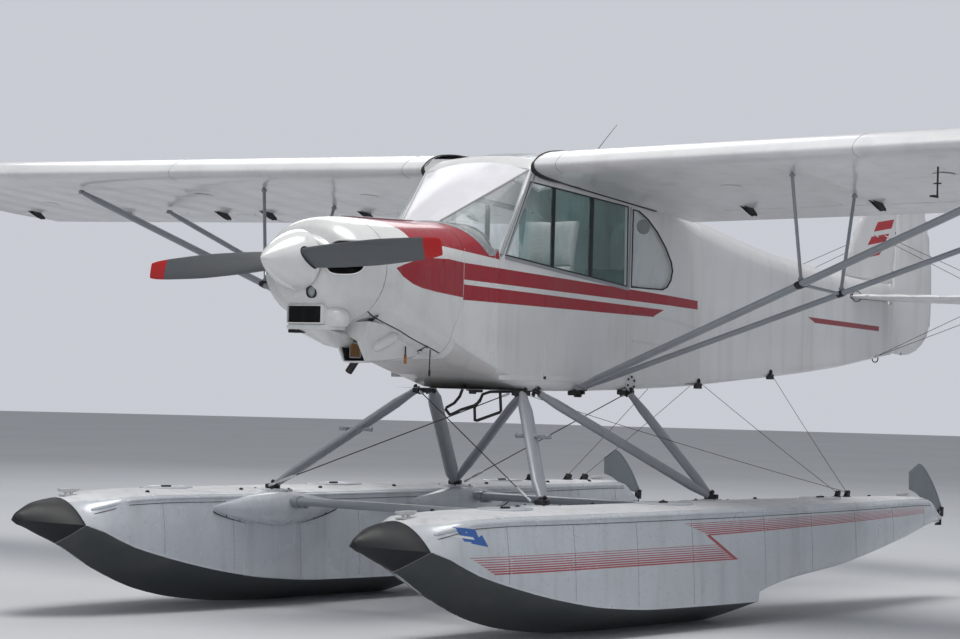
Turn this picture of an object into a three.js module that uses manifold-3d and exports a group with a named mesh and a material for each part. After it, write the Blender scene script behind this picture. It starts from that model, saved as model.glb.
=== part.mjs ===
// Two-seat high-wing floatplane with strut-braced wings, standing on its two floats.
// Millimetres. +X is the port (left) side, +Y points aft, +Z is up.
// The origin lies on the centre line, half way along the length, level with the float keels.
import * as THREE from 'three';
import { mergeVertices } from 'three/addons/utils/BufferGeometryUtils.js';
import Module from 'manifold-3d';

const wasm = await Module();
wasm.setup();

// Driving dimensions
const SEAT = 0.3;              // gap between pieces that rest on each other
const CLEAR = 6;               // running clearance round a moving piece
const WALL = 20;               // cabin wall
const COWL_WALL = 8;           // sheet of the cowling with its stiffeners
const THRUST_DOWN = 0.5;       // degrees that the propeller axis points down
const PROP = { y: -2955, z: 1838, radius: 978, hub: 62, flange: 34 };
const SPINNER = { radius: 155, length: 275, back: 58, steps: 6, wall: 6 };
const CABIN_HALF = 370;        // half width of the cabin
const BOWL_REAR_Y = -2620;
const FIREWALL_Y = -2000;
const BOOT_REAR_Y = -1705;     // seam between the boot cowl and the cabin
const WING = { root: 370.3, chord: 1600, pitch: 5.8, dihedral: 1, teY: 136, teZ: 2209, span: 5010 };
const FLAP = { from: 430, to: 2440, chord: 300 };
const AILERON = { from: 2460, to: 4620, chord: 300 };
const STAB_Z = 1870;
const ELEVATOR_Y = 3092;       // elevator hinge line
const RUDDER_FOOT = [3149, 1613];  // two points (y, z) on the rudder hinge line
const RUDDER_HEAD = [3218, 2478];
const TAIL_THICK = 30;         // fabric tail surfaces
const PIN = 4;                 // hinge pin radius
const FLOAT_X = 1125;
const STEP_Y = -800;           // step in the float bottom
const DECK_Z = 616;
const BUMPER_Y = -3440;
const RUDDER_POST = { y: 1790, low: 440, pin: 6, eye: 12, brackets: [464, 490], blade: [1826, 540] };

// Paints and materials
const paint = (color, roughness, metalness) =>
  new THREE.MeshStandardMaterial({ color, roughness, metalness });
const WHITE = paint(0xe9e8e6, 0.35, 0.0);
const FABRIC_WHITE = paint(0xe6e5e4, 0.45, 0.0);
const FLOAT_WHITE = paint(0xdcdde0, 0.4, 0.2);
const STRUT_GREY = paint(0xaab0b8, 0.4, 0.3);
const STEEL = paint(0x8a8d90, 0.35, 0.8);
const BLADE_GREY = paint(0x6f7276, 0.6, 0.1);
const RUBBER = paint(0x141417, 0.8, 0.0);
const GLASS = new THREE.MeshStandardMaterial({
  color: 0xbfd0cc, roughness: 0.05, metalness: 0.0, transparent: true, opacity: 0.35,
});
const CAST = paint(0x55585a, 0.6, 0.5);
const SEAT_CLOTH = paint(0x4a4c52, 0.9, 0.0);
const PANEL_BLACK = paint(0x1d1e20, 0.7, 0.0);

const V = (x, y, z) => new THREE.Vector3(x, y, z);
const rad = THREE.MathUtils.degToRad;

// Solids

function solidOf(geometry) {
  const bare = geometry.clone();
  bare.deleteAttribute('normal');
  bare.deleteAttribute('uv');
  const merged = mergeVertices(bare, 1e-3);
  const mesh = new wasm.Mesh({
    numProp: 3,
    vertProperties: new Float32Array(merged.attributes.position.array),
    triVerts: new Uint32Array(merged.index.array),
  });
  return new wasm.Manifold(mesh);
}

function geometryOf(solid) {
  const { vertProperties, triVerts } = solid.getMesh();
  const geometry = new THREE.BufferGeometry();
  geometry.setAttribute('position', new THREE.BufferAttribute(vertProperties, 3));
  geometry.setIndex(new THREE.BufferAttribute(triVerts, 1));
  geometry.computeVertexNormals();
  return geometry;
}

function closedSolid(points, faces) {
  let volume = 0;
  for (const [a, b, c] of faces) {
    volume += points[a].dot(points[b].clone().cross(points[c]));
  }
  const order = volume < 0 ? faces.map(([a, b, c]) => [a, c, b]) : faces;
  const geometry = new THREE.BufferGeometry();
  const flat = points.flatMap((p) => [p.x, p.y, p.z]);
  geometry.setAttribute('position', new THREE.Float32BufferAttribute(flat, 3));
  geometry.setIndex(order.flat());
  return solidOf(geometry);
}

function capFaces(ring, base) {
  const normal = V(0, 0, 0);
  ring.forEach((p, i) => normal.add(p.clone().cross(ring[(i + 1) % ring.length])));
  normal.normalize();
  const u = Math.abs(normal.x) > 0.9 ? V(0, 1, 0) : V(1, 0, 0);
  u.sub(normal.clone().multiplyScalar(u.dot(normal))).normalize();
  const v = normal.clone().cross(u);
  const outline = ring.map((p) => new THREE.Vector2(p.dot(u), p.dot(v)));
  return THREE.ShapeUtils.triangulateShape(outline, []).map((t) => t.map((k) => k + base));
}

// A closed body through rings with the same number of points
function loft(rings) {
  const n = rings[0].length;
  const faces = [];
  for (let r = 0; r < rings.length - 1; r += 1) {
    for (let k = 0; k < n; k += 1) {
      const a = r * n + k;
      const b = r * n + ((k + 1) % n);
      faces.push([a, b, b + n], [a, b + n, a + n]);
    }
  }
  const last = (rings.length - 1) * n;
  faces.push(...capFaces(rings[0], 0).map(([a, b, c]) => [a, c, b]));
  faces.push(...capFaces(rings[rings.length - 1], last));
  return closedSolid(rings.flat(), faces);
}

// A sheet of even thickness under a grid of points, thickened along -normal
function sheet(grid, thickness) {
  const rows = grid.length;
  const cols = grid[0].length;
  const at = (r, c) => grid[Math.min(Math.max(r, 0), rows - 1)][Math.min(Math.max(c, 0), cols - 1)];
  const back = grid.map((row, r) => row.map((p, c) => {
    const along = at(r, c + 1).clone().sub(at(r, c - 1));
    const down = at(r + 1, c).clone().sub(at(r - 1, c));
    return p.clone().addScaledVector(along.cross(down).normalize(), thickness);
  }));
  const points = [...grid.flat(), ...back.flat()];
  const half = rows * cols;
  const faces = [];
  const quad = (a, b, c, d) => faces.push([a, b, c], [a, c, d]);
  for (let r = 0; r < rows - 1; r += 1) {
    for (let c = 0; c < cols - 1; c += 1) {
      const k = r * cols + c;
      quad(k, k + cols, k + cols + 1, k + 1);
      quad(half + k, half + k + 1, half + k + cols + 1, half + k + cols);
    }
  }
  for (let c = 0; c < cols - 1; c += 1) {
    const end = (rows - 1) * cols + c;
    quad(c, c + 1, half + c + 1, half + c);
    quad(end + 1, end, half + end, half + end + 1);
  }
  for (let r = 0; r < rows - 1; r += 1) {
    const k = r * cols;
    const e = k + cols - 1;
    quad(k + cols, k, half + k, half + k + cols);
    quad(e, e + cols, half + e + cols, half + e);
  }
  return closedSolid(points, faces);
}

function box(x0, x1, y0, y1, z0, z1) {
  const geometry = new THREE.BoxGeometry(x1 - x0, y1 - y0, z1 - z0);
  geometry.translate((x0 + x1) / 2, (y0 + y1) / 2, (z0 + z1) / 2);
  return solidOf(geometry);
}

// An outline of [u, v] pairs extruded along the third axis; plane is 'yz', 'xz' or 'xy'
function plate(plane, outline, from, to) {
  const place = {
    yz: (u, v, d) => V(d, u, v),
    xz: (u, v, d) => V(u, d, v),
    xy: (u, v, d) => V(u, v, d),
  }[plane];
  return loft([from, to].map((d) => outline.map(([u, v]) => place(u, v, d))));
}

function rod(from, to, radius, sides = 12) {
  const span = to.clone().sub(from);
  const geometry = new THREE.CylinderGeometry(radius, radius, span.length(), sides);
  const turn = new THREE.Quaternion().setFromUnitVectors(V(0, 1, 0), span.clone().normalize());
  geometry.applyQuaternion(turn);
  const middle = from.clone().add(to).multiplyScalar(0.5);
  geometry.translate(middle.x, middle.y, middle.z);
  return solidOf(geometry);
}

// A streamlined tube from one point to another, its wide side along `wide`
function strut(from, to, chord, thick, wide = V(0, 1, 0)) {
  const axis = to.clone().sub(from).normalize();
  const u = wide.clone().addScaledVector(axis, -wide.dot(axis)).normalize();
  const v = axis.clone().cross(u);
  const ring = (at) => Array.from({ length: 14 }, (_, k) => {
    const angle = (k / 14) * 2 * Math.PI;
    const reach = Math.cos(angle);
    const width = Math.sin(angle) * (1 - 0.28 * reach);
    return at.clone().addScaledVector(u, (reach * chord) / 2).addScaledVector(v, (width * thick) / 2);
  });
  return loft([ring(from), ring(to)]);
}

function mirrored(solid) {
  const { vertProperties, triVerts } = solid.getMesh();
  const points = Float32Array.from(vertProperties, (value, k) => (k % 3 === 0 ? -value : value));
  const faces = Uint32Array.from(triVerts);
  for (let k = 0; k < faces.length; k += 3) {
    [faces[k + 1], faces[k + 2]] = [faces[k + 2], faces[k + 1]];
  }
  return new wasm.Manifold(new wasm.Mesh({ numProp: 3, vertProperties: points, triVerts: faces }));
}

const union = (solids) => solids.reduce((sum, solid) => sum.add(solid));
const cutBy = (solid, cutters) => cutters.reduce((rest, cutter) => rest.subtract(cutter), solid);

// The tree of pieces
const plane = new THREE.Group();
const nodes = {};

function addMesh(name, solid, material, parent = plane) {
  const mesh = new THREE.Mesh(geometryOf(solid), material);
  mesh.name = name;
  parent.add(mesh);
  nodes[name] = mesh;
  return mesh;
}

// Adds the port piece and its mirror image to starboard
function addPair(name, solid, material) {
  addMesh(`${name}_left`, solid, material);
  addMesh(`${name}_right`, mirrored(solid), material);
}

// Hinges: an eye on the fixed piece stands in a slot of the moving piece, round the moving pin
const EYE = { half: 3, slotHalf: 10 };

function eyeOf(at, axis, back, reach, radius) {
  const across = back.clone().cross(axis).normalize();
  const from = at.clone().addScaledVector(axis, -EYE.half);
  const to = at.clone().addScaledVector(axis, EYE.half);
  const barEnd = reach - 2;
  const corners = [[-radius, 0], [radius, 0], [radius, barEnd], [-radius, barEnd]];
  const bar = loft([from, to].map((end) => corners.map(([a, b]) =>
    end.clone().addScaledVector(across, a).addScaledVector(back, b))));
  return rod(from, to, radius, 10).add(bar);
}

const pinOf = (at, axis, radius = PIN) => rod(
  at.clone().addScaledVector(axis, -EYE.slotHalf - 1),
  at.clone().addScaledVector(axis, EYE.slotHalf + 1), radius, 8);

const slotOf = (at, axis, radius) => rod(
  at.clone().addScaledVector(axis, -EYE.slotHalf),
  at.clone().addScaledVector(axis, EYE.slotHalf), radius, 12);

// Returns [fixed, moving] with hinges at the given points of one axis
function hinged(fixed, moving, points, axis, back, noseRadius, eyeRadius = 9) {
  let base = fixed;
  let flap = moving;
  for (const at of points) {
    flap = flap.subtract(slotOf(at, axis, noseRadius + 2)).add(pinOf(at, axis));
    base = base.add(eyeOf(at, axis, back, noseRadius + CLEAR + 12, eyeRadius));
    base = base.subtract(pinOf(at, axis, PIN + 2 * SEAT));
  }
  return [base, flap];
}

// Fuselage
// Each section: y, half width, lowest z, z of the straight side's top, z of the crown,
// the width and height of the rounded lower corner, and how square the arch is (2 is an ellipse)
const NOSE_SECTIONS = [
  { y: -2850, half: 215, low: 1620, side: 1835, top: 1975, footX: 215, footZ: 200 },
  { y: -2826, half: 282, low: 1578, side: 1832, top: 2020, footX: 282, footZ: 245 },
  { y: -2770, half: 330, low: 1548, side: 1830, top: 2058, footX: 330, footZ: 275 },
  { y: -2690, half: 350, low: 1532, side: 1828, top: 2071, footX: 350, footZ: 290 },
  { y: -2600, half: 358, low: 1522, side: 1826, top: 2077, footX: 330, footZ: 290, square: 2.1 },
  { y: -2350, half: 362, low: 1440, side: 1824, top: 2080, footX: 220, footZ: 230, square: 2.3 },
  { y: FIREWALL_Y, half: 365, low: 1344, side: 1824, top: 2086, footX: 115, footZ: 115, square: 2.7 },
];
const BOOT_SECTIONS = [
  { y: FIREWALL_Y, half: 365, low: 1344, side: 1824, top: 2086, footX: 115, footZ: 115, square: 2.7 },
  { y: -1900, half: 367, low: 1321, side: 1830, top: 2093, footX: 95, footZ: 95, square: 2.8 },
  { y: BOOT_REAR_Y, half: 370, low: 1278, side: 1836, top: 2108, footX: 55, footZ: 55, square: 3 },
];
const CABIN_SECTIONS = [
  { y: BOOT_REAR_Y + SEAT, half: 370, low: 1278, side: 1880, top: 1895, footX: 55, footZ: 55 },
  { y: -1450, half: 370, low: 1214, side: 2395, top: 2425, footX: 40, footZ: 40 },
  { y: -1380, half: 370, low: 1207, side: 2430, top: 2485, footX: 40, footZ: 40 },
  { y: -1150, half: 370, low: 1207, side: 2470, top: 2520, footX: 40, footZ: 40 },
  { y: -900, half: 370, low: 1210, side: 2450, top: 2505, footX: 40, footZ: 40 },
  { y: -500, half: 370, low: 1222, side: 2370, top: 2432, footX: 40, footZ: 40 },
  { y: -100, half: 369, low: 1238, side: 2235, top: 2345, footX: 40, footZ: 40 },
  { y: 300, half: 335, low: 1256, side: 2120, top: 2286, footX: 40, footZ: 40 },
];
const TAIL_SECTIONS = [
  { y: 300, half: 335, low: 1256, side: 2120, top: 2286, footX: 40, footZ: 40 },
  { y: 780, half: 282, low: 1288, side: 2040, top: 2213, footX: 35, footZ: 35 },
  { y: 1470, half: 206, low: 1333, side: 1962, top: 2105, footX: 30, footZ: 30 },
  { y: 2210, half: 124, low: 1392, side: 1925, top: 2033, footX: 24, footZ: 24 },
  { y: 2700, half: 70, low: 1448, side: 1915, top: 1995, footX: 18, footZ: 18 },
  { y: 3180, half: 26, low: 1505, side: 1905, top: 1965, footX: 10, footZ: 10 },
];
const ARCH_STEPS = 8;
const FOOT_STEPS = 4;

function hullRing({ y, half, low, side, top, footX, footZ, square = 2 }, inset = 0) {
  const port = [];
  const w = half - inset;
  const fx = Math.min(Math.max(footX - inset * 0.6, 4), w - 8);
  const fz = Math.max(footZ - inset * 0.6, 4);
  for (let k = 0; k <= FOOT_STEPS; k += 1) {
    const t = (k / FOOT_STEPS) * (Math.PI / 2);
    port.push([w - fx + fx * Math.sin(t), low + inset + fz - fz * Math.cos(t)]);
  }
  for (let k = 0; k <= ARCH_STEPS; k += 1) {
    const t = (k / ARCH_STEPS) * (Math.PI / 2);
    const [across, up] = [Math.cos(t), Math.sin(t)].map((value) => value ** (2 / square));
    port.push([w * across, side + (top - inset - side) * up]);
  }
  return [...port, ...port.slice(0, -1).reverse().map(([x, z]) => [-x, z])].map(([x, z]) => V(x, y, z));
}

const hull = (sections, inset = 0) => loft(sections.map((s) => hullRing(s, inset)));

// Height of the hull's upper skin at a place
function hullTop(sections, x, y) {
  const next = Math.max(1, sections.findIndex((s) => s.y >= y));
  const [a, b] = [sections[next - 1], sections[next]];
  const t = (y - a.y) / (b.y - a.y);
  const mix = (key) => (a[key] ?? 2) + ((b[key] ?? 2) - (a[key] ?? 2)) * t;
  const square = mix('square');
  const up = (1 - Math.min(1, x / mix('half')) ** square) ** (1 / square);
  return mix('side') + (mix('top') - mix('side')) * up;
}

// Copies of the end sections pushed outwards, so that a hollow opens there
function hollowOf(sections, wall, openFront, openRear) {
  const first = { ...sections[0], y: sections[0].y + (openFront ? -20 : wall) };
  const end = sections[sections.length - 1];
  const last = { ...end, y: end.y + (openRear ? 20 : -wall) };
  return hull([first, ...sections.slice(1, -1), last], wall);
}

// Door hinges: an eye on the fixed skin, a pin and two leaves on the door, 4 mm outside the skin
const KNUCKLE = { eye: 6, pin: 3, half: 24, leaf: 22, bar: 16, out: 4 };

function slabAlong(at, axis, from, to, toward, outward, reach, low, high) {
  const end = (d) => [[0, low], [reach, low], [reach, high], [0, high]].map(([a, b]) =>
    at.clone().addScaledVector(axis, d).addScaledVector(toward, a).addScaledVector(outward, b));
  return loft([end(from), end(to)]);
}

function doorHinge(moving, at, axis, toward, outward) {
  const centre = at.clone().addScaledVector(outward, KNUCKLE.out);
  const along = (d) => centre.clone().addScaledVector(axis, d);
  const back = toward.clone().negate();
  const eye = rod(along(-EYE.half), along(EYE.half), KNUCKLE.eye, 10)
    .add(slabAlong(centre, axis, -EYE.half, EYE.half, back, outward, KNUCKLE.bar, -KNUCKLE.eye, 2));
  const hole = rod(along(-EYE.half - 1), along(EYE.half + 1), KNUCKLE.pin + 2 * SEAT, 8);
  const pin = rod(along(-KNUCKLE.half), along(KNUCKLE.half), KNUCKLE.pin, 8);
  const leaves = [[-KNUCKLE.half, -EYE.slotHalf], [EYE.slotHalf, KNUCKLE.half]].map(([from, to]) =>
    slabAlong(centre, axis, from, to, toward, outward, KNUCKLE.leaf, -6, 2));
  const notch = rod(along(-EYE.slotHalf), along(EYE.slotHalf), KNUCKLE.eye + 4, 10);
  return { eye: eye.subtract(hole), moving: union([moving.subtract(notch), pin, ...leaves]) };
}

// Nose, cowling and engine
const ENGINE = {
  block: [-300, 300, -2640, -2170, 1700, 1940],
  sump: [-160, 160, -2560, -2220, 1600, 1702],
  rear: [-130, 130, -2175, FIREWALL_Y - SEAT, 1690, 1930],
};
const INLET = { x: 236, z: 1862, halfWide: 86, halfHigh: 74 };
const INTAKE = { half: 104, front: -2862, low: 1522, high: 1611 };
const STRIP_HALF = 24;         // fixed strip on the crown between the cowl doors
const DOOR_EDGE = [[BOWL_REAR_Y, 1596], [FIREWALL_Y, 1372]];   // lower edge of the cowl doors
const COWL_HINGES = [-2500, -2180];   // foremost and rearmost hinge of a cowl door
const SCOOP = { front: -2600, rear: -2180, rake: 40, low: 1336, high: 1500, from: -10, to: 160 };
const SCREEN = { from: 2, to: 148, low: 1348, high: 1462 };

const thrust = V(0, Math.cos(rad(THRUST_DOWN)), Math.sin(rad(THRUST_DOWN)));
const hub = V(0, PROP.y, PROP.z);
const alongShaft = (d) => hub.clone().addScaledVector(thrust, d);

function ellipse(x, z, halfWide, halfHigh, steps = 16) {
  return Array.from({ length: steps }, (_, k) => {
    const t = (k / steps) * 2 * Math.PI;
    return [x + halfWide * Math.cos(t), z + halfHigh * Math.sin(t)];
  });
}

function buildNose() {
  const shell = hull(NOSE_SECTIONS).subtract(hollowOf(NOSE_SECTIONS, COWL_WALL, false, true));
  const intake = box(-INTAKE.half, INTAKE.half, INTAKE.front, -2690, INTAKE.low, INTAKE.high);
  const strip = shell.intersect(box(-STRIP_HALF, STRIP_HALF, -2700, FIREWALL_Y - SEAT, 2000, 2200));
  let bowl = shell.intersect(box(-500, 500, -2900, BOWL_REAR_Y, 1400, 2200)).add(strip).add(intake);
  bowl = cutBy(bowl, [
    plate('xz', ellipse(INLET.x, INLET.z, INLET.halfWide, INLET.halfHigh), -2900, -2700),
    plate('xz', ellipse(-INLET.x, INLET.z, INLET.halfWide, INLET.halfHigh), -2900, -2700),
    plate('xz', ellipse(0, PROP.z, 84, 84), -2900, -2800),
    box(-INTAKE.half + 8, INTAKE.half - 8, -2900, INTAKE.front + 14, INTAKE.low + 8, INTAKE.high - 8),
  ]);

  const [front, rear] = DOOR_EDGE;
  const above = [[BOWL_REAR_Y + CLEAR, front[1]], [FIREWALL_Y - CLEAR, rear[1]],
    [FIREWALL_Y - CLEAR, 2300], [BOWL_REAR_Y + CLEAR, 2300]];
  let door = shell.intersect(plate('yz', above, STRIP_HALF + CLEAR, 500));
  const hingeX = STRIP_HALF + CLEAR;
  const crown = (y) => V(hingeX, y, hullTop(NOSE_SECTIONS, hingeX, y));
  const [foremost, rearmost] = COWL_HINGES.map(crown);
  const axis = rearmost.clone().sub(foremost).normalize();
  for (const at of [foremost, foremost.clone().lerp(rearmost, 0.5), rearmost]) {
    const { eye, moving } = doorHinge(door, at, axis, V(1, 0, 0), V(0, 0, 1));
    door = moving;
    bowl = union([bowl, eye, mirrored(eye)]);
  }
  addMesh('nose_bowl', bowl, WHITE);
  addPair('cowl_door', door, WHITE);

  const below = [[BOWL_REAR_Y + SEAT, 1300], [FIREWALL_Y - SEAT, 1300],
    [FIREWALL_Y - SEAT, rear[1] - CLEAR], [BOWL_REAR_Y + SEAT, front[1] - CLEAR]];
  const scoopAt = (y, rake, wall) => {
    const { low, high, from, to } = SCOOP;
    const round = 16;
    return [[to - wall - round, low + wall], [to - wall, low + wall + round], [to - wall, high],
      [from + wall, high], [from + wall, low + wall + round], [from + wall + round, low + wall]]
      .map(([x, z]) => V(x, y + (rake * (high - z)) / (high - low), z));
  };
  const scoop = loft([scoopAt(SCOOP.front, SCOOP.rake, 0), scoopAt(SCOOP.rear, 0, 0)]);
  const duct = loft([scoopAt(SCOOP.front + COWL_WALL, SCOOP.rake, COWL_WALL),
    scoopAt(SCOOP.rear + 20, 0, COWL_WALL)]);
  const inside = hollowOf(NOSE_SECTIONS, COWL_WALL, false, true);
  const pan = shell.intersect(plate('yz', below, -500, 500));
  addMesh('lower_cowl', cutBy(pan.add(scoop.subtract(inside)), [
    duct,
    box(SCREEN.from, SCREEN.to, SCOOP.front - 20, SCOOP.front + SCOOP.rake + 20, SCREEN.low, SCREEN.high),
  ]), WHITE);

  const shaft = rod(alongShaft(370), alongShaft(PROP.flange + SEAT), 42, 16);
  const masses = [ENGINE.block, ENGINE.sump, ENGINE.rear].map((bounds) => box(...bounds));
  addMesh('engine_block', union([...masses, shaft]), CAST);
}

// Propeller: two blades on a hub, and the spinner that encloses it
// Each blade section: share of the radius, chord, thickness, angle of the chord to the disc
const BLADE = [
  { at: 0.06, chord: 70, thick: 52, angle: 40 },
  { at: 0.16, chord: 86, thick: 36, angle: 36 },
  { at: 0.3, chord: 116, thick: 26, angle: 28 },
  { at: 0.55, chord: 132, thick: 18, angle: 20 },
  { at: 0.8, chord: 118, thick: 13, angle: 15 },
  { at: 0.94, chord: 100, thick: 9, angle: 12 },
  { at: 1.0, chord: 80, thick: 6, angle: 11 },
];
const BLADE_TILT = 3.2;        // degrees that the stopped propeller's port blade points up

function propellerPieces() {
  const up = V(0, -Math.sin(rad(THRUST_DOWN)), Math.cos(rad(THRUST_DOWN)));
  const port = V(1, 0, 0);
  const span = port.clone().multiplyScalar(Math.cos(rad(BLADE_TILT)))
    .addScaledVector(up, Math.sin(rad(BLADE_TILT)));
  const side = thrust.clone().cross(span);
  const bladeOf = (sign) => loft(BLADE.map(({ at, chord, thick, angle }) => {
    const out = span.clone().multiplyScalar(sign);
    const edge = side.clone().multiplyScalar(sign * Math.cos(rad(angle)))
      .addScaledVector(thrust, Math.sin(rad(angle)));
    const face = out.clone().cross(edge);
    const centre = hub.clone().addScaledVector(out, at * PROP.radius);
    return Array.from({ length: 12 }, (_, k) => {
      const t = (k / 12) * 2 * Math.PI;
      return centre.clone().addScaledVector(edge, (Math.cos(t) * chord) / 2)
        .addScaledVector(face, (Math.sin(t) * (1 - 0.3 * Math.cos(t)) * thick) / 2);
    });
  }));
  const boss = rod(alongShaft(-PROP.flange), alongShaft(PROP.flange), PROP.hub, 20);
  const blades = union([bladeOf(1), bladeOf(-1), boss]);

  const noseProfile = (radius, length) => Array.from({ length: SPINNER.steps + 1 }, (_, k) => {
    const t = k / SPINNER.steps;
    return [radius * (1 - (1 - t) ** 1.47) ** 0.89, SPINNER.back - length * (1 - t)];
  });
  const { radius, length, back, wall } = SPINNER;
  const outer = [...noseProfile(radius, length), [0, back]];
  const hollow = [...noseProfile(radius - wall, length - 2 * wall), [radius - wall, back + 5], [0, back + 5]];
  const turned = (outline) => {
    const geometry = new THREE.LatheGeometry(outline.map(([r, d]) => new THREE.Vector2(r, d)), 20);
    geometry.applyQuaternion(new THREE.Quaternion().setFromUnitVectors(V(0, 1, 0), thrust));
    geometry.translate(hub.x, hub.y, hub.z);
    return solidOf(geometry);
  };
  const slots = [1, -1].map((sign) => {
    const from = hub.clone().addScaledVector(span, sign * 90);
    const to = hub.clone().addScaledVector(span, sign * 200);
    return rod(from, to, 58, 12);
  });
  const plateBack = rod(alongShaft(PROP.flange + SEAT), alongShaft(SPINNER.back), SPINNER.radius - 2, 20)
    .subtract(rod(alongShaft(0), alongShaft(60), 50, 16));
  const spinner = turned(outer).subtract(turned(hollow)).add(plateBack);
  return [blades, cutBy(spinner, slots)];
}

// Boot cowl, cabin and rear fuselage
const windows = {
  port: [[-1660, 1926], [-1452, 2330], [-526, 2256], [-520, 1807]],
  starboardFront: [[-1660, 1926], [-1452, 2330], [-1245, 2314], [-1245, 1884]],
};
const REAR_WINDOW = [[-478, 1803], [-478, 2246], [-420, 2238], [-330, 2198], [-230, 2130], [-140, 2045],
  [-78, 1965], [-62, 1915], [-78, 1860], [-118, 1818], [-160, 1803]];
const DOOR = {
  front: -1215, rear: -530, low: 1406, splitFront: 1876, splitRear: 1806, top: 2308, topRear: 2252,
};
const DOOR_FRAME = 34;

function inset(outline, amount) {
  const middle = outline.reduce(([a, b], [u, v]) => [a + u / outline.length, b + v / outline.length], [0, 0]);
  return outline.map(([u, v]) => {
    const reach = Math.hypot(u - middle[0], v - middle[1]);
    const keep = (reach - amount * 1.25) / reach;
    return [middle[0] + (u - middle[0]) * keep, middle[1] + (v - middle[1]) * keep];
  });
}

const paneOf = (outline, side) => (side > 0
  ? plate('yz', inset(outline, SEAT), CABIN_HALF - 8, CABIN_HALF - 3)
  : plate('yz', inset(outline, SEAT), -CABIN_HALF + 3, -CABIN_HALF + 8));

// The windshield runs from a foot that curves round over the boot cowl to a straight head at the roof.
// square rounds the foot's corners, and spread leads the side's lines together at the head.
const SHIELD = {
  half: 362, footRear: BOOT_REAR_Y - 8, depth: 215, square: 0.78, spread: 0.35, headY: -1440, bulge: 16,
};

function windshieldGrid() {
  const rows = 6;
  const cols = 17;
  return Array.from({ length: rows }, (_, r) => Array.from({ length: cols }, (__, c) => {
    const angle = ((c / (cols - 1)) * 2 - 1) * (Math.PI / 2);
    const t = r / (rows - 1);
    const side = Math.sign(angle);
    const across = Math.abs(Math.sin(angle));
    const footX = SHIELD.half * across ** SHIELD.square;
    const footY = SHIELD.footRear - SHIELD.depth * Math.cos(angle) ** SHIELD.square;
    const foot = V(side * footX, footY, hullTop(BOOT_SECTIONS, footX, footY) + 5);
    const headX = SHIELD.half * across ** SHIELD.spread;
    const head = V(side * headX, SHIELD.headY, hullTop(CABIN_SECTIONS, headX, SHIELD.headY) + 13);
    const bulge = SHIELD.bulge * Math.sin(t * Math.PI) * Math.cos(angle);
    const point = foot.lerp(head, t).add(V(0, -bulge * 0.7, bulge * 0.7));
    if (point.y > BOOT_REAR_Y) {
      point.z = Math.max(point.z, hullTop(CABIN_SECTIONS, Math.abs(point.x), point.y) + 14);
    }
    return point;
  }));
}

const ROOF_GLASS = { front: -1372, rear: -430, half: 338 };

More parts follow.
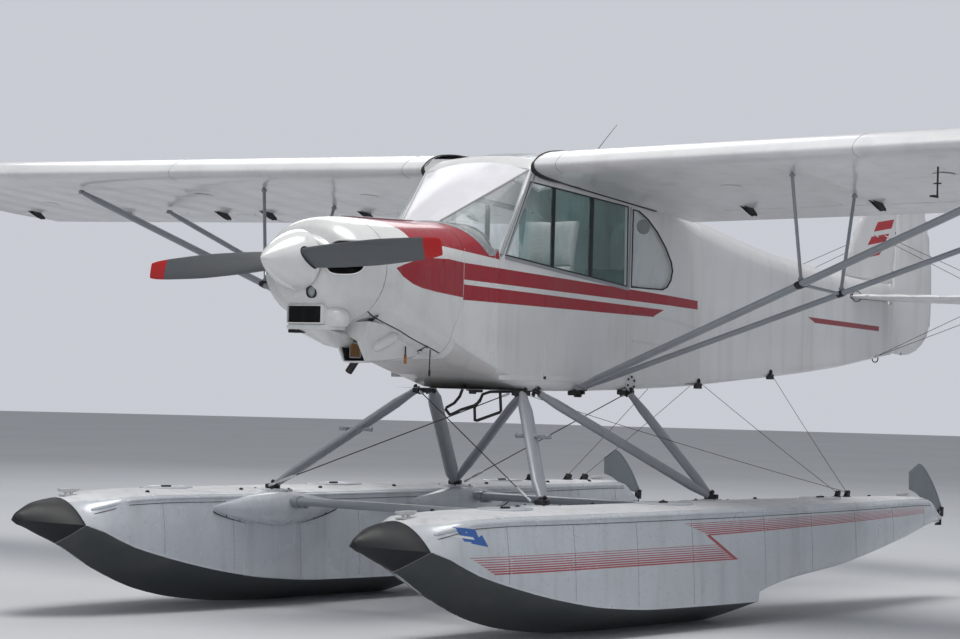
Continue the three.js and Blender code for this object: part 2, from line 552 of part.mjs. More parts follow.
function buildFuselage() {
  const boot = hull(BOOT_SECTIONS).subtract(hollowOf(BOOT_SECTIONS, COWL_WALL, false, true));
  addMesh('boot_cowl', boot, WHITE);
  const panel = hollowOf(BOOT_SECTIONS, COWL_WALL + SEAT, false, true)
    .intersect(box(-400, 400, -1762, -1746, 1760, 2200));
  addMesh('instrument_panel', panel, PANEL_BLACK);

  const outer = hull(CABIN_SECTIONS);
  const hollow = hollowOf(CABIN_SECTIONS, WALL, true, false);
  const shell = cutBy(outer.subtract(hollow), [
    box(-348, 348, -1760, -1452, 1860, 2460),
    box(-ROOF_GLASS.half, ROOF_GLASS.half, ROOF_GLASS.front, ROOF_GLASS.rear, 2300, 2600),
  ]);
  const edge = CLEAR;
  const doorway = [[DOOR.front - edge, DOOR.low - edge], [DOOR.front - edge, DOOR.top + edge],
    [DOOR.rear + edge, DOOR.topRear + edge], [DOOR.rear + edge, DOOR.low - edge]];
  let cabin = cutBy(shell, [
    plate('yz', windows.port, 300, 400),
    plate('yz', windows.starboardFront, -400, -300),
    plate('yz', REAR_WINDOW, 250, 400),
    plate('yz', REAR_WINDOW, -400, -250),
    plate('yz', doorway, -400, -300),
  ]);

  const lower = [[DOOR.front, DOOR.low], [DOOR.front, DOOR.splitFront - edge],
    [DOOR.rear, DOOR.splitRear - edge], [DOOR.rear, DOOR.low]];
  const upper = [[DOOR.front, DOOR.splitFront], [DOOR.front, DOOR.top],
    [DOOR.rear, DOOR.topRear], [DOOR.rear, DOOR.splitRear]];
  const doorGlass = inset(upper, DOOR_FRAME);
  let doorLow = shell.intersect(plate('yz', lower, -400, -300));
  let doorHigh = shell.intersect(plate('yz', upper, -400, -300)).subtract(plate('yz', doorGlass, -400, -300));

  const lowAxis = V(0, 1, 0);
  const highAxis = V(0, DOOR.rear - DOOR.front, DOOR.topRear - DOOR.top).normalize();
  const outward = V(-1, 0, 0);
  for (const y of [-1120, -625]) {
    const lowAt = V(-CABIN_HALF, y, DOOR.low - edge / 2);
    const lowHinge = doorHinge(doorLow, lowAt, lowAxis, V(0, 0, 1), outward);
    doorLow = lowHinge.moving;
    const t = (y - DOOR.front) / (DOOR.rear - DOOR.front);
    const highAt = V(-CABIN_HALF, y, DOOR.top + (DOOR.topRear - DOOR.top) * t + edge / 2);
    const down = V(0, highAxis.z, -highAxis.y);
    const highHinge = doorHinge(doorHigh, highAt, highAxis, down, outward);
    doorHigh = highHinge.moving;
    cabin = union([cabin, lowHinge.eye, highHinge.eye]);
  }
  addMesh('cabin_shell', cabin, FABRIC_WHITE);
  addMesh('door_lower', doorLow, FABRIC_WHITE);
  addMesh('door_upper', doorHigh, STRUT_GREY);
  addMesh('door_glass', paneOf(doorGlass, -1), GLASS);
  addMesh('side_glass_left', paneOf(windows.port, 1), GLASS);
  addMesh('front_glass_right', paneOf(windows.starboardFront, -1), GLASS);
  addMesh('rear_window_left', paneOf(REAR_WINDOW, 1), GLASS);
  addMesh('rear_window_right', paneOf(REAR_WINDOW, -1), GLASS);
  addMesh('windshield', sheet(windshieldGrid(), 5), GLASS);
  const g = ROOF_GLASS;
  addMesh('skylight', hull(CABIN_SECTIONS).subtract(hull(CABIN_SECTIONS, 6)).intersect(
    box(-g.half + SEAT, g.half - SEAT, g.front + SEAT, g.rear - SEAT, 2320, 2600)), GLASS);
}

// Seats: cushion, back and frame in one, standing on the cabin floor
function buildSeat(name, front, floorZ) {
  const cushion = box(-200, 200, front, front + 420, floorZ + 190, floorZ + 270);
  const back = plate('yz', [[front + 380, floorZ + 200], [front + 430, floorZ + 190],
    [front + 530, floorZ + 690], [front + 480, floorZ + 700]], -200, 200);
  const legs = [[-180, 20], [160, 20], [-180, 370], [160, 370]].map(([x, dy]) =>
    box(x, x + 20, front + dy, front + dy + 20, floorZ - 60, floorZ + 200));
  const room = hull(CABIN_SECTIONS, WALL + SEAT);
  addMesh(name, union([cushion, back, ...legs]).intersect(room), SEAT_CLOTH);
}

// Wings, built flat in the wing's own frame: x along the span from the root rib, y = 0 at the
// trailing edge (minus is forward), z = 0 on the flat underside
// Aerofoil: share of the chord, height of the underside and of the upper side in shares of the chord
const AEROFOIL = [
  { at: 0.0, under: 0.03, over: 0.03 },
  { at: 0.006, under: 0.018, over: 0.043 },
  { at: 0.02, under: 0.0115, over: 0.0575 },
  { at: 0.05, under: 0.0055, over: 0.077 },
  { at: 0.1, under: 0.0025, over: 0.095 },
  { at: 0.2, under: 0.0005, over: 0.111 },
  { at: 0.3, under: 0.0, over: 0.116 },
  { at: 0.42, under: 0.0, over: 0.1125 },
  { at: 0.56, under: 0.0, over: 0.0965 },
  { at: 0.7, under: 0.0, over: 0.072 },
  { at: 0.82, under: 0.0, over: 0.0465 },
  { at: 0.92, under: 0.0, over: 0.0225 },
  { at: 1.0, under: 0.0, over: 0.0035 },
];
// Rounded tip: share of the tip's length
const TIP_STEPS = [0.3, 0.55, 0.75, 0.88, 0.96, 0.99];
const TIP_LENGTH = 560;

function heightsAt(share) {
  const next = Math.max(1, AEROFOIL.findIndex((row) => row.at >= share));
  const [a, b] = [AEROFOIL[next - 1], AEROFOIL[next]];
  const t = (share - a.at) / (b.at - a.at);
  return { under: a.under + (b.under - a.under) * t, over: a.over + (b.over - a.over) * t };
}

function aerofoilRing(x, shrink = 0) {
  const keep = Math.sqrt(1 - shrink ** 2);
  const front = -WING.chord * (0.58 + 0.42 * keep);
  const rear = -WING.chord * 0.58 * (1 - keep);
  const chord = rear - front;
  const lift = 0.045 * WING.chord * (1 - keep);
  const over = AEROFOIL.map((row) => V(x, front + row.at * chord, lift + row.over * WING.chord * keep));
  const under = AEROFOIL.slice(1).reverse().map((row) =>
    V(x, front + row.at * chord, lift + row.under * WING.chord * keep));
  const ring = [...over, ...under];
  return ring;
}

// The root rib stands upright beside the cabin, so it leans against the dihedral
function rootRing() {
  const [rise, pitch] = [rad(WING.dihedral), rad(WING.pitch)];
  return aerofoilRing(0).map((p) =>
    V((p.z * Math.cos(pitch) - p.y * Math.sin(pitch)) * Math.tan(rise), p.y, p.z));
}

function wingPieces() {
  const start = WING.span - TIP_LENGTH;
  const body = loft([rootRing(), aerofoilRing(start),
    ...TIP_STEPS.map((t) => aerofoilRing(start + t * TIP_LENGTH, t))]);
  const across = V(1, 0, 0);
  const forward = V(0, -1, 0);
  let wing = body;
  const surfaces = {};
  for (const [name, { from, to, chord }] of Object.entries({ flap: FLAP, aileron: AILERON })) {
    const { under, over } = heightsAt(1 - chord / WING.chord);
    const radius = ((over - under) * WING.chord) / 2 - 0.5;
    const z = ((over + under) * WING.chord) / 2;
    const hinge = (x) => V(x, -chord, z);
    wing = cutBy(wing, [
      rod(hinge(from), hinge(to), radius + CLEAR, 16),
      box(from, to, -chord, 50, -50, 150),
    ]);
    const tail = body.intersect(box(from + CLEAR, to - CLEAR, -chord, 50, -50, 250));
    const nose = rod(hinge(from + CLEAR), hinge(to - CLEAR), radius, 16);
    const third = (to - from) / 2;
    const points = [from + 120, from + third, to - 120].map(hinge);
    [wing, surfaces[name]] = hinged(wing, tail.add(nose), points, across, forward, radius, 11);
  }
  return { wing, ...surfaces };
}

function wingFrame(side) {
  const group = new THREE.Group();
  group.position.set(side * WING.root, WING.teY, WING.teZ);
  group.rotation.set(rad(-WING.pitch), side * rad(-WING.dihedral), 0, 'YXZ');
  plane.add(group);
  return group;
}

function buildWings() {
  const { wing, flap, aileron } = wingPieces();
  for (const [label, side] of [['left', 1], ['right', -1]]) {
    const frame = wingFrame(side);
    const sided = (solid) => (side > 0 ? solid : mirrored(solid));
    addMesh(`wing_${label}`, sided(wing), FABRIC_WHITE, frame);
    addMesh(`flap_${label}`, sided(flap), FABRIC_WHITE, frame);
    addMesh(`aileron_${label}`, sided(aileron), FABRIC_WHITE, frame);
  }
}

// A point on the port wing's underside, in the whole machine's frame
function underWing(x, y) {
  const local = V(x - WING.root, y - WING.teY, 0);
  const drop = Math.tan(rad(WING.pitch));
  const rise = Math.tan(rad(WING.dihedral));
  return V(x, y, WING.teZ - local.y * drop + local.x * rise);
}

// Lift struts from the lower longeron to the spars, with the jury struts half way
const LIFT = {
  foot: [384, -985, 1222], frontX: 3380, rearX: 3346, frontY: -1190, rearY: -432,
  frontChord: 86, frontThick: 34, rearChord: 62, rearThick: 28,
};
const JURY = { x: 1820, radius: 11, share: 0.48 };

function buildLiftStruts() {
  const foot = V(...LIFT.foot);
  const drop = V(0, 0, -16);
  const frontTop = underWing(LIFT.frontX, LIFT.frontY).add(drop);
  const rearTop = underWing(LIFT.rearX, LIFT.rearY).add(drop);
  const front = strut(foot, frontTop, LIFT.frontChord, LIFT.frontThick);
  const rear = strut(foot, rearTop, LIFT.rearChord, LIFT.rearThick);
  const lugs = [frontTop, rearTop].map((top) => {
    const seat = underWing(top.x, top.y).add(V(0, 0, -SEAT));
    return loft([[-22, -34], [22, -34], [22, 34], [-22, 34]].map(([dx, dy]) => [dx, dy])
      .reduce((rings, [dx, dy]) => {
        const high = underWing(seat.x + dx, seat.y + dy);
        rings[0].push(V(seat.x + dx, seat.y + dy, seat.z - 34));
        rings[1].push(V(seat.x + dx, seat.y + dy, high.z - SEAT - 0.2));
        return rings;
      }, [[], []]));
  });
  const plateAtFoot = rod(V(CABIN_HALF + SEAT, foot.y, foot.z), V(foot.x + 26, foot.y, foot.z), 30, 16);
  const tips = [[foot, frontTop, LIFT.frontY + 8], [foot, rearTop, LIFT.rearY - 6]].map(([a, b, y]) => {
    const low = a.clone().lerp(b, JURY.share);
    const high = underWing(JURY.x, y).add(V(0, 0, -SEAT - 3.9));
    return [low, high];
  });
  const legs = tips.map(([low, high]) => rod(low, high, JURY.radius, 10));
  const tie = rod(tips[0][0], tips[1][0], JURY.radius - 3, 10);
  addPair('lift_struts', union([front, rear, ...lugs, plateAtFoot, ...legs, tie]), STRUT_GREY);
}

// Tail
const STABILIZER = {
  // half outline from the root leading edge round the tip to the hinge line: x, y
  outline: [[0, 2452], [200, 2468], [700, 2560], [1120, 2650], [1380, 2730]],
};
const ELEVATOR = { root: 62, tip: 1600, chord: 430, balanceX: 1400 };
const FIN_OUTLINE = [[2470, 2012], [2560, 2176], [2700, 2380], [2830, 2540]];
const HORN_Z = 2590;

const edged = (points, thick, facing, bevel = 9) => {
  const shape = new THREE.Shape(points.map(([u, v]) => new THREE.Vector2(u, v)));
  const geometry = new THREE.ExtrudeGeometry(shape, {
    depth: thick - 2 * bevel, bevelEnabled: true, bevelThickness: bevel, bevelSize: bevel,
    bevelOffset: -bevel, bevelSegments: 1, curveSegments: 4,
  });
  geometry.translate(0, 0, -(thick - 2 * bevel) / 2);
  if (facing === 'yz') {
    geometry.applyMatrix4(new THREE.Matrix4().makeBasis(V(0, 1, 0), V(0, 0, 1), V(1, 0, 0)));
  }
  return solidOf(geometry);
};

function arc(cx, cy, rx, ry, from, to, steps) {
  return Array.from({ length: steps + 1 }, (_, k) => {
    const t = rad(from + ((to - from) * k) / steps);
    return [cx + rx * Math.cos(t), cy + ry * Math.sin(t)];
  });
}

const rudderAxis = V(0, RUDDER_HEAD[0] - RUDDER_FOOT[0], RUDDER_HEAD[1] - RUDDER_FOOT[1]).normalize();
function rudderLine(z, offset = 0) {
  const t = (z - RUDDER_FOOT[1]) / (RUDDER_HEAD[1] - RUDDER_FOOT[1]);
  return [RUDDER_FOOT[0] + (RUDDER_HEAD[0] - RUDDER_FOOT[0]) * t + offset, z];
}

function buildTail() {
  const radius = TAIL_THICK / 2;
  const across = V(1, 0, 0);
  const forward = V(0, -1, 0);

  // Stabilizer and elevator
  const hingeY = ELEVATOR_Y;
  const rearEdge = hingeY - radius - CLEAR;
  const half = [...STABILIZER.outline, [1392, 2790], [1392, rearEdge]];
  const stabOutline = [...half, ...half.slice(1).reverse().map(([x, y]) => [-x, y])];
  let stab = edged(stabOutline, TAIL_THICK, 'xy');
  const elevatorHalf = [
    [ELEVATOR.root, hingeY], [ELEVATOR.root + 20, hingeY + 60], [300, hingeY + 400], [420, hingeY + 430],
    [1000, hingeY + 425], ...arc(1180, 2990, 420, 520, 80, -28, 8), [1404, 2752], [1400, hingeY],
  ];
  const leaf = edged(elevatorHalf, TAIL_THICK, 'xy');
  const nose = rod(V(ELEVATOR.root, hingeY, 0), V(1400, hingeY, 0), radius, 10);
  const portHalf = leaf.add(nose);
  let elevator = union([portHalf, mirrored(portHalf), rod(V(-80, hingeY, 0), V(80, hingeY, 0), 12, 10)]);
  const stations = [150, 560, 960, 1340];
  const points = [...stations, ...stations.map((x) => -x)].map((x) => V(x, hingeY, 0));
  [stab, elevator] = hinged(stab, elevator, points, across, forward, radius);
  const raise = (solid) => solid.translate([0, 0, STAB_Z]);
  stab = raise(stab);
  elevator = raise(elevator);

  // Fin and rudder
  const back = V(0, -rudderAxis.z, rudderAxis.y);
  const rearAt = (z) => rudderLine(z, -(radius + CLEAR) * 1.004);
  const finTop = HORN_Z - CLEAR - 2;
  const finFoot = [rearAt(1980), [3100, 1972], [2500, 1990]];
  const finOutline = [...FIN_OUTLINE, [2866, finTop], rearAt(finTop), ...finFoot];
  let fin = edged(finOutline, TAIL_THICK, 'yz');
  const rudderOutline = [
    rudderLine(1512), [3300, 1500], ...arc(3330, 1800, 389, 300, -90, 0, 7), [3722, 1930], [3716, 2080],
    [3668, 2300], [3588, 2513], ...arc(3300, 2480, 250, 310, 30, 110, 6), [2990, 2730], [2880, 2640],
    [2872, HORN_Z], rudderLine(HORN_Z),
  ];
  let rudder = edged(rudderOutline, TAIL_THICK, 'yz');
  const rudderNose = rod(V(0, ...rudderLine(1520)), V(0, ...rudderLine(HORN_Z + 10)), radius, 10);
  rudder = rudder.add(rudderNose);
  let tail = hull(TAIL_SECTIONS);
  const rearCut = [rearAt(1400), rearAt(2100), [3300, 2100], [3300, 1400]];
  const horn = box(-60, 60, hingeY - radius - 2 * CLEAR - 10, 3300, STAB_Z - 32, STAB_Z + 32);
  tail = cutBy(tail, [plate('yz', rearCut, -100, 100), horn]);
  const low = [1590, 1760].map((z) => V(0, ...rudderLine(z)));
  const high = [2060, 2330, 2540].map((z) => V(0, ...rudderLine(z)));
  [tail, rudder] = hinged(tail, rudder, low, rudderAxis, back, radius);
  [fin, rudder] = hinged(fin, rudder, high, rudderAxis, back, radius);

  const stabRoom = box(-400, 400, 2440, rearEdge + SEAT, STAB_Z - radius - SEAT, STAB_Z + radius + SEAT);
  tail = tail.subtract(stabRoom);
  fin = fin.subtract(hull(TAIL_SECTIONS).add(box(-20, 20, 2400, 3300, 1800, 1960)));
  fin = fin.translate([0, 0, SEAT]);
  addMesh('tail_fuselage', tail, FABRIC_WHITE);
  addMesh('stabilizer', stab, FABRIC_WHITE);
  addMesh('elevator', elevator, FABRIC_WHITE);
  addMesh('fin', fin, FABRIC_WHITE);
  addMesh('rudder', rudder, FABRIC_WHITE);
}

// Floats
// Each section: y, keel z, chine z, chine half width, deck half width, deck edge z, deck crown z
const FLOAT_SECTIONS = [
  { y: -3722, keel: 478, chine: 488, beam: 18, deck: 17, edge: 508, crown: 512 },
  { y: -3670, keel: 456, chine: 486, beam: 62, deck: 56, edge: 532, crown: 538 },
  { y: -3580, keel: 418, chine: 481, beam: 130, deck: 118, edge: 560, crown: 570 },
  { y: BUMPER_Y, keel: 362, chine: 474, beam: 224, deck: 204, edge: 584, crown: 600 },
  { y: -3150, keel: 214, chine: 392, beam: 284, deck: 258, edge: 606, crown: 624 },
  { y: -2850, keel: 104, chine: 303, beam: 318, deck: 288, edge: DECK_Z, crown: 635 },
  { y: -2560, keel: 46, chine: 222, beam: 334, deck: 302, edge: DECK_Z, crown: 636 },
  { y: -2200, keel: 12, chine: 160, beam: 340, deck: 308, edge: DECK_Z, crown: 636 },
  { y: -1750, keel: 0, chine: 132, beam: 341, deck: 308, edge: DECK_Z, crown: 636 },
  { y: STEP_Y, keel: 0, chine: 124, beam: 340, deck: 306, edge: DECK_Z, crown: 636 },
  { y: STEP_Y + 12, keel: 76, chine: 178, beam: 338, deck: 306, edge: DECK_Z, crown: 636 },
  { y: 200, keel: 212, chine: 292, beam: 286, deck: 262, edge: DECK_Z, crown: 634 },
  { y: 1000, keel: 336, chine: 398, beam: 196, deck: 182, edge: DECK_Z, crown: 630 },
  { y: 1505, keel: 425, chine: 470, beam: 112, deck: 104, edge: 608, crown: 620 },
  { y: 1765, keel: 474, chine: 486, beam: 46, deck: 42, edge: 496, crown: 498 },
];
const DECK_ROUND = 34;
// Mooring cleats on the deck: centre y and height of the flat top
const CLEATS = [{ y: -3352, top: 645 }, { y: 1345, top: 652 }];

function floatRing({ y, keel, chine, beam, deck, edge, crown }) {
  const round = Math.min(DECK_ROUND, deck * 0.5, (edge - chine) * 0.6);
  const corner = [0, 0.5, 1].map((t) => {
    const a = (t * Math.PI) / 2;
    return [deck - round + round * Math.cos(a), edge - round + round * Math.sin(a)];
  });
  const port = [[0, keel], [beam, chine], ...corner, [deck * 0.45, edge + (crown - edge) * 0.8]];
  const loop = [...port, [0, crown], ...port.slice(1).reverse().map(([x, z]) => [-x, z])];
  return loop.map(([x, z]) => V(FLOAT_X + x, y, z));
}

const FITTING = {
  frontDeck: [925, -2018, 640], rearDeck: [911, -422, 640],
  frontBelly: [352, -1452, 1200], rearBelly: [352, -468, 1216],
};
const SPREADER = { z: 572, chord: 96, thick: 46, frontY: -2060, rearY: -436, reach: 812 };

function buildFloats() {
  const whole = loft(FLOAT_SECTIONS.map(floatRing));
  const x0 = FLOAT_X - 500;
  const x1 = FLOAT_X + 500;
  const front = box(x0, x1, -3800, BUMPER_Y, 0, 800);
  const bumper = whole.intersect(front);
  let body = whole.subtract(box(x0, x1, -3800, BUMPER_Y + SEAT, 0, 800));

  // deck fittings for the struts, sockets for the spreader bars and rudder post brackets
  const pads = [FITTING.frontDeck, FITTING.rearDeck].map(([x, y, z]) =>
    box(x - 38, x + 38, y - 50, y + 50, z - 60, z - 8));
  const blisters = [SPREADER.frontY, SPREADER.rearY].map((y) =>
    loft([[FLOAT_X - 250, 1], [SPREADER.reach + SEAT, 0.55]].map(([x, size]) =>
      Array.from({ length: 12 }, (_, k) => {
        const t = (k / 12) * 2 * Math.PI;
        return V(x, y + 330 * size * Math.cos(t), SPREADER.z - 30 + 64 * size * Math.sin(t));
      }))));
  body = union([body, ...pads, ...blisters]);
  const bars = [SPREADER.frontY, SPREADER.rearY].map((y) => strut(
    V(-SPREADER.reach, y, SPREADER.z), V(SPREADER.reach, y, SPREADER.z), SPREADER.chord, SPREADER.thick));
  const eye = RUDDER_POST.eye;
  const postY = RUDDER_POST.y;
  const brackets = RUDDER_POST.brackets.map((z) =>
    box(FLOAT_X - eye, FLOAT_X + eye, 1690, postY, z - 6, z + 6)
      .add(rod(V(FLOAT_X, postY, z - 6), V(FLOAT_X, postY, z + 6), eye, 14)));
  const cleats = CLEATS.flatMap(({ y, top }) => [
    box(FLOAT_X - 14, FLOAT_X + 14, y - 24, y + 24, top - 42, top - 11),
    box(FLOAT_X - 11, FLOAT_X + 11, y - 75, y + 75, top - 12, top),
  ]);
  body = union([body, ...brackets, ...cleats]);
  const pinRoom = rod(V(FLOAT_X, postY, 400), V(FLOAT_X, postY, 700), RUDDER_POST.pin + 1.5 * SEAT, 12);
  body = body.subtract(pinRoom);
  addPair('float', body, FLOAT_WHITE);
  addPair('bumper', bumper, RUBBER);
  addMesh('spreader_front', bars[0], STRUT_GREY);
  addMesh('spreader_rear', bars[1], STRUT_GREY);
}

// Water rudders: a post that steers on the stern brackets, and a blade stored swung up on it
const BLADE_OUTLINE = [[1812, 531], [1826, 525], [1839, 534], [1839, 548], [1814, 582], [1772, 640],
  [1706, 712], [1636, 774], [1566, 815], [1533, 819], [1424, 772], [1427, 664], [1512, 642], [1610, 596],
  [1710, 550]];

function buildWaterRudders() {
  const { y, pin, low, blade: [bladeY, bladeZ] } = RUDDER_POST;
  const at = (z) => V(FLOAT_X, y, z);
  const [spineFront, spineRear, neck] = [y + 15, y + 25, bladeZ - 28];
  const arm = (z) => box(FLOAT_X - 12, FLOAT_X + 12, y - 12, spineRear, z - 5, z + 5);
  const spine = box(FLOAT_X - 16, FLOAT_X + 16, spineFront, spineRear, low, neck);
  const cheeks = [[-16, -9.5], [9.5, 16]].map(([from, to]) =>
    box(FLOAT_X + from, FLOAT_X + to, spineFront, bladeY + 14, neck - 20, bladeZ + 12));
  const hole = rod(V(FLOAT_X - 30, bladeY, bladeZ), V(FLOAT_X + 30, bladeY, bladeZ), 5 + SEAT, 12);
  const post = union([rod(at(low), at(neck - 4), pin, 12), arm(low + 5), arm(neck - 5), spine, ...cheeks]);
  const plateOf = plate('yz', BLADE_OUTLINE, FLOAT_X - 4, FLOAT_X + 4);
  const bladePin = rod(V(FLOAT_X - 18, bladeY, bladeZ), V(FLOAT_X + 18, bladeY, bladeZ), 5, 12);
  addPair('water_rudder_post', post.subtract(hole), STRUT_GREY);
  addPair('water_rudder_blade', plateOf.add(bladePin), STRUT_GREY);
}

// Struts and wires between the fuselage and the floats
const FLOAT_STRUT = { chord: 92, thick: 40, rearChord: 84 };
const STEP = { share: 0.42, length: 150, radius: 12 };
const WIRE = { radius: 4, apart: 9, shift: 60 };

// The block that joins strut and wires, its wire lug on the side away from the diagonal strut
function fittingBlock(key, low, high, grow) {
  const [x, y] = FITTING[key];
  const lug = WIRE.shift + WIRE.apart + 10;
  const [front, rear] = key.startsWith('front') ? [lug, 38] : [38, lug];
  return box(x - 32 - grow, x + 24 + grow, y - front - grow, y + rear + grow, low - grow, high + grow);
}

function buildFloatStruts() {
  const point = (key, dz = 0) => V(FITTING[key][0], FITTING[key][1], FITTING[key][2] + dz);
  const foot = (key) => fittingBlock(key, DECK_Z + 16 + SEAT, DECK_Z + 44, 0);
  const head = (key) => fittingBlock(key, FITTING[key][2] - 24, FITTING[key][2] + 4, 0);
  const room = [hull(CABIN_SECTIONS, -SEAT), box(600, 1300, -2300, 0, 500, DECK_Z + 16 + SEAT)];
  const front = strut(point('frontBelly', 8), point('frontDeck'), FLOAT_STRUT.chord, FLOAT_STRUT.thick);
  const tread = point('frontBelly').lerp(point('frontDeck'), STEP.share);
  const step = rod(tread, tread.clone().add(V(STEP.length, 0, 0)), STEP.radius, 10);
  const frontPieces = [front, step, foot('frontDeck'), head('frontBelly')];
  addPair('front_strut', cutBy(union(frontPieces), room), STRUT_GREY);
  const diagonal = strut(point('frontBelly', 12).add(V(0, 96, 0)), point('rearDeck'),
    FLOAT_STRUT.rearChord, FLOAT_STRUT.thick);
  const rear = strut(point('rearBelly', 8), point('rearDeck'), FLOAT_STRUT.rearChord, FLOAT_STRUT.thick);
  const rearPieces = [diagonal, rear, foot('rearDeck'), head('rearBelly')];
  addPair('rear_struts', cutBy(union(rearPieces), room), STRUT_GREY);
}

// The crossed wires between the strut pairs, one a little behind the other
function buildWires() {
  for (const name of ['front', 'rear']) {
    const [belly, deck] = [`${name}Belly`, `${name}Deck`];
    const [bx, by, bz] = FITTING[belly];
    const [dx, dy] = FITTING[deck];
    const shift = name === 'front' ? -WIRE.shift : WIRE.shift;
    const head = fittingBlock(belly, bz - 24, bz + 4, SEAT);
    const foot = fittingBlock(deck, DECK_Z + 16, DECK_Z + 44, SEAT);
    const wireAt = (lean) => cutBy(rod(V(-bx, by + shift + lean, bz - 12),
      V(dx, dy + shift + lean, DECK_Z + 32), WIRE.radius, 8), [mirrored(head), foot]);
    addMesh(`brace_wire_${name}_left`, wireAt(WIRE.apart), STEEL);
    addMesh(`brace_wire_${name}_right`, mirrored(wireAt(-WIRE.apart)), STEEL);
  }
}

buildNose();
const [blades, spinner] = propellerPieces();
addMesh('propeller', blades, BLADE_GREY);
addMesh('spinner', spinner, WHITE);
buildFuselage();
buildSeat('front_seat', -1290, 1230);
buildSeat('rear_seat', -640, 1246);
buildWings();
buildLiftStruts();
buildTail();
buildFloats();
buildWaterRudders();
buildFloatStruts();
buildWires();

export default plane;
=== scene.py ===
"""Dresses a two-seat floatplane on twin floats: skins, finishes, fittings, rigging, floor, light and camera."""

import logging
import math
from collections.abc import Callable, Iterable, Sequence
from dataclasses import dataclass, field
from enum import Enum
from functools import lru_cache

import bmesh
import bpy
from bmesh.types import BMesh
from bpy.types import Material, Node, NodeSocket, NodeTree, Object
from mathutils import Matrix, Vector
from mathutils.bvhtree import BVHTree


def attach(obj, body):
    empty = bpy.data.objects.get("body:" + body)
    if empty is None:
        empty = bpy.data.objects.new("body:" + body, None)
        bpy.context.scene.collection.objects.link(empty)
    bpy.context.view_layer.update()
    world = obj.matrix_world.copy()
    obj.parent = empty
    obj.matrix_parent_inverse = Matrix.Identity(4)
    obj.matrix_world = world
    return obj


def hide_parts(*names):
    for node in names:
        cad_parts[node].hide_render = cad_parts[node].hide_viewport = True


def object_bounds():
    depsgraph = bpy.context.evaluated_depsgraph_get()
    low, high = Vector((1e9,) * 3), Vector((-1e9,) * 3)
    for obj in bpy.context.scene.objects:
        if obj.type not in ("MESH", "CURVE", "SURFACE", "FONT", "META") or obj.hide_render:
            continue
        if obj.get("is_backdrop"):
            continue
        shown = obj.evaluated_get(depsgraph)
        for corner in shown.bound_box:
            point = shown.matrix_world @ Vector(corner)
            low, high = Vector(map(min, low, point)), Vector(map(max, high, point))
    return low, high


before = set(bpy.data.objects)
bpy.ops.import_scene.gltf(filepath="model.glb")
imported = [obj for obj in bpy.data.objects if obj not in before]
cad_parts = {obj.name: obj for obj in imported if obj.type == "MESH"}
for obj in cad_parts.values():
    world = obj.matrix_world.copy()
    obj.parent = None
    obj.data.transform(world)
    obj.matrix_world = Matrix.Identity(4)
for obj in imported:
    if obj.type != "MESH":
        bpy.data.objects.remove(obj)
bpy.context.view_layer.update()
LOG = logging.getLogger("floatplane")

Pair = tuple[float, float]
Point = tuple[float, float, float]
Colour = tuple[float, float, float]

MIRROR = Matrix.Scale(-1, 4, (1, 0, 0))
SIDES = (("left", 1), ("right", -1))


# Numbers and curves


def blend_values(a: float, b: float, share: float) -> float:
    """Returns the value at a share of the way from a to b."""
    return a + (b - a) * share


def steps(first: float, last: float, count: int) -> list[float]:
    """Returns count + 1 even values from first to last."""
    return [blend_values(first, last, k / count) for k in range(count + 1)]


@dataclass(frozen=True)
class Course:
    """A smooth curve through points whose first value rises, without overshoot."""

    points: tuple[Pair, ...]

    def at(self, x: float) -> float:
        """Returns the height of the curve at x.

        Args:
            x: A place along the curve; past an end it keeps that end's height.
        """
        pts = self.points
        if x <= pts[0][0]:
            return pts[0][1]
        if x >= pts[-1][0]:
            return pts[-1][1]
        k = max(i for i in range(len(pts) - 1) if pts[i][0] <= x)
        (x0, z0), (x1, z1) = pts[k], pts[k + 1]
        width = x1 - x0
        t = (x - x0) / width
        m0, m1 = self.slopes()[k:k + 2]
        return ((1 + 2 * t) * (1 - t) ** 2 * z0 + t * (1 - t) ** 2 * width * m0
                + t * t * (3 - 2 * t) * z1 + t * t * (t - 1) * width * m1)

    @lru_cache(maxsize=None)
    def slopes(self) -> tuple[float, ...]:
        """Returns the slope at each point, level where the curve turns."""
        rise = [(b[1] - a[1]) / (b[0] - a[0]) for a, b in zip(self.points, self.points[1:])]
        inner = [2 * a * b / (a + b) if a * b > 0 else 0.0 for a, b in zip(rise, rise[1:])]
        return (rise[0], *inner, rise[-1])


# Meshes


def grid(bm: BMesh, rows: int, columns: int, place: Callable[[float, float], Vector],
         closed: bool = False) -> list:
    """Lays a grid whose points a function places.

    Args:
        bm: The mesh that it joins.
        rows: Number of faces in the first direction, u.
        columns: Number of faces in the second direction, v.
        place: Gives the point for u and v, each from 0 to 1.
        closed: Whether the first and last columns meet and are merged.

    Returns:
        The vertices of the grid.
    """
    made = bmesh.ops.create_grid(bm, x_segments=rows, y_segments=columns, size=0.5)
    verts = made["verts"]
    for vert in verts:
        vert.co = place(round((vert.co.x + 0.5) * rows) / rows, round((vert.co.y + 0.5) * columns) / columns)
    if closed:
        bmesh.ops.remove_doubles(bm, verts=verts, dist=1e-6)
        verts = [v for v in verts if v.is_valid]
    return verts


def loft(bm: BMesh, rings: Sequence[Sequence[Vector]], cap: bool = True) -> None:
    """Skins closed rings of equally many points, and closes the two ends."""
    rows, columns = len(rings) - 1, len(rings[0])
    before = set(bm.edges)
    grid(bm, rows, columns, lambda u, v: rings[round(u * rows)][round(v * columns) % columns], closed=True)
    if cap:
        ends = [e for e in bm.edges if e.is_boundary and e not in before]
        bmesh.ops.holes_fill(bm, edges=ends, sides=0)


